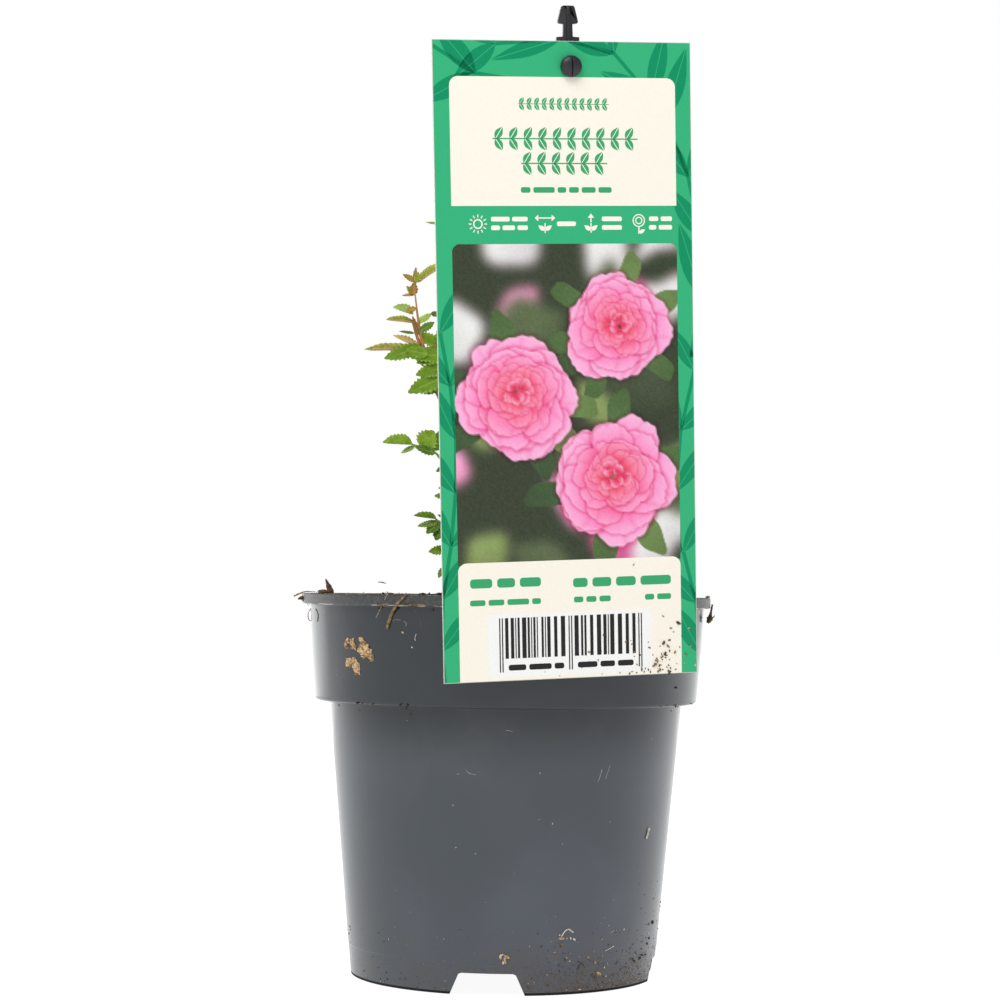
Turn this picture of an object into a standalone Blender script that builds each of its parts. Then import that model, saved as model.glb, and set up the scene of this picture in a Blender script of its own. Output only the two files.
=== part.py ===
"""A young rose bush in its grower's pot, with the card label that is sold on it.

Metres, +Z up, the front towards -Y. The origin is the middle of the footprint, on the surface that the
pot stands on. The card leans out over the front of the pot, so the pot's own axis is a little behind it.
"""

import math
import random

import bmesh
import bpy
from mathutils import Matrix, Vector
from mathutils.bvhtree import BVHTree

MM = 0.001
GAP = 0.3 * MM  # clearance between pieces that touch on the real thing

# Pot: a tapered body, a wider stacking collar and a lip round the top.
RIM_RADIUS = 65.0 * MM
POT_HEIGHT = 120.0 * MM
LIP_HEIGHT = 2.8 * MM
COLLAR_TOP_RADIUS = 63.2 * MM
COLLAR_FOOT_RADIUS = 60.8 * MM
SHOULDER_HEIGHT = 87.0 * MM
BODY_TOP_RADIUS = 56.0 * MM
BASE_RADIUS = 48.4 * MM
BASE_CHAMFER = 0.8 * MM
WALL = 1.2 * MM
FLOOR_HEIGHT = 7.0 * MM  # underside of the raised floor
POT_SIDES = 40

# Feet and drainage: notches cut up through the skirt, and holes through the floor.
NOTCH_COUNT = 4
NOTCH_TURN = -95.4  # degrees, direction of the first notch
NOTCH_TOP_WIDTH = 17.4 * MM
NOTCH_FOOT_WIDTH = 23.0 * MM
NOTCH_HEIGHT = FLOOR_HEIGHT - 0.3 * MM
DRAIN_RADIUS = 4.0 * MM
DRAIN_RING = 31.0 * MM

# Compost: fills the pot to the lip, slightly heaped, with a flat seat for the crown.
COMPOST_EDGE = 117.0 * MM
COMPOST_TOP = 120.6 * MM
SEAT_RADIUS = 9.0 * MM

# Crown: the short woody stump that the canes rise from.
CROWN_FLARE_RADIUS = 8.4 * MM
CROWN_WAIST_RADIUS = 6.6 * MM
CROWN_TOP_RADIUS = 7.6 * MM
CROWN_HEIGHT = 9.0 * MM
CROWN_BASE = COMPOST_TOP + GAP
CROWN_TOP = CROWN_BASE + CROWN_HEIGHT

# Crown of leaves: no leaf reaches further out or up than this, and only the left cane's own leaves
# stand out to the left of the other canes.
LEAF_REACH = 52.0 * MM
LEAF_CEILING = 262.0 * MM
LEAF_FLOOR = COMPOST_TOP + 2.0 * MM
LEFT_BOUND = -21.5 * MM

# Label card and its black plastic holder.
CARD_WIDTH = 77.7 * MM
CARD_HEIGHT = 186.2 * MM
CARD_THICKNESS = 0.5 * MM
CARD_YAW = 13.9  # degrees; it hangs on the front right of the pot
CARD_LEAN = 4.1  # degrees; its top leans out
CARD_ROLL = -2.8
CARD_CENTRE_X = 19.6 * MM
CARD_FOOT_Z = 96.6 * MM
CARD_CLEARANCE = 64.2 * MM  # from the pot's axis to the middle of the card's foot, along the card's normal
HOLE_X = 2.2 * MM
HOLE_DROP = 7.2 * MM  # from the card's top edge
HOLE_RADIUS = 2.4 * MM
HOLDER_SETBACK = 2.6 * MM  # from the card's middle plane to the holder's, at the hole
HOLDER_DEPTH_AT_SHOULDER = 51.3 * MM  # distance from the pot's axis, level with the pot's shoulder
HOLDER_FOOT = 240.0 * MM  # below the peg
WEB_THICKNESS = 1.5 * MM
RIB_WIDTH = 3.0 * MM

# Canes: name, compass direction from the pot's axis in degrees (0 is +X, 90 is +Y), reach of the tip from
# the axis, height of the tip, and radius at the foot.
CANES = (
    ("left", 187.0, 25.0 * MM, 189.8 * MM, 1.9 * MM),
    ("back_left", 112.0, 22.0 * MM, 180.0 * MM, 1.7 * MM),
    ("back_right", 48.0, 24.0 * MM, 193.0 * MM, 1.9 * MM),
    ("right", 348.0, 25.0 * MM, 184.0 * MM, 1.8 * MM),
    ("front", 268.0, 20.0 * MM, 176.0 * MM, 1.6 * MM),
    ("middle", 20.0, 3.0 * MM, 206.0 * MM, 2.1 * MM),
)
CANE_FOOT_RING = 5.0 * MM  # the outer canes stand this far from the crown's middle
CANE_TAPER = 0.68  # tip radius over foot radius
CANE_STEPS = 9

# Masses of leaves on a side twig: name, its cane, how far up the cane it starts, turn from the cane's own
# direction in degrees, rise in degrees, length of the twig and number of leaves asked for.
SIDE_MASSES = (
    ("left_low", "left", 0.14, 20.0, 16.0, 13.0 * MM, 5),
    ("left_mid", "left", 0.50, 10.0, 14.0, 10.0 * MM, 4),
    ("back_left_low", "back_left", 0.20, 12.0, 52.0, 26.0 * MM, 9),
    ("back_right_low", "back_right", 0.18, 4.0, 52.0, 27.0 * MM, 9),
    ("right_low", "right", 0.20, 0.0, 52.0, 26.0 * MM, 9),
    ("front_low", "front", 0.22, 24.0, 52.0, 25.0 * MM, 8),
)
TWIG_RADIUS = 0.85 * MM
SIDE_HEART_DROP = 4.0 * MM  # the heart of a side mass's space lies this far below its twig

# Shoots: a cane's tip grows on into one. Cane, length of the shoot, number of leaves asked for, and the
# direction of its first leaf.
SHOOTS = (
    ("left", 0.0, 0, 0.0),
    ("back_left", 38.0 * MM, 9, 60.0),
    ("back_right", 40.0 * MM, 9, 20.0),
    ("right", 38.0 * MM, 9, 300.0),
    ("front", 36.0 * MM, 9, 230.0),
    ("middle", 44.0 * MM, 10, 90.0),
)
GOLDEN_TURN = 137.5

# The left shoot stands out past the card, so its own line is given: points from the pot's axis.
LEFT_SHOOT_LINE = (
    (-26.9 * MM, -3.5 * MM, 197.9 * MM),
    (-28.3 * MM, -4.0 * MM, 203.8 * MM),
    (-29.3 * MM, -4.5 * MM, 209.0 * MM),
    (-29.9 * MM, -5.0 * MM, 212.6 * MM),
    (-30.4 * MM, -5.0 * MM, 216.4 * MM),
    (-30.3 * MM, -5.0 * MM, 219.5 * MM),
    (-30.0 * MM, -5.0 * MM, 220.8 * MM),
)

# The leaves that stand clear of the card, one by one: place along the stem, where the leaf's tip is from
# the pot's axis in mm, the stalk's share of the leaf's length, pairs of side leaflets, youth (0 full grown,
# 1 just opened), and roll about the stalk in degrees.
GIVEN_LEAVES = {
    "shoot_left": (
        (0.10, (-32.3, -10.0, 183.6), 0.16, 0, 0.0, 10.0),
        (0.08, (-15.9, -13.0, 193.0), 0.42, 1, 0.0, 50.0),
        (0.17, (-47.0, -9.0, 199.0), 0.34, 0, 0.5, -24.0),
        (0.165, (-40.2, -14.5, 194.6), 0.20, 0, 0.0, -34.0),
        (0.175, (-38.8, 1.0, 203.6), 0.24, 0, 0.4, -30.0),
        (0.22, (-16.5, -8.0, 206.5), 0.34, 1, 0.0, 46.0),
        (0.28, (-36.4, 3.0, 205.4), 0.24, 0, 0.0, -34.0),
        (0.30, (-23.8, 4.0, 208.8), 0.20, 0, 0.0, 30.0),
        (0.385, (-40.6, -7.0, 208.6), 0.24, 0, 0.8, -24.0),
        (0.44, (-39.3, -2.0, 212.6), 0.20, 0, 0.2, -44.0),
        (0.41, (-34.4, -10.0, 209.2), 0.30, 0, 0.7, -44.0),
        (0.46, (-20.1, -8.0, 210.8), 0.42, 0, 0.4, 30.0),
        (0.71, (-35.2, -7.0, 215.0), 0.14, 0, 0.8, -40.0),
        (0.78, (-34.0, -4.0, 219.6), 0.14, 0, 0.8, -60.0),
        (0.94, (-35.2, -6.0, 222.8), 0.14, 0, 0.8, -40.0),
        (0.99, (-31.0, -3.5, 225.6), 0.14, 0, 1.0, 40.0),
        (0.97, (-21.4, -7.0, 227.0), 0.30, 0, 0.5, 60.0),
    ),
    "leaves_left_mid": (
        (0.80, (-41.0, -9.0, 168.9), 0.50, 2, 0.0, -38.0),
        (0.40, (-24.4, -8.0, 158.4), 0.50, 0, 0.0, -20.0),
    ),
    "leaves_left_low": (
        (0.97, (-31.0, -6.0, 146.0), 0.30, 0, 0.0, -30.0),
        (0.80, (-29.4, -13.0, 141.6), 0.34, 0, 0.0, -34.0),
        (0.58, (-23.0, -18.0, 137.0), 0.30, 0, 0.0, -20.0),
        (0.40, (-26.0, -8.0, 134.0), 0.45, 0, 0.0, -30.0),
        (0.20, (-22.4, -14.0, 127.6), 0.50, 1, 0.0, -20.0),
        (0.70, (-23.6, -6.0, 152.0), 0.50, 0, 0.0, -20.0),
    ),
    "shoot_middle": ((0.64, (-28.8, -4.0, 241.6), 0.60, 2, 0.0, -12.0),),
}

# A leaf: a stalk with one end leaflet and pairs of side leaflets.
STALK_LENGTH = 16.5 * MM
STALK_RADIUS = 0.5 * MM
STALK_STEPS = 3
STALK_DROOP = 26.0  # degrees that it bends down over its length
GIVEN_DROOP = 10.0
LEAFLET_LENGTH = 12.4 * MM
LEAFLET_SHARE = 0.54  # width over length
LEAFLET_FOLD = 0.09  # drop of the midrib below the edges, over the length
LEAFLET_THICKNESS = 0.028  # over the length
LEAFLET_ROOT = 0.12 * MM  # how far a side leaflet's root is sunk past the stalk's middle
END_LEAFLET_ROOT = 0.8 * MM  # how far the end leaflet's root is sunk along the stalk
SIDE_LEAFLET_TURN = 62.0
PAIR_SETBACKS = (0.32, 0.78)  # of the pairs behind the stalk's end, over the end leaflet's length
PAIR_SIZES = (0.86, 0.74)
LEAF_ROOM = 0.5 * MM  # leaves of one mass keep this clear of each other
LEAFLET_ROOM = 0.1 * MM  # and leaflets of one leaf this
TURNS_TO_TRY = (0.0, 18.0, -18.0, 36.0, -36.0, 54.0, -54.0, 72.0, -72.0)
SIZES_TO_TRY = (1.0, 0.84, 0.7)
LEAST_SHARE = 0.6  # a leaf is kept if this share of its leaflets fits
SPACE_MARGIN = 0.3 * MM
LIMB_MARGIN = 0.8 * MM
STEM_MARGIN = 0.3 * MM  # between a mass's leaflets and its own stem

# Outline of a leaflet: along and across, as shares of its length and width.
LEAFLET_OUTLINE = ((0.0, 0.0), (0.30, 0.5), (0.70, 0.40), (1.0, 0.0), (0.70, -0.40), (0.30, -0.5))
LEAFLET_HEART = 0.46


# ---------------------------------------------------------------- tools


def clear_scene():
    for old in list(bpy.data.objects):
        bpy.data.objects.remove(old)


def material(name, colour, roughness):
    found = bpy.data.materials.get(name)
    if found:
        return found
    made = bpy.data.materials.new(name)
    made.use_nodes = True
    shader = made.node_tree.nodes["Principled BSDF"]
    shader.inputs["Base Color"].default_value = (*colour, 1.0)
    shader.inputs["Roughness"].default_value = roughness
    shader.inputs["Metallic"].default_value = 0.0
    return made


def pot_plastic():
    return material("pot_plastic", (0.080, 0.090, 0.100), 0.42)


def compost_brown():
    return material("compost", (0.060, 0.038, 0.024), 0.95)


def cane_bark():
    return material("cane_bark", (0.20, 0.16, 0.05), 0.6)


def leaf_green():
    return material("leaf_green", (0.18, 0.30, 0.04), 0.5)


def card_print():
    return material("card_print", (0.05, 0.45, 0.20), 0.5)


def holder_plastic():
    return material("holder_plastic", (0.015, 0.015, 0.017), 0.4)


def new_collection(name):
    made = bpy.data.collections.new(name)
    bpy.context.scene.collection.children.link(made)
    return made


def add_object(name, data, collection, finish=None):
    made = bpy.data.objects.new(name, data)
    collection.objects.link(made)
    if finish:
        data.materials.append(finish)
    return made


def evaluated_mesh(thing):
    graph = bpy.context.evaluated_depsgraph_get()
    return bpy.data.meshes.new_from_object(thing.evaluated_get(graph))


def apply_modifiers(thing):
    """Replaces the object's mesh by what its modifiers make of it."""
    made = evaluated_mesh(thing)
    old = thing.data
    thing.modifiers.clear()
    thing.data = made
    bpy.data.meshes.remove(old)


def face_outward(builder):
    """Turns a closed mesh's faces to point out of it."""
    bmesh.ops.recalc_face_normals(builder, faces=builder.faces)
    if builder.calc_volume(signed=True) < 0:
        bmesh.ops.reverse_faces(builder, faces=builder.faces)


def curve_to_mesh(thing, collection):
    """A mesh object in the curve's place, with the caps welded to the sides."""
    made = evaluated_mesh(thing)
    cleaner = bmesh.new()
    cleaner.from_mesh(made)
    bmesh.ops.remove_doubles(cleaner, verts=cleaner.verts, dist=0.001 * MM)
    face_outward(cleaner)
    cleaner.to_mesh(made)
    cleaner.free()
    name = thing.name
    thing.name = name + "_curve"
    mesh_object = bpy.data.objects.new(name, made)
    collection.objects.link(mesh_object)
    mesh_object.matrix_world = thing.matrix_world
    bpy.data.objects.remove(thing)
    return mesh_object


def turned(name, profile, sides, collection, finish):
    """A solid of revolution about its own Z axis. The profile runs down its outer side."""
    mesh = bpy.data.meshes.new(name)
    edges = [(i, i + 1) for i in range(len(profile) - 1)]
    mesh.from_pydata([(r, 0.0, z) for r, z in profile], edges, [])
    made = add_object(name, mesh, collection, finish)
    screw = made.modifiers.new("turn", "SCREW")
    screw.steps = sides
    screw.render_steps = sides
    screw.use_merge_vertices = True
    screw.merge_threshold = 0.01 * MM
    screw.use_smooth_shade = True
    return made


def ring_profile(sides):
    """A closed ring of unit radius, used as the section of a limb."""
    name = f"ring_of_{sides}"
    found = bpy.data.objects.get(name)
    if found:
        return found
    curve = bpy.data.curves.new(name, "CURVE")
    spline = curve.splines.new("POLY")
    spline.points.add(sides - 1)
    for i, place in enumerate(spline.points):
        turn = 2 * math.pi * i / sides
        place.co = (math.cos(turn), math.sin(turn), 0.0, 1.0)
    spline.use_cyclic_u = True
    return bpy.data.objects.new(name, curve)


def limb(name, points, radii, sides, collection, finish):
    """A tapering limb with this many sides along the points, with flat ends."""
    curve = bpy.data.curves.new(name, "CURVE")
    curve.dimensions = "3D"
    curve.bevel_mode = "OBJECT"
    curve.bevel_object = ring_profile(sides)
    curve.use_fill_caps = True
    spline = curve.splines.new("POLY")
    spline.points.add(len(points) - 1)
    for place, point, radius in zip(spline.points, points, radii):
        place.co = (*point, 1.0)
        place.radius = radius
    made = add_object(name, curve, collection, finish)
    return curve_to_mesh(made, collection)


def plate(name, outline, thickness, collection, finish):
    """A flat outline, in its own X and Z, made this thick about its own XZ plane."""
    curve = bpy.data.curves.new(name, "CURVE")
    curve.dimensions = "2D"
    curve.fill_mode = "BOTH"
    curve.extrude = thickness / 2
    spline = curve.splines.new("POLY")
    spline.points.add(len(outline) - 1)
    for place, (x, z) in zip(spline.points, outline):
        place.co = (x, z, 0.0, 1.0)
    spline.use_cyclic_u = True
    made = add_object(name, curve, collection, finish)
    made.matrix_world = Matrix.Rotation(math.radians(90), 4, "X")
    made = curve_to_mesh(made, collection)
    made.data.transform(Matrix.Rotation(math.radians(90), 4, "X"))
    made.matrix_world = Matrix.Identity(4)
    return made


def rod(name, radius, start, end, sides, collection, finish, end_radius=None):
    """A straight round rod between two points, tapering to end_radius if that is given."""
    along = end - start
    mesh = bpy.data.meshes.new(name)
    builder = bmesh.new()
    bmesh.ops.create_cone(
        builder,
        cap_ends=True,
        segments=sides,
        radius1=radius,
        radius2=radius if end_radius is None else end_radius,
        depth=along.length,
    )
    builder.to_mesh(mesh)
    builder.free()
    turn = along.to_track_quat("Z", "Y").to_matrix().to_4x4()
    mesh.transform(Matrix.Translation((start + end) / 2) @ turn)
    return add_object(name, mesh, collection, finish)


def boolean(target, operation, other, solver="EXACT"):
    cut = target.modifiers.new(operation.lower(), "BOOLEAN")
    cut.operation = operation
    cut.solver = solver
    cut.object = other
    other.hide_render = True
    other.display_type = "WIRE"
    return cut


def fill_cavities(mesh):
    """Makes enclosed hollows solid: a skin that is turned inward, apart from the rest, is taken out."""
    builder = bmesh.new()
    builder.from_mesh(mesh)
    waiting = set(builder.faces)
    while waiting:
        skin = [waiting.pop()]
        for face in skin:
            for edge in face.edges:
                for neighbour in edge.link_faces:
                    if neighbour in waiting:
                        waiting.remove(neighbour)
                        skin.append(neighbour)
        volume = 0.0
        for face in skin:
            corners = [v.co for v in face.verts]
            for b, c in zip(corners[1:], corners[2:]):
                volume += corners[0].dot(b.cross(c))
        if volume < 0:
            bmesh.ops.delete(builder, geom=skin, context="FACES")
    builder.to_mesh(mesh)
    builder.free()


def fuse(target, pieces, solver="MANIFOLD"):
    """One Boolean union on a collection joins the pieces to the target; the pieces are then removed."""
    bundle = new_collection(target.name + "_pieces")
    for piece in pieces:
        for holder in list(piece.users_collection):
            holder.objects.unlink(piece)
        bundle.objects.link(piece)
    union = target.modifiers.new("union", "BOOLEAN")
    union.operation = "UNION"
    union.operand_type = "COLLECTION"
    union.collection = bundle
    union.solver = solver
    apply_modifiers(target)
    fill_cavities(target.data)
    for piece in pieces:
        bpy.data.objects.remove(piece)
    bpy.data.collections.remove(bundle)
    return target


# ---------------------------------------------------------------- card and holder placement


def card_matrix_about_axis():
    """The card's own frame, as seen from the pot's axis: X across, Z up from its foot, -Y its printed face."""
    yaw = math.radians(CARD_YAW)
    y = -(CARD_CLEARANCE - CARD_CENTRE_X * math.sin(yaw)) / math.cos(yaw)
    return (
        Matrix.Translation((CARD_CENTRE_X, y, CARD_FOOT_Z))
        @ Matrix.Rotation(yaw, 4, "Z")
        @ Matrix.Rotation(math.radians(CARD_LEAN), 4, "X")
        @ Matrix.Rotation(math.radians(CARD_ROLL), 4, "Y")
    )


CARD_FRONT_REACH = -(card_matrix_about_axis() @ Vector((-CARD_WIDTH / 2, -CARD_THICKNESS / 2, CARD_HEIGHT))).y
AXIS = Vector((0.0, (CARD_FRONT_REACH - RIM_RADIUS) / 2, 0.0))  # foot of the pot's axis
CARD_MATRIX = Matrix.Translation(AXIS) @ card_matrix_about_axis()


def holder_matrix():
    """The holder's own frame: origin where its peg leaves it, Z up along it, -Y towards the card."""
    peg = CARD_MATRIX @ Vector((HOLE_X, HOLDER_SETBACK, CARD_HEIGHT - HOLE_DROP))
    yaw = math.radians(CARD_YAW)
    outward = Vector((math.sin(yaw), -math.cos(yaw), 0.0))
    reach = (peg - AXIS).dot(outward)
    lean = math.atan2(reach - HOLDER_DEPTH_AT_SHOULDER, peg.z - SHOULDER_HEIGHT)
    return (
        Matrix.Translation(peg)
        @ Matrix.Rotation(yaw, 4, "Z")
        @ Matrix.Rotation(lean, 4, "X")
        @ Matrix.Rotation(math.radians(CARD_ROLL), 4, "Y")
    )


# ---------------------------------------------------------------- the plant's rule


def heading(azimuth, rise=0.0):
    a, e = math.radians(azimuth), math.radians(rise)
    return Vector((math.cos(a) * math.cos(e), math.sin(a) * math.cos(e), math.sin(e)))


def bent_line(start, middle, end, steps):
    """Points of the quadratic curve from start towards middle and on to end."""
    line = []
    for i in range(steps + 1):
        t = i / steps
        line.append(start * (1 - t) ** 2 + middle * (2 * t * (1 - t)) + end * t * t)
    return line


def cane_line(azimuth, reach, tip_height):
    """A cane leaves the crown upright and then leans out. One with a short reach stands in the middle."""
    ring = CANE_FOOT_RING if reach > CANE_FOOT_RING else 0.0
    foot = AXIS + heading(azimuth) * ring + Vector((0, 0, CROWN_TOP + GAP))
    tip = AXIS + heading(azimuth) * reach + Vector((0, 0, tip_height))
    middle = foot + heading(azimuth) * (reach - ring) * 0.3 + Vector((0, 0, (tip_height - CROWN_TOP) * 0.55))
    return bent_line(foot, middle, tip, CANE_STEPS)


def along(line, share):
    """(point, direction) at this share of a line of evenly numbered points."""
    place = min(max(share, 0.0), 0.9999) * (len(line) - 1)
    i = int(place)
    step = line[i + 1] - line[i]
    return line[i] + step * (place - i), step.normalized()


def taper(radius, end_share, count):
    return [radius * (1 + (end_share - 1) * i / (count - 1)) for i in range(count)]


def leaf_plan(root, azimuth, rise, stalk_length, end_length, pairs, youth, roll, droop, chance):
    """One pinnate leaf: its stalk's points, and its leaflets as (root, ahead, up, length, width)."""
    stalk = [root]
    for i in range(STALK_STEPS):
        bent = rise - droop * i / (STALK_STEPS - 1)
        stalk.append(stalk[-1] + heading(azimuth, bent) * (stalk_length / STALK_STEPS))
    share = LEAFLET_SHARE * (1 - 0.22 * youth)
    wanted = [(1.0, 0.0, 1.0, END_LEAFLET_ROOT)]
    for setback, size in list(zip(PAIR_SETBACKS, PAIR_SIZES))[:pairs]:
        place = 1.0 - setback * end_length / stalk_length
        if place > 0.2:
            for turn in (SIDE_LEAFLET_TURN, -SIDE_LEAFLET_TURN):
                wanted.append((place, turn, size, LEAFLET_ROOT))
    leaflets = []
    for place, turn, size, sunk in wanted:
        point, ahead = along(stalk, place)
        across = ahead.cross(Vector((0, 0, 1))).normalized()
        up = (Matrix.Rotation(math.radians(roll), 3, ahead) @ across.cross(ahead)).normalized()
        forward = Matrix.Rotation(math.radians(turn + chance.uniform(-7, 7)), 3, up) @ ahead
        side = up.cross(forward)
        bow = math.radians(chance.uniform(-4, 20) if droop > GIVEN_DROOP else chance.uniform(0, 10))
        forward = (Matrix.Rotation(bow, 3, side) @ forward).normalized()
        up = forward.cross(side).normalized()
        leaflets.append((point - forward * sunk, forward, up, end_length * size, end_length * size * share))
    return stalk, leaflets


def leaflet_points(leaflet, thicker=0.0):
    """The outline's points, then the points above and below the leaflet's heart."""
    root, ahead, up, length, width = leaflet
    side = up.cross(ahead)
    points = [root + ahead * (a * length) + side * (b * width) for a, b in LEAFLET_OUTLINE]
    heart = root + ahead * (LEAFLET_HEART * length) - up * (LEAFLET_FOLD * length)
    half = up * ((LEAFLET_THICKNESS * length + thicker) / 2)
    return points, heart + half, heart - half


def leaflet_skin(leaflet, room=LEAF_ROOM):
    """The leaflet as a search tree of triangles, thicker by the room that it keeps."""
    points, above, below = leaflet_points(leaflet, room * 2)
    count = len(points)
    faces = [(i, (i + 1) % count, count) for i in range(count)]
    faces += [(i, (i + 1) % count, count + 1) for i in range(count)]
    return BVHTree.FromPolygons(points + [above, below], faces)


def stalk_skin(stalk):
    """The outer part of a stalk as a search tree: two crossed ribbons along it."""
    points, faces = [], []
    for place in stalk[1:]:
        for reach in (Vector((0, 0, 1)), Vector((1, 0, 0)), Vector((0, 1, 0))):
            points += [place - reach * (STALK_RADIUS + LEAF_ROOM), place + reach * (STALK_RADIUS + LEAF_ROOM)]
    for i in range(len(stalk) - 2):
        for j in (0, 2, 4):
            k = i * 6 + j
            faces.append((k, k + 1, k + 7, k + 6))
    return BVHTree.FromPolygons(points, faces)


def leaflet_samples(leaflet):
    """Points spread over the leaflet, close enough together that no cane passes between them."""
    points, heart, _ = leaflet_points(leaflet)
    spread = list(points) + [heart]
    for point, following in zip(points, points[1:] + points[:1]):
        spread += [heart.lerp(point, 0.33), heart.lerp(point, 0.67), point.lerp(following, 0.5)]
        spread.append(heart.lerp(point.lerp(following, 0.5), 0.6))
    return spread


def line_samples(line):
    return [a.lerp(b, share) for a, b in zip(line, line[1:]) for share in (0.0, 0.33, 0.67, 1.0)]


def side_start(line, radii, share, ahead, own_radius):
    """Where a side twig starts so that its flat foot clears the limb's side by GAP."""
    point, axis = along(line, share)
    radius = radii[0] + (radii[-1] - radii[0]) * share
    cosine = abs(ahead.dot(axis))
    sine = math.sqrt(max(1 - cosine * cosine, 0.05))
    return point + ahead * ((radius + GAP + own_radius * cosine) / sine)


def plan_canes():
    canes = {}
    for name, azimuth, reach, tip_height, radius in CANES:
        line = cane_line(azimuth, reach, tip_height)
        canes[name] = (line, taper(radius, CANE_TAPER, len(line)), azimuth)
    return canes


def plan_masses(canes):
    """Every mass as a stem, the heart of its space, and how many leaves it asks for."""
    masses = {}
    for name, cane, share, turn, rise, length, count in SIDE_MASSES:
        line, radii, azimuth = canes[cane]
        ahead = heading(azimuth + turn, rise)
        start = side_start(line, radii, share, ahead, TWIG_RADIUS)
        stem = bent_line(start, start + ahead * length * 0.5, start + ahead * length + Vector((0, 0, 1.5 * MM)), 4)
        masses["leaves_" + name] = {
            "stem": stem,
            "radii": taper(TWIG_RADIUS, 0.6, len(stem)),
            "heart": along(stem, 0.6)[0] - Vector((0, 0, SIDE_HEART_DROP)),
            "azimuth": azimuth + turn,
            "leaves": count,
            "shoot": False,
        }
    for cane, length, count, first in SHOOTS:
        line, radii, azimuth = canes[cane]
        ahead = along(line, 1.0)[1]
        start = line[-1] + ahead * GAP
        if length:
            end = start + ahead * length * 0.45 + Vector((0, 0, length * 0.55))
            stem = bent_line(start, start + ahead * length * 0.45, end, 6)
        else:
            stem = [start] + [AXIS + Vector(point) for point in LEFT_SHOOT_LINE]
        masses["shoot_" + cane] = {
            "stem": stem,
            "radii": taper(radii[-1], 0.4, len(stem)),
            "heart": along(stem, 0.5 if length else 0.3)[0],
            "azimuth": first,
            "leaves": count,
            "shoot": True,
        }
    return masses


def keeps_to_space(points, name, hearts, left_bound):
    """True if all points lie inside the crown and nearer to the mass's own heart than to any other's."""
    for point in points:
        level = point - AXIS
        if math.hypot(level.x, level.y) > LEAF_REACH or not LEAF_FLOOR < level.z < LEAF_CEILING:
            return False
        if level.x < left_bound:
            return False
        mine = (point - hearts[name]).length_squared
        for other, heart in hearts.items():
            if other != name:
                room = (point - heart).length_squared - mine
                if room < 2 * (heart - hearts[name]).length * SPACE_MARGIN:
                    return False
    return True


def clears_limbs(points, limbs, margin):
    """True if no point comes within the margin of a limb, given as a line and its radii."""
    for line, radii in limbs:
        for a, b, ra, rb in zip(line, line[1:], radii, radii[1:]):
            step = b - a
            for point in points:
                t = min(max((point - a).dot(step) / step.length_squared, 0.0), 1.0)
                if (point - a - step * t).length - (ra + (rb - ra) * t) < margin:
                    return False
    return True


def crosses(skin, skins):
    return any(skin.overlap(other) for other in skins)


def trimmed(leaf, stem, name, hearts, limbs, skins, left_bound):
    """The leaf without the leaflets that leave its mass's space or touch a limb or another leaf, or None."""
    stalk, leaflets = leaf
    stalk_points = line_samples(stalk)
    if not keeps_to_space(stalk_points, name, hearts, left_bound):
        return None
    if not clears_limbs(stalk_points, limbs, LIMB_MARGIN):
        return None
    if crosses(stalk_skin(stalk), skins):
        return None
    kept = []
    for leaflet in leaflets:
        points, above, below = leaflet_points(leaflet)
        inside = keeps_to_space(points + [above, below], name, hearts, left_bound)
        if not inside or not clears_limbs(leaflet_samples(leaflet), limbs, LIMB_MARGIN):
            continue
        if not clears_limbs(points[1:] + [above, below], [stem], STEM_MARGIN):
            continue
        own = [leaflet_skin(other, LEAFLET_ROOM) for other in kept if (other[0] - leaflet[0]).length > 1 * MM]
        if not crosses(leaflet_skin(leaflet, LEAFLET_ROOM), own) and not crosses(leaflet_skin(leaflet), skins):
            kept.append(leaflet)
    if not kept or kept[0] is not leaflets[0] or len(kept) < LEAST_SHARE * len(leaflets):
        return None
    return stalk, kept


def given_leaf(stem, share, tip, stalk_share, pairs, youth, roll):
    """A leaf whose tip is told: direction and lengths follow from where its root is."""
    reach = AXIS + Vector(tip) * MM - along(stem, share)[0]
    azimuth = math.degrees(math.atan2(reach.y, reach.x))
    rise = math.degrees(math.asin(reach.z / reach.length)) + GIVEN_DROOP * 0.7
    lengths = (reach.length * stalk_share, reach.length * (1 - stalk_share))
    return (share, azimuth, rise, *lengths, pairs, youth, roll, GIVEN_DROOP)


def wanted_leaves(name, mass, chance):
    """What the mass asks for: (share, direction, rise, stalk, end leaflet, pairs, youth, roll, droop)."""
    wanted = [given_leaf(mass["stem"], *leaf) for leaf in GIVEN_LEAVES.get(name, ())]
    count = mass["leaves"]
    for i in range(count):
        share = 0.12 + 0.85 * i / (count - 1)
        youth = max(0.0, (share - 0.4) / 0.6) if mass["shoot"] else 0.0
        azimuth = mass["azimuth"] + GOLDEN_TURN * i + chance.uniform(-10, 10)
        rise = 14 + 44 * youth + chance.uniform(-14, 10)
        size = (1.0 - 0.4 * youth) * chance.uniform(0.9, 1.08)
        pairs = 1 if youth > 0.8 else 2
        lengths = (STALK_LENGTH * size, LEAFLET_LENGTH * size)
        wanted.append((share, azimuth, rise, *lengths, pairs, youth, chance.uniform(-20, 20), STALK_DROOP))
    return wanted


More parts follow.
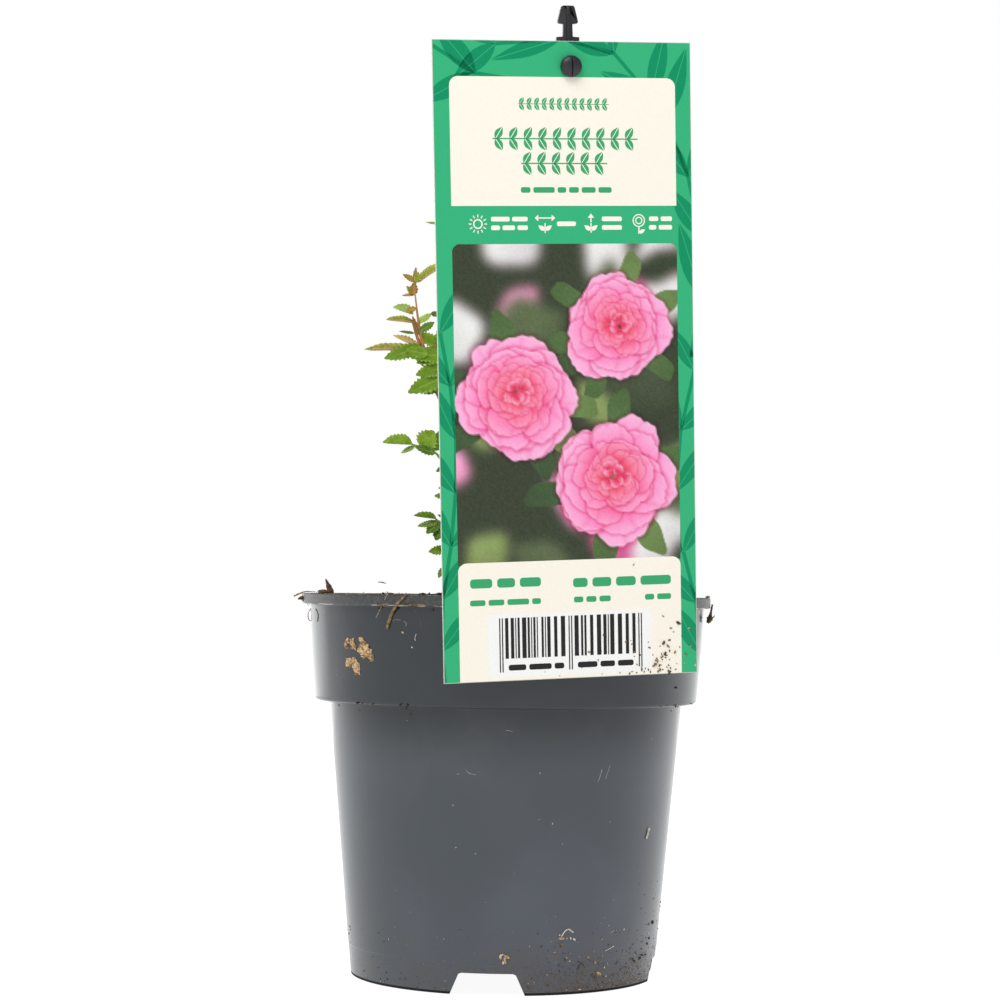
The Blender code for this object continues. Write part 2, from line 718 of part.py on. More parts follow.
def best_leaf(wanted, mass, name, hearts, limbs, skins, chance):
    """The fullest leaf near what is wanted: it is turned aside or made smaller until its leaflets fit."""
    share, azimuth, rise, stalk_length, end_length, pairs, youth, roll, droop = wanted
    stem = (mass["stem"], mass["radii"])
    root = along(mass["stem"], share)[0]
    state = chance.getstate()
    left_bound = LEFT_BOUND if droop > GIVEN_DROOP else -LEAF_REACH
    best = None
    for size in SIZES_TO_TRY:
        for turn in TURNS_TO_TRY:
            chance.setstate(state)
            lengths = (stalk_length * size, end_length * size)
            plan = leaf_plan(root, azimuth + turn, rise, *lengths, pairs, youth, roll, droop, chance)
            leaf = trimmed(plan, stem, name, hearts, limbs, skins, left_bound)
            if leaf and (best is None or len(leaf[1]) > len(best[1])):
                best = (*leaf, youth)
            if best and len(best[1]) == len(plan[1]):
                return best
    return best


def grow():
    """The canes, and each mass with the leaves that fit in its space."""
    canes = plan_canes()
    masses = plan_masses(canes)
    hearts = {name: mass["heart"] for name, mass in masses.items()}
    limbs = [(line, radii) for line, radii, _ in canes.values()]
    for name, mass in masses.items():
        chance = random.Random("rose " + name)
        mass["grown"] = []
        mass["given_up"] = 0
        skins = []
        for wanted in wanted_leaves(name, mass, chance):
            leaf = best_leaf(wanted, mass, name, hearts, limbs, skins, chance)
            if leaf:
                mass["grown"].append(leaf)
                skins += [leaflet_skin(leaflet) for leaflet in leaf[1]] + [stalk_skin(leaf[0])]
            else:
                mass["given_up"] += 1
    return canes, masses


# ---------------------------------------------------------------- the pieces


def make_pot(parts, cutters):
    lip_foot = POT_HEIGHT - LIP_HEIGHT
    slope = (BODY_TOP_RADIUS - BASE_RADIUS) / SHOULDER_HEIGHT
    floor_top = FLOOR_HEIGHT + WALL
    inner_floor_radius = BASE_RADIUS + slope * floor_top - WALL
    skirt_inner_radius = BASE_RADIUS + slope * FLOOR_HEIGHT - WALL
    profile = [
        (0.0, floor_top),
        (inner_floor_radius, floor_top),
        (BODY_TOP_RADIUS - WALL, SHOULDER_HEIGHT),
        (BODY_TOP_RADIUS - WALL + 0.4 * MM, SHOULDER_HEIGHT + WALL),
        (COLLAR_FOOT_RADIUS - WALL - 0.5 * MM, SHOULDER_HEIGHT + WALL + 0.3 * MM),
        (COLLAR_FOOT_RADIUS - WALL, SHOULDER_HEIGHT + WALL + 1.0 * MM),
        (COLLAR_TOP_RADIUS - WALL, POT_HEIGHT - 0.5 * MM),
        (COLLAR_TOP_RADIUS - WALL + 0.5 * MM, POT_HEIGHT),
        (RIM_RADIUS - 0.5 * MM, POT_HEIGHT),
        (RIM_RADIUS, POT_HEIGHT - 0.5 * MM),
        (RIM_RADIUS, lip_foot + 0.4 * MM),
        (RIM_RADIUS - 0.4 * MM, lip_foot),
        (COLLAR_TOP_RADIUS, lip_foot),
        (COLLAR_FOOT_RADIUS, SHOULDER_HEIGHT + 1.2 * MM),
        (COLLAR_FOOT_RADIUS - 0.5 * MM, SHOULDER_HEIGHT + 0.3 * MM),
        (COLLAR_FOOT_RADIUS - 1.3 * MM, SHOULDER_HEIGHT),
        (BODY_TOP_RADIUS, SHOULDER_HEIGHT - 0.6 * MM),
        (BASE_RADIUS + slope * BASE_CHAMFER, BASE_CHAMFER),
        (BASE_RADIUS - BASE_CHAMFER * 0.6, 0.0),
        (BASE_RADIUS - WALL - 0.6 * MM, 0.0),
        (skirt_inner_radius - 0.6 * MM, FLOOR_HEIGHT),
        (0.0, FLOOR_HEIGHT),
    ]
    pot = turned("pot", profile, POT_SIDES, parts, pot_plastic())
    pot.location = AXIS
    for number in range(NOTCH_COUNT):
        turn = math.radians(NOTCH_TURN + 360 / NOTCH_COUNT * number)
        across = Matrix.Translation(AXIS) @ Matrix.Rotation(turn, 4, "Z")
        below = 1.0 * MM
        spread = (NOTCH_FOOT_WIDTH - NOTCH_TOP_WIDTH) / 2 * (below / NOTCH_HEIGHT)
        outline = [
            (-NOTCH_FOOT_WIDTH / 2 - spread, -below),
            (NOTCH_FOOT_WIDTH / 2 + spread, -below),
            (NOTCH_TOP_WIDTH / 2, NOTCH_HEIGHT),
            (-NOTCH_TOP_WIDTH / 2, NOTCH_HEIGHT),
        ]
        cutter = plate(f"notch_{number}", outline, 12 * MM, cutters, None)
        cutter.matrix_world = (
            across @ Matrix.Translation((BASE_RADIUS - 1 * MM, 0, 0)) @ Matrix.Rotation(math.radians(90), 4, "Z")
        )
        boolean(pot, "DIFFERENCE", cutter)
        middle = across @ Vector((DRAIN_RING, 0, 0))
        drain = rod(
            f"drain_{number}",
            DRAIN_RADIUS,
            middle + Vector((0, 0, FLOOR_HEIGHT - 2 * MM)),
            middle + Vector((0, 0, floor_top + 2 * MM)),
            16,
            cutters,
            None,
        )
        boolean(pot, "DIFFERENCE", drain)
    return pot


def make_compost(parts, cutters):
    slope = (BODY_TOP_RADIUS - BASE_RADIUS) / SHOULDER_HEIGHT
    floor_top = FLOOR_HEIGHT + WALL
    clear = WALL + GAP
    profile = [
        (0.0, COMPOST_TOP),
        (SEAT_RADIUS, COMPOST_TOP),
        (34 * MM, COMPOST_TOP - 0.7 * MM),
        (54 * MM, COMPOST_TOP - 1.6 * MM),
        (COLLAR_TOP_RADIUS - clear - 0.4 * MM, COMPOST_EDGE),
        (COLLAR_FOOT_RADIUS - clear, SHOULDER_HEIGHT + WALL + 1.6 * MM),
        (COLLAR_FOOT_RADIUS - clear - 0.6 * MM, SHOULDER_HEIGHT + WALL + 0.7 * MM),
        (BODY_TOP_RADIUS - clear - 0.2 * MM, SHOULDER_HEIGHT + WALL + 0.4 * MM),
        (BASE_RADIUS + slope * (floor_top + GAP) - clear, floor_top + GAP),
        (0.0, floor_top + GAP),
    ]
    compost = turned("compost", profile, POT_SIDES, parts, compost_brown())
    compost.location = AXIS
    width, depth = 2 * (3.4 * MM + GAP), RIB_WIDTH + 2 * GAP
    top = 60 * MM
    foot = -HOLDER_FOOT - 1.0 * MM
    slot = plate(
        "holder_slot",
        [(-width / 2, foot), (width / 2, foot), (width / 2, foot + top + 60 * MM), (-width / 2, foot + top + 60 * MM)],
        depth,
        cutters,
        None,
    )
    slot.matrix_world = holder_matrix()
    boolean(compost, "DIFFERENCE", slot)
    return compost


def make_crown(parts):
    profile = [
        (0.0, CROWN_TOP),
        (CROWN_TOP_RADIUS - 0.8 * MM, CROWN_TOP),
        (CROWN_TOP_RADIUS, CROWN_TOP - 1.2 * MM),
        (CROWN_WAIST_RADIUS, CROWN_BASE + CROWN_HEIGHT * 0.45),
        (CROWN_FLARE_RADIUS, CROWN_BASE),
        (0.0, CROWN_BASE),
    ]
    crown = turned("crown", profile, 14, parts, cane_bark())
    crown.location = AXIS
    return crown


def make_leaflet(name, leaflet, collection):
    """A six-sided lens folded along its midrib: a two-ring sphere whose points are moved to the leaf's."""
    points, above, below = leaflet_points(leaflet)
    mesh = bpy.data.meshes.new(name)
    builder = bmesh.new()
    bmesh.ops.create_uvsphere(builder, u_segments=len(points), v_segments=2, radius=1.0)
    rim = sorted((v for v in builder.verts if abs(v.co.z) < 0.5), key=lambda v: math.atan2(v.co.y, v.co.x))
    for vertex, point in zip(rim, reversed(points)):
        vertex.co = point
    for vertex in builder.verts:
        if vertex not in rim:
            vertex.co = above if vertex.co.z > 0 else below
    face_outward(builder)
    builder.to_mesh(mesh)
    builder.free()
    return add_object(name, mesh, collection)


def make_mass(name, mass, parts):
    """A stem, its leaves' stalks and their leaflets, joined into one solid."""
    stem = limb(name, mass["stem"], mass["radii"], 5, parts, leaf_green())
    pieces = []
    for i, (stalk, leaflets, _) in enumerate(mass["grown"]):
        stalk_radii = taper(STALK_RADIUS, 0.8, len(stalk))
        pieces.append(limb(f"{name}_stalk_{i}", stalk, stalk_radii, 3, parts, None))
        for j, leaflet in enumerate(leaflets):
            pieces.append(make_leaflet(f"{name}_leaflet_{i}_{j}", leaflet, parts))
    fuse(stem, pieces)
    stem.data.materials.clear()
    stem.data.materials.append(leaf_green())
    return stem


def make_card(parts, cutters):
    half = CARD_WIDTH / 2
    outline = [(-half, 0.0), (half, 0.0), (half, CARD_HEIGHT), (-half, CARD_HEIGHT)]
    card = plate("label_card", outline, CARD_THICKNESS, parts, card_print())
    card.matrix_world = CARD_MATRIX
    middle = Vector((HOLE_X, 0, CARD_HEIGHT - HOLE_DROP))
    reach = Vector((0, 2 * MM, 0))
    hole = rod("card_hole", HOLE_RADIUS, middle - reach, middle + reach, 16, cutters, None)
    hole.matrix_world = CARD_MATRIX
    boolean(card, "DIFFERENCE", hole)
    return card


def make_holder(parts):
    """A black stem of cross section with an arrow head, and a round-headed peg that goes through the card."""
    outline = [
        (0.0, -HOLDER_FOOT),
        (2.2 * MM, -HOLDER_FOOT + 12 * MM),
        (3.2 * MM, -HOLDER_FOOT + 40 * MM),
        (3.2 * MM, 7.0 * MM),
        (3.4 * MM, 7.0 * MM),
        (3.4 * MM, 8.6 * MM),
        (1.45 * MM, 8.6 * MM),
        (1.45 * MM, 12.4 * MM),
        (2.9 * MM, 12.7 * MM),
        (2.9 * MM, 13.2 * MM),
        (1.8 * MM, 17.6 * MM),
    ]
    outline += [(-x, z) for x, z in reversed(outline[1:])]
    holder = plate("label_holder", outline, WEB_THICKNESS, parts, holder_plastic())
    rib_half = 1.5 * MM
    rib_outline = [
        (0.0, -HOLDER_FOOT + 8 * MM),
        (rib_half, -HOLDER_FOOT + 34 * MM),
        (rib_half, 12.4 * MM),
        (1.3 * MM, 17.2 * MM),
        (-1.3 * MM, 17.2 * MM),
        (-rib_half, 12.4 * MM),
        (-rib_half, -HOLDER_FOOT + 34 * MM),
    ]
    rib = plate("holder_rib", rib_outline, 1.1 * MM, parts, None)
    rib.data.transform(Matrix.Rotation(math.radians(90), 4, "Z"))
    card_front = HOLDER_SETBACK + CARD_THICKNESS / 2
    card_back = HOLDER_SETBACK - CARD_THICKNESS / 2
    head_start = card_front + GAP
    collar = rod(
        "peg_collar", 3.1 * MM, Vector((0, 0, 0)), Vector((0, -(card_back - GAP), 0)), 20, parts, None
    )
    peg = rod("peg", 1.7 * MM, Vector((0, 0, 0)), Vector((0, -(head_start + 1 * MM), 0)), 12, parts, None)
    head = rod(
        "peg_head",
        3.2 * MM,
        Vector((0, -head_start, 0)),
        Vector((0, -(head_start + 1.5 * MM), 0)),
        20,
        parts,
        None,
        end_radius=3.0 * MM,
    )
    dome = rod(
        "peg_dome",
        3.0 * MM,
        Vector((0, -(head_start + 1.4 * MM), 0)),
        Vector((0, -(head_start + 2.5 * MM), 0)),
        20,
        parts,
        None,
        end_radius=1.7 * MM,
    )
    fuse(holder, [rib, collar, peg, head, dome], "EXACT")
    holder.data.materials.clear()
    holder.data.materials.append(holder_plastic())
    holder.matrix_world = holder_matrix()
    return holder


def main():
    clear_scene()
    parts = new_collection("potted_rose_bush")
    cutters = new_collection("cutters")
    make_pot(parts, cutters)
    make_compost(parts, cutters)
    make_crown(parts)
    canes, masses = grow()
    for name, (line, radii, _) in canes.items():
        limb("cane_" + name, line, radii, 8, parts, cane_bark())
    for name, mass in masses.items():
        make_mass(name, mass, parts)
        leaflets = sum(len(kept) for _, kept, _ in mass["grown"])
        print(name, len(mass["grown"]), "leaves,", leaflets, "leaflets,", mass["given_up"], "given up")
    make_card(parts, cutters)
    make_holder(parts)
    print("the pot's axis is", round(AXIS.y / MM, 2), "mm behind the origin")


main()
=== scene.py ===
# %% [markdown]
# # A young rose bush in its grower's pot
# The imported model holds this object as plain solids: a pot, its compost, the woody crown, six canes, twelve
# masses of leaves, and the card label on its black holder. Here each of them is dressed. A solid whose shape
# is right only gets a finish. The others are replaced by a finer piece that is made in the same place, from
# the same measures.

import math
import random

import bmesh
import bpy
import numpy as np
from mathutils import Matrix, Vector, noise
from mathutils.bvhtree import BVHTree
from mathutils.geometry import tessellate_polygon


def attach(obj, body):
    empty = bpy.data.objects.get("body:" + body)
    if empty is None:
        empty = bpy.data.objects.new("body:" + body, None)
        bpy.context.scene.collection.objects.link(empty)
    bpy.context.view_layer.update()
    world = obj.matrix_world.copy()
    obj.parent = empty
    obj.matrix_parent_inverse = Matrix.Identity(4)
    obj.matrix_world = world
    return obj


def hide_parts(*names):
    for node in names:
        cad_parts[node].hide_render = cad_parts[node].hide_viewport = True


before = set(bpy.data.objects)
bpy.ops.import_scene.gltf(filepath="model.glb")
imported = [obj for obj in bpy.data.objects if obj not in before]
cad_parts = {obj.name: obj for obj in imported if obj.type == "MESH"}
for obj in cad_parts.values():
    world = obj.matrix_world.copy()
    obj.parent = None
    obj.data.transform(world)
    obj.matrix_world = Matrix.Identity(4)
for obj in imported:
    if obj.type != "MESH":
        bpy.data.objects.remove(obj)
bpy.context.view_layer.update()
MM = 0.001

# %% [markdown]
# ## Where everything stands
# The measures below are those of the solids, in millimetres. The card leans out over the front of the pot,
# so the pot's axis lies a little behind the origin, and everything that is round is placed from that axis.
# The card has its own frame: X across it, Z up from its foot, and its printed face towards -Y.

# %% Measures of pot, compost, card and holder
GAP = 0.3 * MM
RIM_RADIUS = 65.0 * MM
POT_HEIGHT = 120.0 * MM
LIP_HEIGHT = 2.8 * MM
COLLAR_TOP_RADIUS = 63.2 * MM
COLLAR_FOOT_RADIUS = 60.8 * MM
SHOULDER_HEIGHT = 87.0 * MM
BODY_TOP_RADIUS = 56.0 * MM
BASE_RADIUS = 48.4 * MM
WALL = 1.2 * MM
FLOOR_HEIGHT = 7.0 * MM
NOTCH_COUNT = 4
NOTCH_TURN = -95.4
NOTCH_TOP_WIDTH = 17.4 * MM
NOTCH_FOOT_WIDTH = 23.0 * MM
NOTCH_HEIGHT = FLOOR_HEIGHT - 0.3 * MM
DRAIN_RADIUS = 4.0 * MM
DRAIN_RING = 31.0 * MM
COMPOST_TOP = 120.6 * MM
CROWN_FLARE_RADIUS = 8.4 * MM
CROWN_WAIST_RADIUS = 6.6 * MM
CROWN_TOP_RADIUS = 7.6 * MM
CROWN_HEIGHT = 9.0 * MM
CROWN_TOP = COMPOST_TOP + GAP + CROWN_HEIGHT
CARD_WIDTH = 77.7 * MM
CARD_HEIGHT = 186.2 * MM
CARD_THICKNESS = 0.5 * MM
CARD_YAW = 13.9
CARD_LEAN = 4.1
CARD_ROLL = -2.8
CARD_CENTRE_X = 19.6 * MM
CARD_FOOT_Z = 96.6 * MM
CARD_CLEARANCE = 64.2 * MM
HOLE_X = 2.2 * MM
HOLE_DROP = 7.2 * MM
HOLE_RADIUS = 2.4 * MM
HOLDER_SETBACK = 2.6 * MM
HOLDER_DEPTH_AT_SHOULDER = 51.3 * MM
HOLDER_FOOT = 240.0 * MM


# %% The card's frame, the pot's axis and the holder's frame
def card_matrix_about_axis():
    yaw = math.radians(CARD_YAW)
    y = -(CARD_CLEARANCE - CARD_CENTRE_X * math.sin(yaw)) / math.cos(yaw)
    return (
        Matrix.Translation((CARD_CENTRE_X, y, CARD_FOOT_Z))
        @ Matrix.Rotation(yaw, 4, "Z")
        @ Matrix.Rotation(math.radians(CARD_LEAN), 4, "X")
        @ Matrix.Rotation(math.radians(CARD_ROLL), 4, "Y")
    )


card_top_left = Vector((-CARD_WIDTH / 2, -CARD_THICKNESS / 2, CARD_HEIGHT))
card_front_reach = -(card_matrix_about_axis() @ card_top_left).y
AXIS = Vector((0.0, (card_front_reach - RIM_RADIUS) / 2, 0.0))
CARD_MATRIX = Matrix.Translation(AXIS) @ card_matrix_about_axis()


def holder_matrix():
    """The holder's own frame: origin where its peg leaves it, Z up along it, -Y towards the card."""
    peg = CARD_MATRIX @ Vector((HOLE_X, HOLDER_SETBACK, CARD_HEIGHT - HOLE_DROP))
    yaw = math.radians(CARD_YAW)
    outward = Vector((math.sin(yaw), -math.cos(yaw), 0.0))
    reach = (peg - AXIS).dot(outward)
    lean = math.atan2(reach - HOLDER_DEPTH_AT_SHOULDER, peg.z - SHOULDER_HEIGHT)
    return (
        Matrix.Translation(peg)
        @ Matrix.Rotation(yaw, 4, "Z")
        @ Matrix.Rotation(lean, 4, "X")
        @ Matrix.Rotation(math.radians(CARD_ROLL), 4, "Y")
    )


print("the pot's axis is", round(AXIS.y / MM, 2), "mm behind the origin")

# %% [markdown]
# ## Camera, floor and light
# The plant is looked at from just above the pot's rim, with a level camera. A level camera keeps upright
# lines upright, and its lens is shifted up instead of being tilted. The studio is plain: a white surround,
# a pale floor, and soft lamps that leave a broad, even light.

# %% Camera
CAMERA_DISTANCE = 823.5 * MM
CAMERA_HEIGHT = 123.6 * MM
CAMERA_LENS = 92.6
CAMERA_TILT_ABOUT_VIEW = 0.75

eye = bpy.data.cameras.new("plant_camera")
eye.lens = CAMERA_LENS
eye.sensor_width = 36.0
eye.shift_x = -0.007
eye.shift_y = 0.086
eye.clip_start = 0.01
camera = bpy.data.objects.new("plant_camera", eye)
bpy.context.scene.collection.objects.link(camera)
camera.matrix_world = (
    Matrix.Translation(AXIS + Vector((0, -CAMERA_DISTANCE, CAMERA_HEIGHT)))
    @ Matrix.Rotation(math.radians(90), 4, "X")
    @ Matrix.Rotation(math.radians(CAMERA_TILT_ABOUT_VIEW), 4, "Z")
)
bpy.context.scene.camera = camera
bpy.context.scene.view_settings.view_transform = "Standard"

# %% Lamps
def soft_box(name, place, target, wide, high, power):
    """A soft box of this size at a place, turned to its target."""
    lamp = bpy.data.lights.new(name, "AREA")
    lamp.shape = "RECTANGLE"
    lamp.size = wide
    lamp.size_y = high
    lamp.energy = power
    holder = bpy.data.objects.new(name, lamp)
    bpy.context.scene.collection.objects.link(holder)
    ahead = Vector(target) - Vector(place)
    holder.matrix_world = Matrix.Translation(place) @ ahead.to_track_quat("-Z", "Y").to_matrix().to_4x4()
    return holder


soft_box("box_above_front", (-0.25, -0.85, 1.05), (0, 0, 0.14), 0.9, 0.7, 8.4)
soft_box("box_left", (-0.80, 0.50, 0.25), (0, 0, 0.10), 0.55, 0.9, 7.4).visible_glossy = False
soft_box("box_right", (0.80, 0.50, 0.25), (0, 0, 0.10), 0.55, 0.9, 7.4).visible_glossy = False
soft_box("box_behind", (0.0, 0.9, 0.8), (0, 0, 0.12), 0.8, 0.6, 4.0)
soft_box("screen_left", (-0.47, 0.82, 0.25), (0, 0, 0.10), 0.8, 0.9, 1.8).visible_camera = False
soft_box("screen_right", (0.50, 0.80, 0.25), (0, 0, 0.10), 0.9, 0.9, 0.75).visible_camera = False

# %% [markdown]
# ## Finishes as expressions
# A finish is a small sum: noise times an amount, plus a base, clamped and mixed. Wiring that by hand is hard
# to read, so one class wraps a socket and lets it be added, multiplied and compared like a number. Each
# operator adds its own node. Colours are mixed with a Mix node, because a Math node turns a colour grey.


# %% A socket that can be reckoned with
class Shade:
    """A value that varies over a surface. It is one output socket in a material's node tree."""

    def __init__(self, tree, socket=None):
        self.tree = tree
        self.socket = socket

    def node(self, kind, settings=None, values=None, output=0):
        """Any node: its settings are set first, then its sockets get values or links."""
        made = self.tree.nodes.new(kind)
        for name, value in (settings or {}).items():
            if name == "stops":
                for stop, (place, colour) in zip(made.color_ramp.elements, value):
                    stop.position = place
                    stop.color = colour
            else:
                setattr(made, name, value)
        for name, value in (values or {}).items():
            if isinstance(value, Shade):
                self.tree.links.new(value.socket, made.inputs[name])
            else:
                made.inputs[name].default_value = value
        return Shade(self.tree, made.outputs[output])

    def math(self, operation, *values):
        return self.node("ShaderNodeMath", {"operation": operation}, dict(enumerate(values)))

    def __add__(self, other):
        return self.math("ADD", self, other)

    def __radd__(self, other):
        return self.math("ADD", other, self)

    def __sub__(self, other):
        return self.math("SUBTRACT", self, other)

    def __rsub__(self, other):
        return self.math("SUBTRACT", other, self)

    def __mul__(self, other):
        return self.math("MULTIPLY", self, other)

    def __rmul__(self, other):
        return self.math("MULTIPLY", other, self)

    def __truediv__(self, other):
        return self.math("DIVIDE", self, other)

    def __pow__(self, other):
        return self.math("POWER", self, other)

    def between(self, low, high):
        """0 below low, 1 above high, and smooth between them. With low above high it falls instead."""
        values = {"Value": self, "From Min": low, "From Max": high, "To Min": 0.0, "To Max": 1.0}
        return self.node("ShaderNodeMapRange", {"interpolation_type": "SMOOTHSTEP"}, values)

    def tint(self, first, second):
        """The first colour where this is 0, the second where it is 1."""
        return self.node("ShaderNodeMix", {"data_type": "RGBA"}, {0: self, 6: first, 7: second}, 2)


# %% White surround, for the studio above
SURROUND_LIGHT = 0.36  # what the surround gives as light, of the white that it shows
SCREEN_LIGHT = 1.5  # and what the screen behind gives
SCREEN_EDGE = 0.60  # how far back the white screen behind reaches round, as a share of straight back

world = bpy.data.worlds.new("white_studio")
bpy.context.scene.world = world
world.use_nodes = True
air = Shade(world.node_tree)
backward = air.node("ShaderNodeTexCoord", output="Generated")
backward = air.node("ShaderNodeSeparateXYZ", values={"Vector": backward}, output="Y")
glow = (backward - SCREEN_EDGE).between(0.0, 0.02) * (SCREEN_LIGHT - SURROUND_LIGHT) + SURROUND_LIGHT
seen = air.node("ShaderNodeLightPath", output="Is Camera Ray")
glow = seen + glow * (1 - seen)
backdrop = world.node_tree.nodes["Background"]
backdrop.inputs["Color"].default_value = (1.0, 1.0, 1.0, 1.0)
world.node_tree.links.new(glow.socket, backdrop.inputs["Strength"])


# %% A new finish, and the patterns that most finishes use
def new_finish(name, colour, rough, **constants):
    """A material with constant sockets, and the Shade and shader to vary it with."""
    made = bpy.data.materials.new(name)
    made.use_nodes = True
    shader = made.node_tree.nodes["Principled BSDF"]
    shader.inputs["Base Color"].default_value = (*colour, 1.0)
    shader.inputs["Roughness"].default_value = rough
    for socket, value in constants.items():
        shader.inputs[socket.replace("_", " ")].default_value = value
    return made, Shade(made.node_tree), shader


def feed(shader, name, value):
    value.tree.links.new(value.socket, shader.inputs[name])


def place_of(paint):
    """The place on the object, in metres, in the model's frame."""
    return paint.node("ShaderNodeTexCoord", output="Object")


def stretched(place, scales):
    """The place, scaled by a different amount along X, Y and Z."""
    return place.node("ShaderNodeVectorMath", {"operation": "MULTIPLY"}, {0: place, 1: scales})


def mottle(place, scale, detail=3.0, roughness=0.55):
    """Cloudy noise from 0 to 1 with this many lumps to a metre."""
    values = {"Vector": place, "Scale": scale, "Detail": detail, "Roughness": roughness}
    return place.node("ShaderNodeTexNoise", values=values, output="Fac")


def relief(height, depth, strength=1.0):
    """A bump of this depth in metres."""
    return height.node("ShaderNodeBump", values={"Strength": strength, "Distance": depth, "Height": height})


def height_and_turn(place):
    """Height above the ground in metres, and X and Y about the pot's axis."""
    parts = {}
    for axis in "XYZ":
        parts[axis] = place.node("ShaderNodeSeparateXYZ", values={"Vector": place}, output=axis)
    return parts["Z"], parts["X"], parts["Y"] - AXIS.y


# %% Helpers that make pieces
def piece(name, points, faces, finishes, slot, stands_for=(), picks=None, smooth=True, sharp=None):
    """A mesh object from points and faces. It rides on the body and may stand for solids."""
    mesh = bpy.data.meshes.new(name)
    mesh.from_pydata([tuple(p) for p in points], [], faces)
    for finish in finishes:
        mesh.materials.append(finish)
    if picks is not None:
        mesh.polygons.foreach_set("material_index", picks)
    mesh.polygons.foreach_set("use_smooth", [smooth] * len(mesh.polygons))
    if sharp:
        mesh.set_sharp_from_angle(angle=math.radians(sharp))
    made = bpy.data.objects.new(name, mesh)
    bpy.context.scene.collection.objects.link(made)
    return dress(made, stands_for)


def dress(made, stands_for=()):
    """Attaches an object to the plant's body, and hides the solids that it stands for."""
    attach(made, "root")
    if stands_for:
        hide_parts(*stands_for)
    print(made.name, len(made.data.polygons), "faces")
    return made


class Heap:
    """Small shapes of one kind, gathered into one mesh."""

    def __init__(self):
        self.points = []
        self.faces = []
        self.picks = []

    def add(self, shape, pick=0):
        """Adds (points, faces). The pick is one finish for all faces, or a list with one for each."""
        points, faces = shape
        first = len(self.points)
        self.points.extend(points)
        self.faces.extend(tuple(first + i for i in face) for face in faces)
        self.picks.extend(pick if isinstance(pick, list) else [pick] * len(faces))

    def make(self, name, finishes, slot, stands_for=(), **settings):
        return piece(name, self.points, self.faces, finishes, slot, stands_for, self.picks, **settings)


def smooth_line(points, steps):
    """The points joined by a smooth curve, with this many steps from each to the next."""
    ends = [points[0] * 2 - points[1], *points, points[-1] * 2 - points[-2]]
    line = []
    for before, a, b, after in zip(ends, ends[1:], ends[2:], ends[3:]):
        for i in range(steps):
            t = i / steps
            bend = (b - before) * t + (before * 2 - a * 5 + b * 4 - after) * t * t
            line.append(a + (bend + (a * 3 - before - b * 3 + after) * t**3) * 0.5)
    return line + [points[-1]]


def ring_walls(rings, sides):
    """The faces between rings of points that follow each other, each with this many sides."""
    walls = []
    for first in range(0, (rings - 1) * sides, sides):
        for j in range(sides):
            k = first + (j + 1) % sides
            walls.append((first + j, k, k + sides, first + j + sides))
    return walls


def closed_rings(rings, sides):
    """The same faces, and one that closes the rings at each end."""
    last = (rings - 1) * sides
    return [*ring_walls(rings, sides), tuple(reversed(range(sides))), tuple(range(last, last + sides))]


def turned_walls(rings, sides):
    """The faces of a shape turned about an axis: a point, rings that follow each other, and a point."""
    walls = []
    last = 1 + (rings - 1) * sides
    for j in range(sides):
        k = (j + 1) % sides
        walls.append((0, 1 + j, 1 + k))
        walls += [(a + j, a + sides + j, a + sides + k, a + k) for a in range(1, last, sides)]
        walls.append((last + j, last + sides, last + k))
    return walls


def tube(line, radii, sides, waver=None):
    """A closed round limb along a line. The waver gives a radius share for each (ring, side)."""
    tangent = (line[1] - line[0]).normalized()
    side = tangent.orthogonal().normalized()
    points = []
    last = len(line) - 1
    for i, place in enumerate(line):
        tangent = (line[min(i + 1, last)] - line[max(i - 1, 0)]).normalized()
        side = (side - tangent * side.dot(tangent)).normalized()
        up = tangent.cross(side)
        for j in range(sides):
            turn = 2 * math.pi * j / sides
            reach = radii[i] * (waver(i, j) if waver else 1.0)
            points.append(place + (side * math.cos(turn) + up * math.sin(turn)) * reach)
    return points, closed_rings(len(line), sides)


def revolved(profile, sides, middle=AXIS):
    """A closed shape turned about a vertical axis. The profile starts and ends on the axis."""
    points = [middle + Vector((0, 0, profile[0][1]))]
    for radius, height in profile[1:-1]:
        for j in range(sides):
            turn = 2 * math.pi * j / sides
            points.append(middle + Vector((radius * math.cos(turn), radius * math.sin(turn), height)))
    points.append(middle + Vector((0, 0, profile[-1][1])))
    return points, turned_walls(len(profile) - 2, sides)


# %% Floor
def make_floor():
    finish, paint, shader = new_finish("pale_studio_floor", (0.12, 0.12, 0.12), 0.9)
    grain = mottle(place_of(paint), 900.0)
    feed(shader, "Roughness", grain * 0.1 + 0.85)
    shader.inputs["Emission Color"].default_value = (1.0, 1.0, 1.0, 1.0)
    shader.inputs["Emission Strength"].default_value = 0.94
    reach = 4.0
    mesh = bpy.data.meshes.new("studio_floor")
    corners = [(-reach, -reach, -0.0001), (reach, -reach, -0.0001), (reach, reach, -0.0001), (-reach, reach, -0.0001)]
    mesh.from_pydata(corners, [], [(0, 1, 2, 3)])
    mesh.materials.append(finish)
    floor = bpy.data.objects.new("studio_floor", mesh)
    bpy.context.scene.collection.objects.link(floor)


make_floor()

# %% [markdown]
# ## How the bush grows
# A rose's leaf is pinnate: a stalk with one end leaflet and pairs of side leaflets. Leaves leave a stem at
# the golden angle, so that none shades the one below. The solids were grown by such a rule, and the same
# rule is written again here, so every stalk and leaflet comes out exactly where its solid is. What it gives
# are places and directions only. The fine shapes are made from them afterwards.

# %% Measures of canes, shoots and leaves
# Crown of leaves: no leaf reaches further out or up than this, and only the left cane's own leaves
# stand out to the left of the other canes.
LEAF_REACH = 52.0 * MM
LEAF_CEILING = 262.0 * MM
LEAF_FLOOR = COMPOST_TOP + 2.0 * MM
LEFT_BOUND = -21.5 * MM

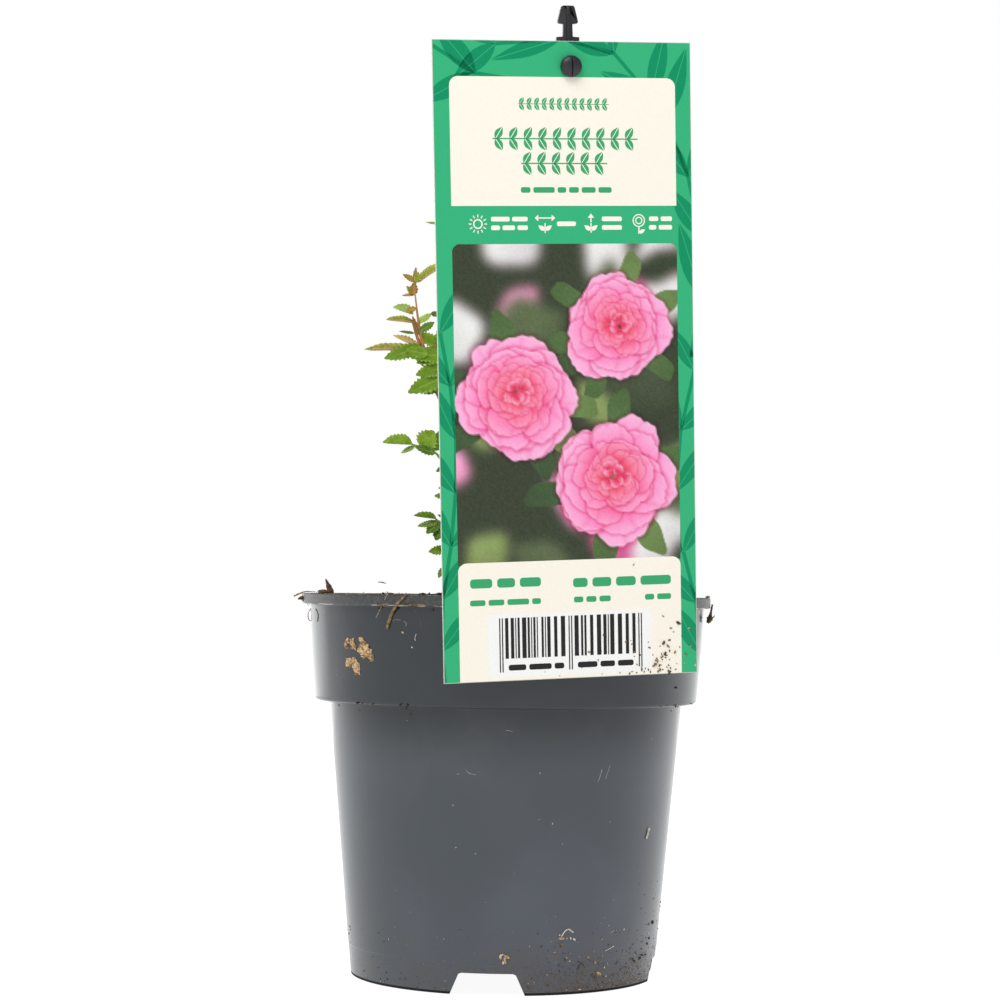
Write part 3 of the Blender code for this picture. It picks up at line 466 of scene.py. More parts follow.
# Canes: name, compass direction from the pot's axis in degrees (0 is +X, 90 is +Y), reach of the tip from
# the axis, height of the tip, and radius at the foot.
CANES = (
    ("left", 187.0, 25.0 * MM, 189.8 * MM, 1.9 * MM),
    ("back_left", 112.0, 22.0 * MM, 180.0 * MM, 1.7 * MM),
    ("back_right", 48.0, 24.0 * MM, 193.0 * MM, 1.9 * MM),
    ("right", 348.0, 25.0 * MM, 184.0 * MM, 1.8 * MM),
    ("front", 268.0, 20.0 * MM, 176.0 * MM, 1.6 * MM),
    ("middle", 20.0, 3.0 * MM, 206.0 * MM, 2.1 * MM),
)
CANE_FOOT_RING = 5.0 * MM  # the outer canes stand this far from the crown's middle
CANE_TAPER = 0.68  # tip radius over foot radius
CANE_STEPS = 9

# Masses of leaves on a side twig: name, its cane, how far up the cane it starts, turn from the cane's own
# direction in degrees, rise in degrees, length of the twig and number of leaves asked for.
SIDE_MASSES = (
    ("left_low", "left", 0.14, 20.0, 16.0, 13.0 * MM, 5),
    ("left_mid", "left", 0.50, 10.0, 14.0, 10.0 * MM, 4),
    ("back_left_low", "back_left", 0.20, 12.0, 52.0, 26.0 * MM, 9),
    ("back_right_low", "back_right", 0.18, 4.0, 52.0, 27.0 * MM, 9),
    ("right_low", "right", 0.20, 0.0, 52.0, 26.0 * MM, 9),
    ("front_low", "front", 0.22, 24.0, 52.0, 25.0 * MM, 8),
)
TWIG_RADIUS = 0.85 * MM
SIDE_HEART_DROP = 4.0 * MM  # the heart of a side mass's space lies this far below its twig

# Shoots: a cane's tip grows on into one. Cane, length of the shoot, number of leaves asked for, and the
# direction of its first leaf.
SHOOTS = (
    ("left", 0.0, 0, 0.0),
    ("back_left", 38.0 * MM, 9, 60.0),
    ("back_right", 40.0 * MM, 9, 20.0),
    ("right", 38.0 * MM, 9, 300.0),
    ("front", 36.0 * MM, 9, 230.0),
    ("middle", 44.0 * MM, 10, 90.0),
)
GOLDEN_TURN = 137.5

# The left shoot stands out past the card, so its own line is given: points from the pot's axis.
LEFT_SHOOT_LINE = (
    (-26.9 * MM, -3.5 * MM, 197.9 * MM),
    (-28.3 * MM, -4.0 * MM, 203.8 * MM),
    (-29.3 * MM, -4.5 * MM, 209.0 * MM),
    (-29.9 * MM, -5.0 * MM, 212.6 * MM),
    (-30.4 * MM, -5.0 * MM, 216.4 * MM),
    (-30.3 * MM, -5.0 * MM, 219.5 * MM),
    (-30.0 * MM, -5.0 * MM, 220.8 * MM),
)

# The leaves that stand clear of the card, one by one: place along the stem, where the leaf's tip is from
# the pot's axis in mm, the stalk's share of the leaf's length, pairs of side leaflets, youth (0 full grown,
# 1 just opened), and roll about the stalk in degrees.
GIVEN_LEAVES = {
    "shoot_left": (
        (0.10, (-32.3, -10.0, 183.6), 0.16, 0, 0.0, 10.0),
        (0.08, (-15.9, -13.0, 193.0), 0.42, 1, 0.0, 50.0),
        (0.17, (-47.0, -9.0, 199.0), 0.34, 0, 0.5, -24.0),
        (0.165, (-40.2, -14.5, 194.6), 0.20, 0, 0.0, -34.0),
        (0.175, (-38.8, 1.0, 203.6), 0.24, 0, 0.4, -30.0),
        (0.22, (-16.5, -8.0, 206.5), 0.34, 1, 0.0, 46.0),
        (0.28, (-36.4, 3.0, 205.4), 0.24, 0, 0.0, -34.0),
        (0.30, (-23.8, 4.0, 208.8), 0.20, 0, 0.0, 30.0),
        (0.385, (-40.6, -7.0, 208.6), 0.24, 0, 0.8, -24.0),
        (0.44, (-39.3, -2.0, 212.6), 0.20, 0, 0.2, -44.0),
        (0.41, (-34.4, -10.0, 209.2), 0.30, 0, 0.7, -44.0),
        (0.46, (-20.1, -8.0, 210.8), 0.42, 0, 0.4, 30.0),
        (0.71, (-35.2, -7.0, 215.0), 0.14, 0, 0.8, -40.0),
        (0.78, (-34.0, -4.0, 219.6), 0.14, 0, 0.8, -60.0),
        (0.94, (-35.2, -6.0, 222.8), 0.14, 0, 0.8, -40.0),
        (0.99, (-31.0, -3.5, 225.6), 0.14, 0, 1.0, 40.0),
        (0.97, (-21.4, -7.0, 227.0), 0.30, 0, 0.5, 60.0),
    ),
    "leaves_left_mid": (
        (0.80, (-41.0, -9.0, 168.9), 0.50, 2, 0.0, -38.0),
        (0.40, (-24.4, -8.0, 158.4), 0.50, 0, 0.0, -20.0),
    ),
    "leaves_left_low": (
        (0.97, (-31.0, -6.0, 146.0), 0.30, 0, 0.0, -30.0),
        (0.80, (-29.4, -13.0, 141.6), 0.34, 0, 0.0, -34.0),
        (0.58, (-23.0, -18.0, 137.0), 0.30, 0, 0.0, -20.0),
        (0.40, (-26.0, -8.0, 134.0), 0.45, 0, 0.0, -30.0),
        (0.20, (-22.4, -14.0, 127.6), 0.50, 1, 0.0, -20.0),
        (0.70, (-23.6, -6.0, 152.0), 0.50, 0, 0.0, -20.0),
    ),
    "shoot_middle": ((0.64, (-28.8, -4.0, 241.6), 0.60, 2, 0.0, -12.0),),
}

# A leaf: a stalk with one end leaflet and pairs of side leaflets.
STALK_LENGTH = 16.5 * MM
STALK_RADIUS = 0.5 * MM
STALK_STEPS = 3
STALK_DROOP = 26.0  # degrees that it bends down over its length
GIVEN_DROOP = 10.0
LEAFLET_LENGTH = 12.4 * MM
LEAFLET_SHARE = 0.54  # width over length
LEAFLET_FOLD = 0.09  # drop of the midrib below the edges, over the length
LEAFLET_THICKNESS = 0.028  # over the length
LEAFLET_ROOT = 0.12 * MM  # how far a side leaflet's root is sunk past the stalk's middle
END_LEAFLET_ROOT = 0.8 * MM  # how far the end leaflet's root is sunk along the stalk
SIDE_LEAFLET_TURN = 62.0
PAIR_SETBACKS = (0.32, 0.78)  # of the pairs behind the stalk's end, over the end leaflet's length
PAIR_SIZES = (0.86, 0.74)
LEAF_ROOM = 0.5 * MM  # leaves of one mass keep this clear of each other
LEAFLET_ROOM = 0.1 * MM  # and leaflets of one leaf this
TURNS_TO_TRY = (0.0, 18.0, -18.0, 36.0, -36.0, 54.0, -54.0, 72.0, -72.0)
SIZES_TO_TRY = (1.0, 0.84, 0.7)
LEAST_SHARE = 0.6  # a leaf is kept if this share of its leaflets fits
SPACE_MARGIN = 0.3 * MM
LIMB_MARGIN = 0.8 * MM
STEM_MARGIN = 0.3 * MM  # between a mass's leaflets and its own stem

# Outline of a leaflet: along and across, as shares of its length and width.
LEAFLET_OUTLINE = ((0.0, 0.0), (0.30, 0.5), (0.70, 0.40), (1.0, 0.0), (0.70, -0.40), (0.30, -0.5))
LEAFLET_HEART = 0.46


# %% Lines, directions and the plan of one leaf
def heading(azimuth, rise=0.0):
    a, e = math.radians(azimuth), math.radians(rise)
    return Vector((math.cos(a) * math.cos(e), math.sin(a) * math.cos(e), math.sin(e)))


def bent_line(start, middle, end, steps):
    """Points of the quadratic curve from start towards middle and on to end."""
    line = []
    for i in range(steps + 1):
        t = i / steps
        line.append(start * (1 - t) ** 2 + middle * (2 * t * (1 - t)) + end * t * t)
    return line


def cane_line(azimuth, reach, tip_height):
    """A cane leaves the crown upright and then leans out. One with a short reach stands in the middle."""
    ring = CANE_FOOT_RING if reach > CANE_FOOT_RING else 0.0
    foot = AXIS + heading(azimuth) * ring + Vector((0, 0, CROWN_TOP + GAP))
    tip = AXIS + heading(azimuth) * reach + Vector((0, 0, tip_height))
    middle = foot + heading(azimuth) * (reach - ring) * 0.3 + Vector((0, 0, (tip_height - CROWN_TOP) * 0.55))
    return bent_line(foot, middle, tip, CANE_STEPS)


def along(line, share):
    """(point, direction) at this share of a line of evenly numbered points."""
    place = min(max(share, 0.0), 0.9999) * (len(line) - 1)
    i = int(place)
    step = line[i + 1] - line[i]
    return line[i] + step * (place - i), step.normalized()


def taper(radius, end_share, count):
    return [radius * (1 + (end_share - 1) * i / (count - 1)) for i in range(count)]


def leaf_plan(root, azimuth, rise, stalk_length, end_length, pairs, youth, roll, droop, chance):
    """One pinnate leaf: its stalk's points, and its leaflets as (root, ahead, up, length, width)."""
    stalk = [root]
    for i in range(STALK_STEPS):
        bent = rise - droop * i / (STALK_STEPS - 1)
        stalk.append(stalk[-1] + heading(azimuth, bent) * (stalk_length / STALK_STEPS))
    share = LEAFLET_SHARE * (1 - 0.22 * youth)
    wanted = [(1.0, 0.0, 1.0, END_LEAFLET_ROOT)]
    for setback, size in list(zip(PAIR_SETBACKS, PAIR_SIZES))[:pairs]:
        place = 1.0 - setback * end_length / stalk_length
        if place > 0.2:
            for turn in (SIDE_LEAFLET_TURN, -SIDE_LEAFLET_TURN):
                wanted.append((place, turn, size, LEAFLET_ROOT))
    leaflets = []
    for place, turn, size, sunk in wanted:
        point, ahead = along(stalk, place)
        across = ahead.cross(Vector((0, 0, 1))).normalized()
        up = (Matrix.Rotation(math.radians(roll), 3, ahead) @ across.cross(ahead)).normalized()
        forward = Matrix.Rotation(math.radians(turn + chance.uniform(-7, 7)), 3, up) @ ahead
        side = up.cross(forward)
        bow = math.radians(chance.uniform(-4, 20) if droop > GIVEN_DROOP else chance.uniform(0, 10))
        forward = (Matrix.Rotation(bow, 3, side) @ forward).normalized()
        up = forward.cross(side).normalized()
        leaflets.append((point - forward * sunk, forward, up, end_length * size, end_length * size * share))
    return stalk, leaflets


# %% Skins and sample points, to find out what touches what
def leaflet_points(leaflet, thicker=0.0):
    """The outline's points, then the points above and below the leaflet's heart."""
    root, ahead, up, length, width = leaflet
    side = up.cross(ahead)
    points = [root + ahead * (a * length) + side * (b * width) for a, b in LEAFLET_OUTLINE]
    heart = root + ahead * (LEAFLET_HEART * length) - up * (LEAFLET_FOLD * length)
    half = up * ((LEAFLET_THICKNESS * length + thicker) / 2)
    return points, heart + half, heart - half


def leaflet_skin(leaflet, room=LEAF_ROOM):
    """The leaflet as a search tree of triangles, thicker by the room that it keeps."""
    points, above, below = leaflet_points(leaflet, room * 2)
    count = len(points)
    faces = [(i, (i + 1) % count, count) for i in range(count)]
    faces += [(i, (i + 1) % count, count + 1) for i in range(count)]
    return BVHTree.FromPolygons(points + [above, below], faces)


def stalk_skin(stalk):
    """The outer part of a stalk as a search tree: two crossed ribbons along it."""
    points, faces = [], []
    for place in stalk[1:]:
        for reach in (Vector((0, 0, 1)), Vector((1, 0, 0)), Vector((0, 1, 0))):
            points += [place - reach * (STALK_RADIUS + LEAF_ROOM), place + reach * (STALK_RADIUS + LEAF_ROOM)]
    for i in range(len(stalk) - 2):
        for j in (0, 2, 4):
            k = i * 6 + j
            faces.append((k, k + 1, k + 7, k + 6))
    return BVHTree.FromPolygons(points, faces)


def leaflet_samples(leaflet):
    """Points spread over the leaflet, close enough together that no cane passes between them."""
    points, heart, _ = leaflet_points(leaflet)
    spread = list(points) + [heart]
    for point, following in zip(points, points[1:] + points[:1]):
        spread += [heart.lerp(point, 0.33), heart.lerp(point, 0.67), point.lerp(following, 0.5)]
        spread.append(heart.lerp(point.lerp(following, 0.5), 0.6))
    return spread


def line_samples(line):
    return [a.lerp(b, share) for a, b in zip(line, line[1:]) for share in (0.0, 0.33, 0.67, 1.0)]


# %% The plan of canes and masses
def side_start(line, radii, share, ahead, own_radius):
    """Where a side twig starts so that its flat foot clears the limb's side by GAP."""
    point, axis = along(line, share)
    radius = radii[0] + (radii[-1] - radii[0]) * share
    cosine = abs(ahead.dot(axis))
    sine = math.sqrt(max(1 - cosine * cosine, 0.05))
    return point + ahead * ((radius + GAP + own_radius * cosine) / sine)


def plan_canes():
    canes = {}
    for name, azimuth, reach, tip_height, radius in CANES:
        line = cane_line(azimuth, reach, tip_height)
        canes[name] = (line, taper(radius, CANE_TAPER, len(line)), azimuth)
    return canes


def plan_masses(canes):
    """Every mass as a stem, the heart of its space, and how many leaves it asks for."""
    masses = {}
    for name, cane, share, turn, rise, length, count in SIDE_MASSES:
        line, radii, azimuth = canes[cane]
        ahead = heading(azimuth + turn, rise)
        start = side_start(line, radii, share, ahead, TWIG_RADIUS)
        stem = bent_line(start, start + ahead * length * 0.5, start + ahead * length + Vector((0, 0, 1.5 * MM)), 4)
        masses["leaves_" + name] = {
            "stem": stem,
            "radii": taper(TWIG_RADIUS, 0.6, len(stem)),
            "heart": along(stem, 0.6)[0] - Vector((0, 0, SIDE_HEART_DROP)),
            "azimuth": azimuth + turn,
            "leaves": count,
            "shoot": False,
        }
    for cane, length, count, first in SHOOTS:
        line, radii, azimuth = canes[cane]
        ahead = along(line, 1.0)[1]
        start = line[-1] + ahead * GAP
        if length:
            end = start + ahead * length * 0.45 + Vector((0, 0, length * 0.55))
            stem = bent_line(start, start + ahead * length * 0.45, end, 6)
        else:
            stem = [start] + [AXIS + Vector(point) for point in LEFT_SHOOT_LINE]
        masses["shoot_" + cane] = {
            "stem": stem,
            "radii": taper(radii[-1], 0.4, len(stem)),
            "heart": along(stem, 0.5 if length else 0.3)[0],
            "azimuth": first,
            "leaves": count,
            "shoot": True,
        }
    return masses


# %% Which leaves fit in a mass's own space
def keeps_to_space(points, name, hearts, left_bound):
    """True if all points lie inside the crown and nearer to the mass's own heart than to any other's."""
    for point in points:
        level = point - AXIS
        if math.hypot(level.x, level.y) > LEAF_REACH or not LEAF_FLOOR < level.z < LEAF_CEILING:
            return False
        if level.x < left_bound:
            return False
        mine = (point - hearts[name]).length_squared
        for other, heart in hearts.items():
            if other != name:
                room = (point - heart).length_squared - mine
                if room < 2 * (heart - hearts[name]).length * SPACE_MARGIN:
                    return False
    return True


def clears_limbs(points, limbs, margin):
    """True if no point comes within the margin of a limb, given as a line and its radii."""
    for line, radii in limbs:
        for a, b, ra, rb in zip(line, line[1:], radii, radii[1:]):
            step = b - a
            for point in points:
                t = min(max((point - a).dot(step) / step.length_squared, 0.0), 1.0)
                if (point - a - step * t).length - (ra + (rb - ra) * t) < margin:
                    return False
    return True


def crosses(skin, skins):
    return any(skin.overlap(other) for other in skins)


def trimmed(leaf, stem, name, hearts, limbs, skins, left_bound):
    """The leaf without the leaflets that leave its mass's space or touch a limb or another leaf, or None."""
    stalk, leaflets = leaf
    stalk_points = line_samples(stalk)
    if not keeps_to_space(stalk_points, name, hearts, left_bound):
        return None
    if not clears_limbs(stalk_points, limbs, LIMB_MARGIN):
        return None
    if crosses(stalk_skin(stalk), skins):
        return None
    kept = []
    for leaflet in leaflets:
        points, above, below = leaflet_points(leaflet)
        inside = keeps_to_space(points + [above, below], name, hearts, left_bound)
        if not inside or not clears_limbs(leaflet_samples(leaflet), limbs, LIMB_MARGIN):
            continue
        if not clears_limbs(points[1:] + [above, below], [stem], STEM_MARGIN):
            continue
        own = [leaflet_skin(other, LEAFLET_ROOM) for other in kept if (other[0] - leaflet[0]).length > 1 * MM]
        if not crosses(leaflet_skin(leaflet, LEAFLET_ROOM), own) and not crosses(leaflet_skin(leaflet), skins):
            kept.append(leaflet)
    if not kept or kept[0] is not leaflets[0] or len(kept) < LEAST_SHARE * len(leaflets):
        return None
    return stalk, kept


def given_leaf(stem, share, tip, stalk_share, pairs, youth, roll):
    """A leaf whose tip is told: direction and lengths follow from where its root is."""
    reach = AXIS + Vector(tip) * MM - along(stem, share)[0]
    azimuth = math.degrees(math.atan2(reach.y, reach.x))
    rise = math.degrees(math.asin(reach.z / reach.length)) + GIVEN_DROOP * 0.7
    lengths = (reach.length * stalk_share, reach.length * (1 - stalk_share))
    return (share, azimuth, rise, *lengths, pairs, youth, roll, GIVEN_DROOP)


def wanted_leaves(name, mass, chance):
    """What the mass asks for: (share, direction, rise, stalk, end leaflet, pairs, youth, roll, droop)."""
    wanted = [given_leaf(mass["stem"], *leaf) for leaf in GIVEN_LEAVES.get(name, ())]
    count = mass["leaves"]
    for i in range(count):
        share = 0.12 + 0.85 * i / (count - 1)
        youth = max(0.0, (share - 0.4) / 0.6) if mass["shoot"] else 0.0
        azimuth = mass["azimuth"] + GOLDEN_TURN * i + chance.uniform(-10, 10)
        rise = 14 + 44 * youth + chance.uniform(-14, 10)
        size = (1.0 - 0.4 * youth) * chance.uniform(0.9, 1.08)
        pairs = 1 if youth > 0.8 else 2
        lengths = (STALK_LENGTH * size, LEAFLET_LENGTH * size)
        wanted.append((share, azimuth, rise, *lengths, pairs, youth, chance.uniform(-20, 20), STALK_DROOP))
    return wanted


def best_leaf(wanted, mass, name, hearts, limbs, skins, chance):
    """The fullest leaf near what is wanted: it is turned aside or made smaller until its leaflets fit."""
    share, azimuth, rise, stalk_length, end_length, pairs, youth, roll, droop = wanted
    stem = (mass["stem"], mass["radii"])
    root = along(mass["stem"], share)[0]
    state = chance.getstate()
    left_bound = LEFT_BOUND if droop > GIVEN_DROOP else -LEAF_REACH
    best = None
    for size in SIZES_TO_TRY:
        for turn in TURNS_TO_TRY:
            chance.setstate(state)
            lengths = (stalk_length * size, end_length * size)
            plan = leaf_plan(root, azimuth + turn, rise, *lengths, pairs, youth, roll, droop, chance)
            leaf = trimmed(plan, stem, name, hearts, limbs, skins, left_bound)
            if leaf and (best is None or len(leaf[1]) > len(best[1])):
                best = (*leaf, youth)
            if best and len(best[1]) == len(plan[1]):
                return best
    return best


# %% Grow the bush
def grow():
    """The canes, and each mass with the leaves that fit in its space."""
    canes = plan_canes()
    masses = plan_masses(canes)
    hearts = {name: mass["heart"] for name, mass in masses.items()}
    limbs = [(line, radii) for line, radii, _ in canes.values()]
    for name, mass in masses.items():
        chance = random.Random("rose " + name)
        mass["grown"] = []
        skins = []
        for wanted in wanted_leaves(name, mass, chance):
            leaf = best_leaf(wanted, mass, name, hearts, limbs, skins, chance)
            if leaf:
                mass["grown"].append(leaf)
                skins += [leaflet_skin(leaflet) for leaflet in leaf[1]] + [stalk_skin(leaf[0])]
    return canes, masses


canes, masses = grow()
leaf_count = sum(len(mass["grown"]) for mass in masses.values())
print(len(canes), "canes and", leaf_count, "leaves in", len(masses), "masses")

# %% [markdown]
# ## The pot
# The pot is injection-moulded plastic: a thin tapered body, a wide stacking collar and a lip. It could be cut
# from blocks, but it was made by turning, so one profile turned about the axis gives it in one piece. Every
# corner of the profile is rounded a little, because a moulded edge is never knife sharp, and rings beside
# each corner keep the smooth shading flat in between.


# %% A profile with rounded corners
def rounded(profile, spacing=5.0 * MM):
    """Rounds each (radius, height, rounding) corner, and adds rings so that long walls shade evenly."""
    corners = [(Vector((r, z)), rounding) for r, z, rounding in profile]
    line = [corners[0][0]]
    for (before, _), (corner, rounding), (after, _) in zip(corners, corners[1:], corners[2:]):
        start = corner + (before - corner).normalized() * rounding
        end = corner + (after - corner).normalized() * rounding
        for i in range(4):
            t = i / 3
            line.append(start * (1 - t) ** 2 + corner * (2 * t * (1 - t)) + end * t * t)
    line.append(corners[-1][0])
    dense = [line[0]]
    for a, b in zip(line, line[1:]):
        length = (b - a).length
        if length > 1.2 * MM:
            near = 0.3 * MM / length
            dense.append(a.lerp(b, near))
            parts = max(1, round(length / spacing))
            dense += [a.lerp(b, near + (1 - 2 * near) * i / parts) for i in range(1, parts)]
            dense.append(a.lerp(b, 1 - near))
        dense.append(b)
    return [(p.x, p.y) for p in dense]


BODY_SLOPE = (BODY_TOP_RADIUS - BASE_RADIUS) / SHOULDER_HEIGHT
FLOOR_TOP = FLOOR_HEIGHT + WALL
LIP_FOOT = POT_HEIGHT - LIP_HEIGHT
SEAM_HEIGHT = 9.6 * MM  # where the mould's base ring met its wall
SEAM_STEP = 0.12 * MM


def pot_radius(height):
    """Outer radius of the pot at this height."""
    if height > LIP_FOOT:
        return RIM_RADIUS
    if height > SHOULDER_HEIGHT:
        share = (height - SHOULDER_HEIGHT) / (LIP_FOOT - SHOULDER_HEIGHT)
        return COLLAR_FOOT_RADIUS + (COLLAR_TOP_RADIUS - COLLAR_FOOT_RADIUS) * share
    return BASE_RADIUS + BODY_SLOPE * height


def on_pot(turn, height, lift=0.0):
    """The point on the pot's outside in this direction and at this height, and its outward direction."""
    outward = heading(turn)
    return AXIS + outward * (pot_radius(height) + lift) + Vector((0, 0, height)), outward


# %% The pot's mesh
POT_SIDES = 168
seam_radius = BASE_RADIUS + BODY_SLOPE * SEAM_HEIGHT
pot_profile = rounded(
    [
        (0.0, FLOOR_TOP, 0.0),
        (BASE_RADIUS + BODY_SLOPE * FLOOR_TOP - WALL, FLOOR_TOP, 0.8 * MM),
        (BODY_TOP_RADIUS - WALL, SHOULDER_HEIGHT + 0.6 * MM, 0.5 * MM),
        (COLLAR_FOOT_RADIUS - WALL, SHOULDER_HEIGHT + WALL + 0.4 * MM, 0.7 * MM),
        (COLLAR_TOP_RADIUS - WALL, POT_HEIGHT + 0.6 * MM, 0.4 * MM),
        (RIM_RADIUS, POT_HEIGHT + 0.6 * MM, 0.5 * MM),
        (RIM_RADIUS, LIP_FOOT, 0.45 * MM),
        (COLLAR_TOP_RADIUS, LIP_FOOT, 0.3 * MM),
        (COLLAR_FOOT_RADIUS, SHOULDER_HEIGHT, 1.1 * MM),
        (BODY_TOP_RADIUS + 0.1 * MM, SHOULDER_HEIGHT, 0.5 * MM),
        (seam_radius, SEAM_HEIGHT + 0.25 * MM, 0.08 * MM),
        (seam_radius - SEAM_STEP, SEAM_HEIGHT, 0.08 * MM),
        (BASE_RADIUS - 0.05 * MM, 0.0, 0.35 * MM),
        (BASE_RADIUS - WALL - 0.2 * MM, 0.0, 0.3 * MM),
        (BASE_RADIUS + BODY_SLOPE * FLOOR_HEIGHT - WALL - 0.4 * MM, FLOOR_HEIGHT, 0.5 * MM),
        (0.0, FLOOR_HEIGHT, 0.0),
    ]
)


def bare_object(name, shape):
    """A mesh object that is no piece yet, such as a cutter."""
    mesh = bpy.data.meshes.new(name)
    mesh.from_pydata([tuple(p) for p in shape[0]], [], shape[1])
    made = bpy.data.objects.new(name, mesh)
    bpy.context.scene.collection.objects.link(made)
    return made


def prism(outline, depth, place):
    """A closed block: an outline in X and Z, this deep along Y, set in place by a matrix."""
    points = [place @ Vector((x, y, z)) for y in (-depth / 2, depth / 2) for x, z in outline]
    return points, closed_rings(2, len(outline))


def outward_faces(made):
    """Turns a closed mesh's faces to point out of it."""
    builder = bmesh.new()
    builder.from_mesh(made.data)
    bmesh.ops.recalc_face_normals(builder, faces=builder.faces)
    if builder.calc_volume(signed=True) < 0:
        bmesh.ops.reverse_faces(builder, faces=builder.faces)
    builder.to_mesh(made.data)
    builder.free()


def carve(made, cutters, operation="DIFFERENCE"):
    """Cuts the cutters out of an object one by one, or joins them to it, and removes them."""
    for cutter in cutters:
        outward_faces(cutter)
        cut = made.modifiers.new("cut", "BOOLEAN")
        cut.operation = operation
        cut.solver = "EXACT"
        cut.object = cutter
    graph = bpy.context.evaluated_depsgraph_get()
    mesh = bpy.data.meshes.new_from_object(made.evaluated_get(graph))
    made.modifiers.clear()
    made.data = mesh
    for cutter in cutters:
        bpy.data.objects.remove(cutter)


def make_pot(finish):
    pot = bare_object("grower_pot", revolved(pot_profile, POT_SIDES))
    cutters = []
    below = 1.0 * MM
    spread = (NOTCH_FOOT_WIDTH - NOTCH_TOP_WIDTH) / 2 * (below / NOTCH_HEIGHT)
    foot, top = NOTCH_FOOT_WIDTH / 2 + spread, NOTCH_TOP_WIDTH / 2
    soft = 0.9 * MM  # rounding of the notch's upper corners
    outline = [
        (-foot, -below),
        (foot, -below),
        (top + 0.3 * MM, NOTCH_HEIGHT - soft),
        (top, NOTCH_HEIGHT - 0.35 * MM),
        (top - soft, NOTCH_HEIGHT),
        (-top + soft, NOTCH_HEIGHT),
        (-top, NOTCH_HEIGHT - 0.35 * MM),
        (-top - 0.3 * MM, NOTCH_HEIGHT - soft),
    ]
    for number in range(NOTCH_COUNT):
        turn = Matrix.Rotation(math.radians(NOTCH_TURN + 360 / NOTCH_COUNT * number), 4, "Z")
        across = Matrix.Translation(AXIS) @ turn
        reach = Matrix.Translation((BASE_RADIUS - 1 * MM, 0, 0)) @ Matrix.Rotation(math.radians(90), 4, "Z")
        cutters.append(bare_object(f"notch_{number}", prism(outline, 12 * MM, across @ reach)))
        low, high = FLOOR_HEIGHT - 2 * MM, FLOOR_TOP + 2 * MM
        middle = across @ Vector((DRAIN_RING, 0, 0))
        hole = revolved([(0, high), (DRAIN_RADIUS, high), (DRAIN_RADIUS, low), (0, low)], 32, middle)
        cutters.append(bare_object(f"drain_{number}", hole))
    carve(pot, cutters)
    pot.data.materials.clear()
    pot.data.materials.append(finish)
    pot.data.polygons.foreach_set("use_smooth", [True] * len(pot.data.polygons))
    pot.data.set_sharp_from_angle(angle=math.radians(32))
    return dress(pot, ["pot"])


# %% [markdown]
# ## Grey plastic that has been handled and watered
# Fresh, this plastic is an even blue grey with a satin gloss. In use it gathers pale specks, hair-fine
# scratches and a brown splash zone near its foot, where watering throws up dirt. Each of these is one term:
# a pattern, cut off between two values, which then mixes a colour in and makes the surface rougher.

# %% Pot finish
PLASTIC_DARK = (0.050, 0.061, 0.071, 1.0)
PLASTIC_LIGHT = (0.066, 0.076, 0.096, 1.0)
# the colour of the painted shade on the wall under the shoulder and on the collar
PLASTIC_PAINTED_SHADE = (0.016, 0.021, 0.026, 1.0)
DUST = (0.42, 0.41, 0.38, 1.0)
SPLASH_BROWN = (0.085, 0.052, 0.028, 1.0)


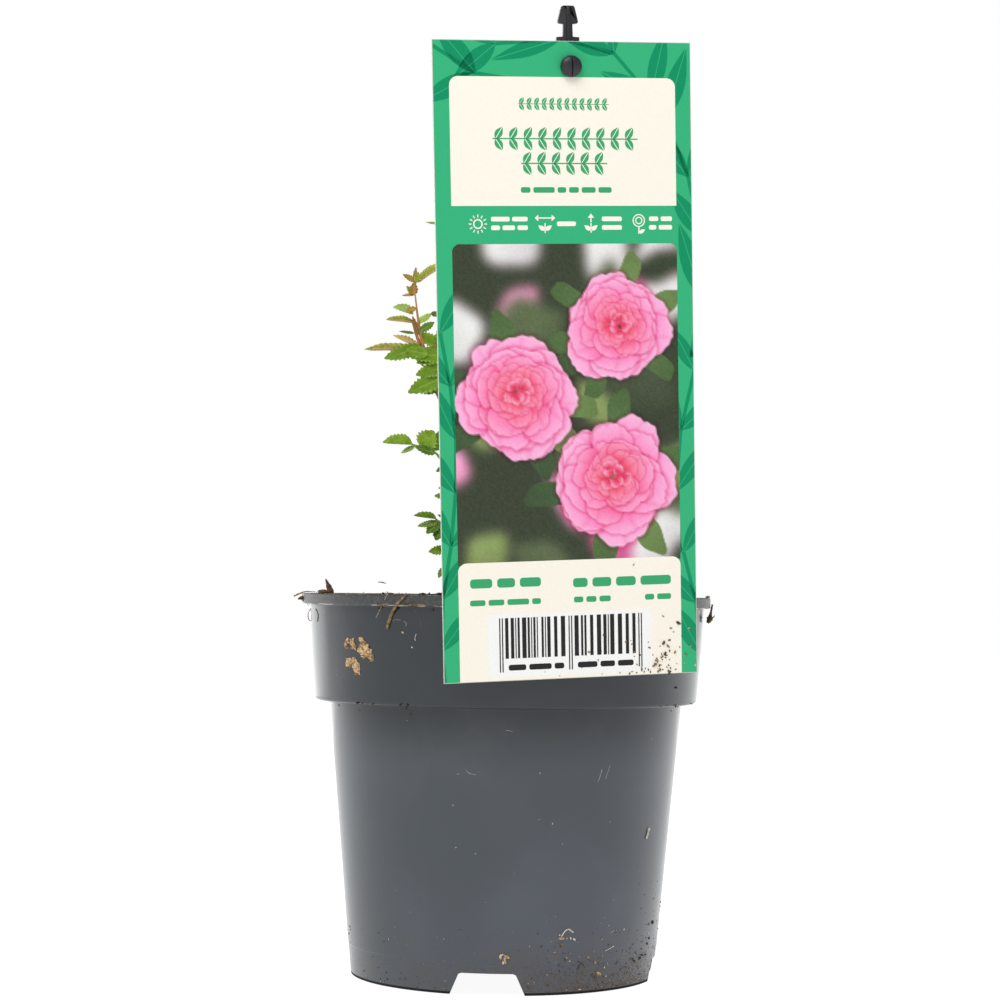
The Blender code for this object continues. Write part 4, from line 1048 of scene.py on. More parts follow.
def pot_plastic():
    made, paint, shader = new_finish("handled_grey_plastic", PLASTIC_LIGHT[:3], 0.3)
    place = place_of(paint)
    height, x, y = height_and_turn(place)
    colour = mottle(place, 14.0, 2.0).between(0.35, 0.65).tint(PLASTIC_DARK, PLASTIC_LIGHT)
    # painted shade: the wall darkens over the 22 mm under the shoulder and stays dark up the collar; the lip keeps less
    # of it
    shaded = (height - (SHOULDER_HEIGHT - 22 * MM)).between(0.0, 0.022) * 0.85
    shaded = shaded - (height - LIP_FOOT).between(0.0, 0.0005) * 0.4
    colour = shaded.tint(colour, PLASTIC_PAINTED_SHADE)
    scratches = mottle(stretched(place, (1100.0, 1100.0, 70.0)), 1.0, 4.0, 0.7).between(0.70, 0.76)
    scratched = scratches * mottle(place, 40.0, 2.0).between(0.55, 0.68) * 0.3
    low = (0.024 - height).between(0.0, 0.024)
    turned_right = (x * 0.8 - y * 0.6).between(-0.02, 0.045)
    patches = mottle(place, 1300.0, 6.0, 0.75)
    splash = (patches + low * (turned_right * 0.10 + 0.08) - 0.69).between(0.0, 0.05) * 0.8
    film = low * (turned_right * 0.26 + 0.14) * mottle(place, 90.0, 4.0).between(0.3, 0.7)
    haze = (mottle(place, 26.0, 4.0, 0.6) - 0.5).between(0.0, 0.35) * 0.05
    colour = haze.tint(colour, DUST)
    colour = scratched.tint(colour, DUST)
    colour = film.tint(colour, SPLASH_BROWN)
    colour = splash.tint(colour, SPLASH_BROWN)
    lip = (height - LIP_FOOT).between(0.0, 0.0004)
    lip_dust = lip * (mottle(place, 900.0, 5.0, 0.7).between(0.42, 0.62) * 0.20 + 0.02)
    colour = lip_dust.tint(colour, (0.26, 0.20, 0.12, 1.0))
    below_edge = (height - (LIP_FOOT - 0.0002)).between(0.0, 0.0002)
    near_edge = below_edge - (height - (LIP_FOOT + 0.0001)).between(0.0, 0.0003)
    scale_line = near_edge * mottle(place, 150.0, 5.0, 0.6).between(0.50, 0.60)
    colour = scale_line.tint(colour, (0.52, 0.48, 0.40, 1.0))
    # painted shade: near-black over the lowest millimetre of the wall and on the faces inside the foot under its floor,
    # the notches' cut faces too; it is rougher there
    within = (BASE_RADIUS - 0.0001 + height * BODY_SLOPE - (x * x + y * y) ** 0.5).between(0.0, 0.0001)
    within = within * (FLOOR_HEIGHT + 0.0003 - height).between(0.0, 0.0004)
    painted_foot_shade = 1 - (1 - within) * (1 - (0.0010 - height).between(0.0, 0.0003))
    colour = painted_foot_shade.tint(colour, (0.004, 0.004, 0.004, 1.0))
    dusty_top = (height - (POT_HEIGHT + 0.2 * MM)).between(0.0, 0.0002) * mottle(place, 300.0, 4.0).between(0.36, 0.54)
    colour = dusty_top.tint(colour, (0.050, 0.034, 0.020, 1.0))
    feed(shader, "Base Color", colour)
    soiled = mottle(place, 60.0) * 0.08 + splash * 0.4 + film * 0.5 + lip * 0.3 + dusty_top * 0.4 + painted_foot_shade * 0.7
    feed(shader, "Roughness", soiled + 0.14)
    skin = mottle(place, 2600.0, 2.0) * 0.12 + splash * 1.2 + mottle(place, 24.0, 1.0) * 0.6
    feed(shader, "Normal", relief(skin, 0.00005, 0.6))
    return made


plastic = pot_plastic()
make_pot(plastic)

# %% [markdown]
# ## Compost
# Peat compost is a bed of crumbs with bark and straw in it. A displaced disc alone looks like a blanket, and
# loose crumbs alone are costly, so it is both: a bed whose relief comes from three sizes of noise, and a few
# hundred shards and fibres lying on it. It has settled to just below the lip, and stands up to it in places.


# %% The bed
def lumps(x, y, scale, seed):
    """Noise from -1 to 1 over the compost with this many lumps to a metre."""
    return noise.noise(Vector((x * scale, y * scale, seed)))


def bed_height(x, y):
    """Height of the compost's surface, measured from the pot's axis."""
    r = math.hypot(x, y)
    heap = COMPOST_TOP - 0.9 * MM - 0.4 * MM * (r / (60 * MM)) ** 2
    crumbs = lumps(x, y, 70, 1.0) * 1.0 + lumps(x, y, 230, 7.0) * 0.8 + abs(lumps(x, y, 560, 3.0)) * 0.9
    calm = min(1.0, max(0.15, (r - 7 * MM) / (6 * MM)))
    return heap + crumbs * MM * calm


BED_RINGS, BED_SECTORS = 84, 260
BED_EDGE = 61.4 * MM
BED_WALL = ((60.8, 108.0), (59.2, 90.0), (54.2, 88.4), (54.0, 86.0), (47.2, FLOOR_TOP / MM + 0.4))  # radius, height


def make_bed(finish):
    """The bed: a top that rises and falls, and plain walls down to the pot's floor."""
    rings, sectors = BED_RINGS, BED_SECTORS
    points = [AXIS + Vector((0, 0, bed_height(0, 0)))]
    for i in range(1, rings + 1):
        r = BED_EDGE * (i / rings) ** 0.9
        for j in range(sectors):
            turn = 2 * math.pi * (j + 0.5 * (i % 2)) / sectors
            x, y = r * math.cos(turn), r * math.sin(turn)
            points.append(AXIS + Vector((x, y, bed_height(x, y))))
    for r, z in BED_WALL:
        for j in range(sectors):
            turn = 2 * math.pi * j / sectors
            points.append(AXIS + Vector((r * MM * math.cos(turn), r * MM * math.sin(turn), z * MM)))
    points.append(AXIS + Vector((0, 0, FLOOR_TOP + 0.4 * MM)))
    faces = turned_walls(rings + len(BED_WALL), sectors)
    return piece("compost_bed", points, faces, [finish], "compost", ["compost"])


# %% Compost finishes
def compost_finish():
    made, paint, shader = new_finish("peat_compost", (0.03, 0.02, 0.012), 0.95)
    place = place_of(paint)
    fine = mottle(place, 1500.0, 5.0, 0.7)
    clumps = mottle(place, 260.0, 4.0)
    colour = clumps.between(0.3, 0.7).tint((0.016, 0.010, 0.006, 1.0), (0.060, 0.036, 0.020, 1.0))
    colour = (fine - 0.62).between(0.0, 0.06).tint(colour, (0.16, 0.10, 0.055, 1.0))
    feed(shader, "Base Color", colour)
    feed(shader, "Normal", relief(fine + clumps, 0.0006))
    return made


def wood_finish(name, dark, light, grain=900.0):
    """Bark, straw or root: streaks of two colours and a fibrous relief."""
    made, paint, shader = new_finish(name, dark, 0.85)
    place = place_of(paint)
    streaks = mottle(place, grain, 5.0, 0.65)
    colour = streaks.between(0.35, 0.65).tint((*dark, 1.0), (*light, 1.0))
    feed(shader, "Base Color", colour)
    feed(shader, "Normal", relief(streaks, 0.0002))
    return made


peat = compost_finish()
bark_chip = wood_finish("bark_chip", (0.035, 0.020, 0.010), (0.14, 0.075, 0.035))
dry_straw = wood_finish("dry_straw", (0.11, 0.066, 0.024), (0.36, 0.25, 0.11), 900.0)
pale_root = wood_finish("pale_root", (0.30, 0.24, 0.17), (0.54, 0.47, 0.37), 1500.0)
make_bed(peat)


# %% Shards and fibres that lie on the bed
SHARD_SIDES = 6
SHARD_STATIONS = ((-0.5, 0.25), (-0.3, 0.85), (0.0, 1.0), (0.28, 0.8), (0.5, 0.2))  # share of length, of width


def shard(middle, ahead, length, width, thick, chance):
    """An irregular splinter of bark: five uneven six-sided sections along it, closed at both ends."""
    side = ahead.orthogonal().normalized()
    side = (Matrix.Rotation(chance.uniform(0, 6.28), 3, ahead) @ side).normalized()
    up = ahead.cross(side)
    points = []
    for place, size in SHARD_STATIONS:
        drift = (chance.uniform(-0.12, 0.12), chance.uniform(-0.12, 0.12))
        for j in range(SHARD_SIDES):
            turn = 2 * math.pi * j / SHARD_SIDES
            grow = size * chance.uniform(0.75, 1.15)
            across = side * ((math.cos(turn) * grow + drift[0]) * width / 2)
            over = up * ((math.sin(turn) * grow + drift[1]) * thick / 2)
            points.append(middle + ahead * (place * length) + across + over)
    return points, closed_rings(len(SHARD_STATIONS), SHARD_SIDES)


def strew_compost():
    chance = random.Random("strewn compost")
    shards, fibres = Heap(), Heap()
    for _ in range(520):
        turn, r = chance.uniform(0, 2 * math.pi), 60.0 * MM * math.sqrt(chance.uniform(0.03, 1.0))
        x, y = r * math.cos(turn), r * math.sin(turn)
        length = chance.uniform(1.0, 2.6) * MM * chance.choice((1.0, 1.0, 1.0, 1.7))
        ahead = heading(chance.uniform(0, 360), chance.uniform(-18, 22))
        middle = AXIS + Vector((x, y, bed_height(x, y) + 0.1 * MM))
        if r + length * 0.6 < 61.3 * MM:
            shards.add(shard(middle, ahead, length, length * 0.5, length * 0.28, chance), chance.choice((0, 0, 1)))
    for _ in range(70):
        turn, r = chance.uniform(0, 2 * math.pi), 52.0 * MM * math.sqrt(chance.uniform(0.05, 1.0))
        x, y = r * math.cos(turn), r * math.sin(turn)
        direction = chance.uniform(0, 360)
        line = []
        for _ in range(chance.randint(7, 12)):
            line.append(AXIS + Vector((x, y, bed_height(x, y) + chance.uniform(0.0, 0.5) * MM)))
            direction += chance.uniform(-28, 28)
            step = heading(direction) * 1.1 * MM
            x, y = x + step.x, y + step.y
            if math.hypot(x, y) > 60.6 * MM:
                break
        if len(line) > 3:
            radius = chance.uniform(0.07, 0.16) * MM
            fibres.add(tube(smooth_line(line, 2), [radius] * (2 * len(line) - 1), 5), chance.choice((0, 0, 1)))
    shards.make("compost_shards", [peat, bark_chip], "compost", smooth=False)
    fibres.make("compost_fibres", [dry_straw, pale_root], "compost")


strew_compost()

# %% [markdown]
# ## Crown and canes
# A nursery rose is a short woody stump with green canes rising from it. A cane is not a smooth pipe: it
# swells a little at each bud, carries a thin scar there where an old leaf stood, and has fine lengthwise
# wrinkles. Relief this coarse shows in the outline, so it is made in the mesh, and only the pores are bump.

# %% Bark finishes
def linear(red, green, blue):
    """A screen colour, each part from 0 to 255, as the light values that a shader takes."""
    return tuple(((c / 255 + 0.055) / 1.055) ** 2.4 if c > 10 else c / 3294 for c in (red, green, blue))


BARK_GREEN = (0.115, 0.150, 0.030, 1.0)
BARK_BROWN = (0.150, 0.085, 0.035, 1.0)
BARK_RED = (0.200, 0.035, 0.035, 1.0)


def cane_bark():
    """Green with brown streaks below, and wine red where the cane is young, near its tip."""
    made, paint, shader = new_finish("green_cane_bark", BARK_GREEN[:3], 0.5)
    place = place_of(paint)
    height, _, _ = height_and_turn(place)
    streaks = mottle(stretched(place, (900.0, 900.0, 140.0)), 1.0, 4.0, 0.6)
    colour = streaks.between(0.42, 0.66).tint(BARK_GREEN, BARK_BROWN)
    young = (height + mottle(place, 120.0) * 0.02).between(0.170, 0.196)
    colour = (young * 0.85).tint(colour, BARK_RED)
    pores = mottle(place, 1700.0, 1.0).between(0.66, 0.72)
    colour = (pores * 0.7).tint(colour, (0.30, 0.22, 0.12, 1.0))
    feed(shader, "Base Color", colour)
    feed(shader, "Roughness", streaks * 0.3 + 0.35)
    feed(shader, "Normal", relief(streaks + pores, 0.00012))
    return made


cane_skin = cane_bark()
crown_bark = wood_finish("crown_bark", (0.070, 0.045, 0.022), (0.24, 0.17, 0.095), 420.0)
thorn_finish = wood_finish("thorn_skin", (0.26, 0.10, 0.05), (0.42, 0.22, 0.12), 1200.0)


# %% The crown, a knobbly turned stump
def make_crown():
    base = COMPOST_TOP - 2.0 * MM
    heights = [base + (CROWN_TOP - base) * i / 22 for i in range(23)]
    profile = [(0.0, CROWN_TOP)]
    for height in reversed(heights):
        share = (height - COMPOST_TOP) / CROWN_HEIGHT
        flare = CROWN_FLARE_RADIUS * max(0.0, 1 - share * 2.2) ** 1.5
        knob = CROWN_TOP_RADIUS * math.sqrt(max(0.05, 1 - max(0.0, (share - 0.55) / 0.47) ** 2))
        profile.append((min(CROWN_FLARE_RADIUS, max(flare, min(knob, CROWN_WAIST_RADIUS + share * MM))), height))
    profile.append((0.0, base))
    points, faces = revolved(profile, 72)
    shaped = []
    for point in points:
        level = Vector((point.x - AXIS.x, point.y - AXIS.y, 0))
        size = noise.noise(point * 190) * 0.9 + noise.noise(point * 520) * 0.45
        ridge = math.sin(math.atan2(level.y, level.x) * 7 + noise.noise(point * 90) * 3) * 0.25
        push = (size + ridge) * MM * min(1.0, level.length / (2 * MM))
        shaped.append(point + (level.normalized() * push if level.length > 0 else Vector()))
    return piece("crown_stump", shaped, faces, [crown_bark], "cane_bark", ["crown"])


make_crown()

# %% Canes with swollen joints, and the thorns on them
CANE_SIDES = 14
JOINT_SPACING = 13.0 * MM


def cane_shape(name):
    """A cane's closed mesh, and its smooth line and radii."""
    line, radii, _ = canes[name]
    foot = line[0] - Vector((0, 0, 2.5 * MM))
    tip = line[-1] + (line[-1] - line[-2]).normalized() * GAP
    fine = smooth_line([foot, *line[:-1], tip], 12)
    length = sum((b - a).length for a, b in zip(fine, fine[1:]))
    widths = []
    for i in range(len(fine)):
        share = i / (len(fine) - 1)
        since_joint = (share * length + 4 * MM) % JOINT_SPACING
        swell = math.exp(-((since_joint - 2 * MM) / (1.3 * MM)) ** 2) * 0.13
        scar = math.exp(-((since_joint - 3.4 * MM) / (0.35 * MM)) ** 2) * 0.07
        foot_swell = 0.35 * math.exp(-share * length / (3 * MM))
        radius = radii[0] + (radii[-1] - radii[0]) * share
        widths.append(radius * (1 + swell - scar + foot_swell))

    def wrinkle(i, j):
        place = Vector((math.cos(2 * math.pi * j / CANE_SIDES), math.sin(2 * math.pi * j / CANE_SIDES), i * 0.05))
        return 1 + 0.06 * noise.noise(place * 2.3 + Vector((0, 0, len(name) * 3.0)))

    return tube(fine, widths, CANE_SIDES, wrinkle), fine, widths


THORN_RINGS, THORN_SIDES = 5, 6


def thorn(root, outward, down, size):
    """A flat-footed thorn that hooks down: shrinking rings, and a point."""
    points = []
    across = outward.cross(down).normalized()
    for i in range(THORN_RINGS):
        share = i / 4.4
        middle = root + outward * (size * share) + down * (size * 0.45 * share * share)
        reach = size * 0.42 * (1 - share) ** 1.3
        for j in range(THORN_SIDES):
            turn = 2 * math.pi * j / THORN_SIDES
            points.append(middle + across * (math.cos(turn) * reach * 0.5) + down * (math.sin(turn) * reach))
    point = len(points)
    points.append(root + outward * size + down * (size * 0.5))
    faces = ring_walls(THORN_RINGS, THORN_SIDES)
    rim = range(point - THORN_SIDES, point)
    faces += [(a, rim[(j + 1) % THORN_SIDES], point) for j, a in enumerate(rim)]
    faces.append(tuple(reversed(range(THORN_SIDES))))
    return points, faces


def make_canes():
    thorns = Heap()
    for name in canes:
        shape, fine, widths = cane_shape(name)
        piece(f"cane_{name}_bark", *shape, [cane_skin], "cane_bark", [f"cane_{name}"])
        chance = random.Random("thorns " + name)
        place = 0.10
        while place < 0.93:
            i = int(place * (len(fine) - 1))
            tangent = (fine[i + 1] - fine[i]).normalized()
            outward = tangent.orthogonal().normalized()
            outward = (Matrix.Rotation(chance.uniform(0, 6.28), 3, tangent) @ outward).normalized()
            size = chance.uniform(0.9, 1.7) * MM
            thorns.add(thorn(fine[i] + outward * (widths[i] * 0.9), outward, -tangent, size))
            place += chance.uniform(0.07, 0.2)
    thorns.make("cane_thorns", [thorn_finish], "cane_bark", smooth=True, sharp=50)


make_canes()

# %% [markdown]
# ## Stems and leaf stalks
# Each mass of leaves hangs on one stem. Stem and stalks are round and thin, so they are swept tubes along the
# lines that the rule gave, run a little way into what carries them. New wood is copper brown, an older
# leaf's stalk is green, and at each stalk's root stand two narrow wings, the stipules.

# %% Leaflets that stand clear of the card, one by one
# Each has its leaf kind, its root and tip from the pot's axis in mm, its width in mm, its roll in degrees
# (0 faces the front with its upper side, 90 faces up), its fold in degrees and its bend.
SET_LEAFLETS = {
    "shoot_left": (
        # folded leaflet at the top
        ("olive", (-29.7, -3, 220.0), (-20.4, -5, 227.2), 4.2, 60, 36, 0.12),
        # its tips
        ("bronze", (-30.0, -3, 220.3), (-34.5, -4, 222.5), 2.2, 24, 22, 0.02),
        ("bronze", (-30.8, -3, 220.2), (-30.3, -3.5, 224.9), 1.8, 30, 22, -0.03),
        ("olive", (-30.1, -4, 219.8), (-29.5, -4.5, 223.2), 2, 10, 18, 0),
        # small opening leaf
        ("bronze", (-30.7, -3, 216.2), (-34.8, -3, 216.0), 1.8, 50, 25, 0.05),
        ("bronze", (-30.9, -3, 216.0), (-31.0, -4, 220.0), 2.8, 15, 20, 0),
        ("olive", (-30.8, -2.5, 216.2), (-33.3, -3, 218.9), 2, 15, 20, 0),
        # pale leaf above the bract
        ("bright", (-31.0, -3, 209.8), (-37.6, -4, 211.9), 3.6, 135, 44, 0),
        ("bronze", (-30.2, -4, 211.9), (-33.4, -4.8, 210.4), 2.2, 20, 20, 0.04),
        # dark bract, and a narrow, rolled leaf
        ("bract", (-29.2, -3.6, 203.3), (-31.3, -3.9, 209.3), 1.7, 5, 10, -0.04),
        ("olive", (-30.9, -2, 207.3), (-39.6, -5, 208.1), 3, 60, 40, 0.03),
        # leaf to the right
        ("bright", (-29.4, -3, 207.3), (-25.2, -1, 210.5), 2.6, 205, 18, 0),
        ("deep", (-25.6, -1, 210.4), (-20.7, -1, 210.0), 2.2, 20, 18, 0),
        # toothed leaf to the right
        ("deep", (-28.8, -4, 204.6), (-24.1, -5, 207.2), 2.8, 12, 16, -0.02),
        # narrow leaf to the left
        ("deep", (-30.6, -2, 204.0), (-35.6, -3, 204.4), 2, 55, 20, 0),
        # long pair to the left
        ("olive", (-28.8, -3, 198.8), (-37.4, -6, 203.0), 2.8, 135, 44, 0.03),
        ("olive", (-31.1, -4, 198.6), (-46.2, -9, 198.3), 3.5, 66, 42, 0.03),
        # broad leaf below them
        ("mid", (-28.4, -6, 199.4), (-39.6, -12, 194.9), 4.9, 8, 14, 0.03),
        ("mid", (-26.1, -7, 196.9), (-33.0, -9, 198.1), 3.9, 5, 12, 0.02),
        # fan to the right
        ("bright", (-22.2, 0, 200.2), (-29.6, -3, 203.9), 4.4, 15, 16, -0.02),
        ("mid", (-22.3, -1, 199.7), (-22.9, -1, 206.1), 3, 20, 16, 0),
        ("olive", (-28.9, -5, 198.2), (-22.4, -3, 200.4), 2.4, 64, 22, 0),
        # broad pair low on the right
        ("mid", (-20.5, -3, 197.2), (-32.5, -10, 196.4), 5.2, 10, 14, 0.06),
        ("mid", (-20.2, -3, 197.8), (-29.5, -8, 194.1), 4.8, 15, 14, 0.05),
        # three lowest leaflets
        ("mid", (-20.1, -4, 193.6), (-29.7, -9, 190.1), 5.2, 16, 14, 0.03),
        ("mid", (-19.7, -5, 190.7), (-31.9, -12, 184.4), 6.4, 10, 12, 0.04),
        ("mid", (-20.4, -3, 187.7), (-27.2, -7, 184.3), 3.4, 25, 14, 0.03),
    ),
    "shoot_middle": (("bright", (-14.7, -1.8, 239.0), (-27.9, -6, 238.9), 5, 84, 9, -0.01),),
    "leaves_left_mid": (
        # end leaflet, folded
        ("bright", (-30.7, -2, 168.5), (-40.3, -6, 168.5), 4.6, 45, 44, -0.02),
        # side leaflets
        ("bright", (-30.0, -3, 167.9), (-34.3, -5, 165.4), 1.9, 205, 15, 0),
        ("bright", (-28.0, -2, 167.4), (-23.9, -5, 172.6), 7.2, 5, 12, 0.04),
        ("deep", (-23.2, -4, 165.7), (-29.9, -6, 167.6), 3.2, 24, 14, 0.02),
        ("mid", (-23.4, -1, 166.5), (-22.0, -3, 172.9), 4.2, 12, 14, 0.03),
        # tips lower down
        ("deep", (-20.1, 0, 161.8), (-23.2, 0, 159.9), 2.2, 30, 14, 0),
        ("deep", (-19.7, 0, 155.2), (-22.4, 0, 154.6), 1.6, 25, 14, 0),
        ("mid", (-19.6, 0, 152.2), (-23.7, 0, 152.2), 2.2, 20, 14, 0.02),
    ),
    "leaves_left_low": (
        # end leaflet, folded
        ("mid", (-22.8, -2, 144.8), (-30.1, -5, 145.5), 2.8, 45, 44, -0.02),
        # side leaflets
        ("mid", (-22.2, -2, 143.9), (-28.9, -6, 142.0), 2.5, 205, 16, 0.06),
        ("deep", (-21.7, -2, 144.1), (-25.8, -6, 140.0), 3.8, 12, 12, 0.02),
        ("deep", (-20.6, -1, 144.3), (-22.8, -5, 137.8), 4.8, 10, 12, 0.02),
        # lower leaflets
        ("bright", (-19.4, -1, 135.2), (-25.1, -4, 134.2), 3.2, 12, 12, 0.02),
        ("mid", (-20.4, 0, 129.3), (-22.0, -1, 125.9), 2.1, 20, 14, 0.02),
    ),
}

# Their stalks: points from the pot's axis in mm, radius at both ends in mm, and the finish (1 green, 2 red).
SET_STALKS = {
    "shoot_left": (
        (((-27.0, -3, 196.9), (-29.0, -3, 200.8), (-30.1, -3, 203.9), (-31.3, -3, 208.1)), 0.62, 0.42, 2),
        (((-27.0, -3, 196.9), (-29.2, -4, 198.7), (-31.5, -4, 199.2)), 0.36, 0.22, 2),
        (((-29.4, -3, 206.2), (-27.7, -2, 208.8), (-25.3, -1, 210.4), (-21.3, -1, 210.3)), 0.26, 0.16, 2),
        (((-29.4, -3, 206.2), (-30.7, -2.4, 207.3), (-32.1, -2.4, 207.7)), 0.26, 0.18, 2),
        (((-29.0, -3, 204.3), (-30.6, -2.2, 204.0)), 0.24, 0.2, 1),
        (((-27.3, -3, 197.3), (-24.7, -1, 199.4), (-22.0, 0, 200.2), (-20.6, 0, 199.5)), 0.3, 0.2, 1),
        (((-27.5, -3, 197.6), (-25.6, -4, 199.3), (-22.3, -3, 200.4)), 0.24, 0.16, 2),
        (((-27.3, -3, 197.3), (-28.7, -5, 198.7), (-31.2, -7.5, 198.1)), 0.3, 0.2, 1),
        (((-26.2, -3, 194.4), (-23.3, -3, 196.0), (-20.1, -3, 197.5)), 0.36, 0.3, 1),
        (((-26.1, -4, 192.7), (-28.0, -5, 193.6), (-29.8, -6, 195.4)), 0.3, 0.2, 1),
        (((-24.2, -3, 189.6), (-22.3, -4, 191.5), (-19.4, -4, 193.6)), 0.36, 0.26, 1),
        (((-23.2, -3, 187.4), (-21.6, -4, 189.0), (-19.4, -5, 190.8)), 0.36, 0.26, 1),
    ),
    "leaves_left_low": (
        (((-17.9, 2, 136.5), (-19.4, -1, 135.2), (-21.6, -2, 134.9)), 0.3, 0.18, 1),
    ),
}

# The stems that carry them, where these are finer than the solids: points, and radii at both ends in mm.
SET_STEMS = {
    "shoot_left": (
        (-21.6, -3, 184.9),
        (-24.4, -3, 190.8),
        (-26.2, -3, 195.0),
        (-27.5, -3, 198.5),
        (-28.4, -3, 202.3),
        (-29.2, -3, 206.5),
        (-29.8, -3, 210.6),
        (-30.3, -3, 214.4),
        (-30.6, -3, 217.6),
        (-30.3, -3, 220.5),
    ),
    "leaves_left_mid": (
        (-14.9, -2.2, 160.6),
        (-18.6, -2.4, 161.3),
        (-21.6, -2.2, 163.8),
        (-23.4, -2.4, 165.8),
        (-27.1, -3, 167.5),
        (-30.0, -2.5, 168.2),
        (-31.3, -2, 168.6),
    ),
    "leaves_left_low": (
        (-8.8, -2, 139.6),
        (-14.8, -3, 141.4),
        (-19.6, -2.4, 142.9),
        (-22.2, -2, 144.1),
        (-23.2, -2, 144.9),
    ),
}
SET_STEM_RADII = {
    "shoot_left": (1.2, 1.05, 0.86, 0.66, 0.5, 0.42, 0.32, 0.27, 0.25, 0.24),
    "leaves_left_mid": (0.60, 0.5, 0.42, 0.36, 0.3, 0.25, 0.22),
    "leaves_left_low": (0.60, 0.5, 0.42, 0.34, 0.24),
}
CARD_SIDE = -22.4 * MM  # left of this, a leaf shows past the card


def from_axis(place):
    return AXIS + Vector(place) * MM


def set_leaflet(start, end, width, roll):
    """A leaflet from its root and tip. It is rolled from facing the front."""
    root, tip = from_axis(start), from_axis(end)
    length = (tip - root).length
    ahead = (tip - root) / length
    up = Vector((0, -1, 0)) - ahead * -ahead.y
    up = Matrix.Rotation(math.radians(-roll if ahead.x > 0 else roll), 3, ahead) @ up.normalized()
    return root, ahead, up, length, width * MM


def clear_of_card(leaf):
    """True if no part of a grown leaf shows past the card."""
    for root, ahead, _, length, width in leaf[1]:
        if min(root.x, (root + ahead * length).x) - 0.4 * width <= CARD_SIDE:
            return False
    return True


# %% More leaves from the same rule
EXTRA_LEAVES = 5  # that each mass is asked for, between those of the solids
EXTRA_SIZE = 0.86


def grow_more():
    """Further leaves in each mass's own space, clear of those that are there."""
    hearts = {name: mass["heart"] for name, mass in masses.items()}
    limbs = [(line, radii) for line, radii, _ in canes.values()]
    for name, mass in masses.items():
        chance = random.Random("more " + name)
        mass["fine"] = [leaf for leaf in mass["grown"] if clear_of_card(leaf) or name == "shoot_middle"]
        if name in SET_STEMS:
            continue
        skins = []
        for stalk, leaflets, _ in mass["grown"]:
            skins += [leaflet_skin(leaflet) for leaflet in leaflets] + [stalk_skin(stalk)]
        for i in range(EXTRA_LEAVES):
            share = 0.08 + 0.86 * (i + 0.5) / EXTRA_LEAVES
            youth = max(0.0, (share - 0.4) / 0.6) if mass["shoot"] else 0.0
            azimuth = mass["azimuth"] + GOLDEN_TURN * (i + 0.5) + chance.uniform(-20, 20)
            size = EXTRA_SIZE * (1.0 - 0.4 * youth) * chance.uniform(0.8, 1.0)
            lengths = (STALK_LENGTH * size, LEAFLET_LENGTH * size)
            rise = 34 + 30 * youth + chance.uniform(-10, 16)
            wanted = (share, azimuth, rise, *lengths, 2, youth, chance.uniform(-20, 20), STALK_DROOP)
            leaf = best_leaf(wanted, mass, name, hearts, limbs, skins, chance)
            if leaf and clear_of_card(leaf):
                mass["fine"].append(leaf)
                skins += [leaflet_skin(leaflet) for leaflet in leaf[1]] + [stalk_skin(leaf[0])]
    print(sum(len(mass["fine"]) for mass in masses.values()), "grown leaves")


grow_more()
# this leaf loses its end leaflet, because one in SET_LEAFLETS stands in its place
del min(masses["shoot_middle"]["fine"], key=lambda leaf: leaf[1][0][0].x)[1][0]


# %% Stem and stalk finishes
def stem_finish(name, dark, light):
    made, paint, shader = new_finish(name, dark, 0.45)
    place = place_of(paint)
    streaks = mottle(stretched(place, (1400.0, 1400.0, 260.0)), 1.0, 3.0)
    feed(shader, "Base Color", streaks.between(0.35, 0.65).tint((*dark, 1.0), (*light, 1.0)))
    feed(shader, "Normal", relief(streaks, 0.00006))
    return made


copper_stem = stem_finish("copper_young_stem", linear(152, 106, 52), linear(196, 140, 80))
green_stem = stem_finish("green_leaf_stalk", linear(112, 132, 48), linear(148, 158, 72))
maroon_wood = stem_finish("maroon_cane_top", linear(96, 30, 38), linear(140, 56, 62))
red_stalk = stem_finish("reddened_leaf_stalk", linear(140, 84, 46), linear(172, 118, 66))


def lens(root, ahead, up, length, width, rows=5):
    """A small closed pointed blade, such as a stipule: its two skins meet at the edge."""
    side = up.cross(ahead)
    points, faces = [root], []
    for i in range(1, rows):
        s = i / rows
        half = width / 2 * math.sin(math.pi * s**0.8)
        middle = root + ahead * (length * s) - up * (length * 0.12 * s * s)
        thick = up * (width * 0.06)
        points += [middle - side * half, middle + thick, middle + side * half, middle - thick]
    points.append(root + ahead * length - up * (length * 0.12))
    for j in range(4):
        k = (j + 1) % 4
        faces.append((0, 1 + k, 1 + j))
        for i in range(rows - 2):
            a = 1 + i * 4
            faces.append((a + j, a + k, a + k + 4, a + j + 4))
        a = 1 + (rows - 2) * 4
        faces.append((a + j, a + k, len(points) - 1))
    return points, faces


# %% Build the stems
COPPER, GREEN, RED, MAROON = range(4)
CANE_TOP = ((-17.5, -2.6, 184.4), (-20.6, -3, 186.2), (-22.9, -3.2, 187.6), (-24.4, -3.2, 188.4))  # left of the shoot


def add_stem(heap, points, radii, pick, per_span=5):
    """A smooth stem through points that is a little thicker where leaves leave it."""
    line = smooth_line(points, per_span)
    fine = []
    for i in range(len(line)):
        place = i / (len(line) - 1) * (len(radii) - 1)
        k = min(int(place), len(radii) - 2)
        radius = radii[k] + (radii[k + 1] - radii[k]) * (place - k)
        joint = max(math.exp(-(((i / len(line) - at) * 26) ** 2)) for at in (0.15, 0.4, 0.65, 0.9))
        fine.append(radius * (1 + 0.12 * joint))
    heap.add(tube(line, fine, 10), pick)


def tip_bud(heap, tip, ahead):
    """Three unopened leaflets round a shoot's tip."""
    side = ahead.orthogonal().normalized()
    for i in range(3):
        lean = (Matrix.Rotation(2.1 * i, 3, ahead) @ side).normalized()
        out = (ahead + lean * 0.35).normalized()
        up = (lean - out * lean.dot(out)).normalized()
        heap.add(lens(tip - ahead * 0.4 * MM, out, up, 2.6 * MM, 1.0 * MM), RED)


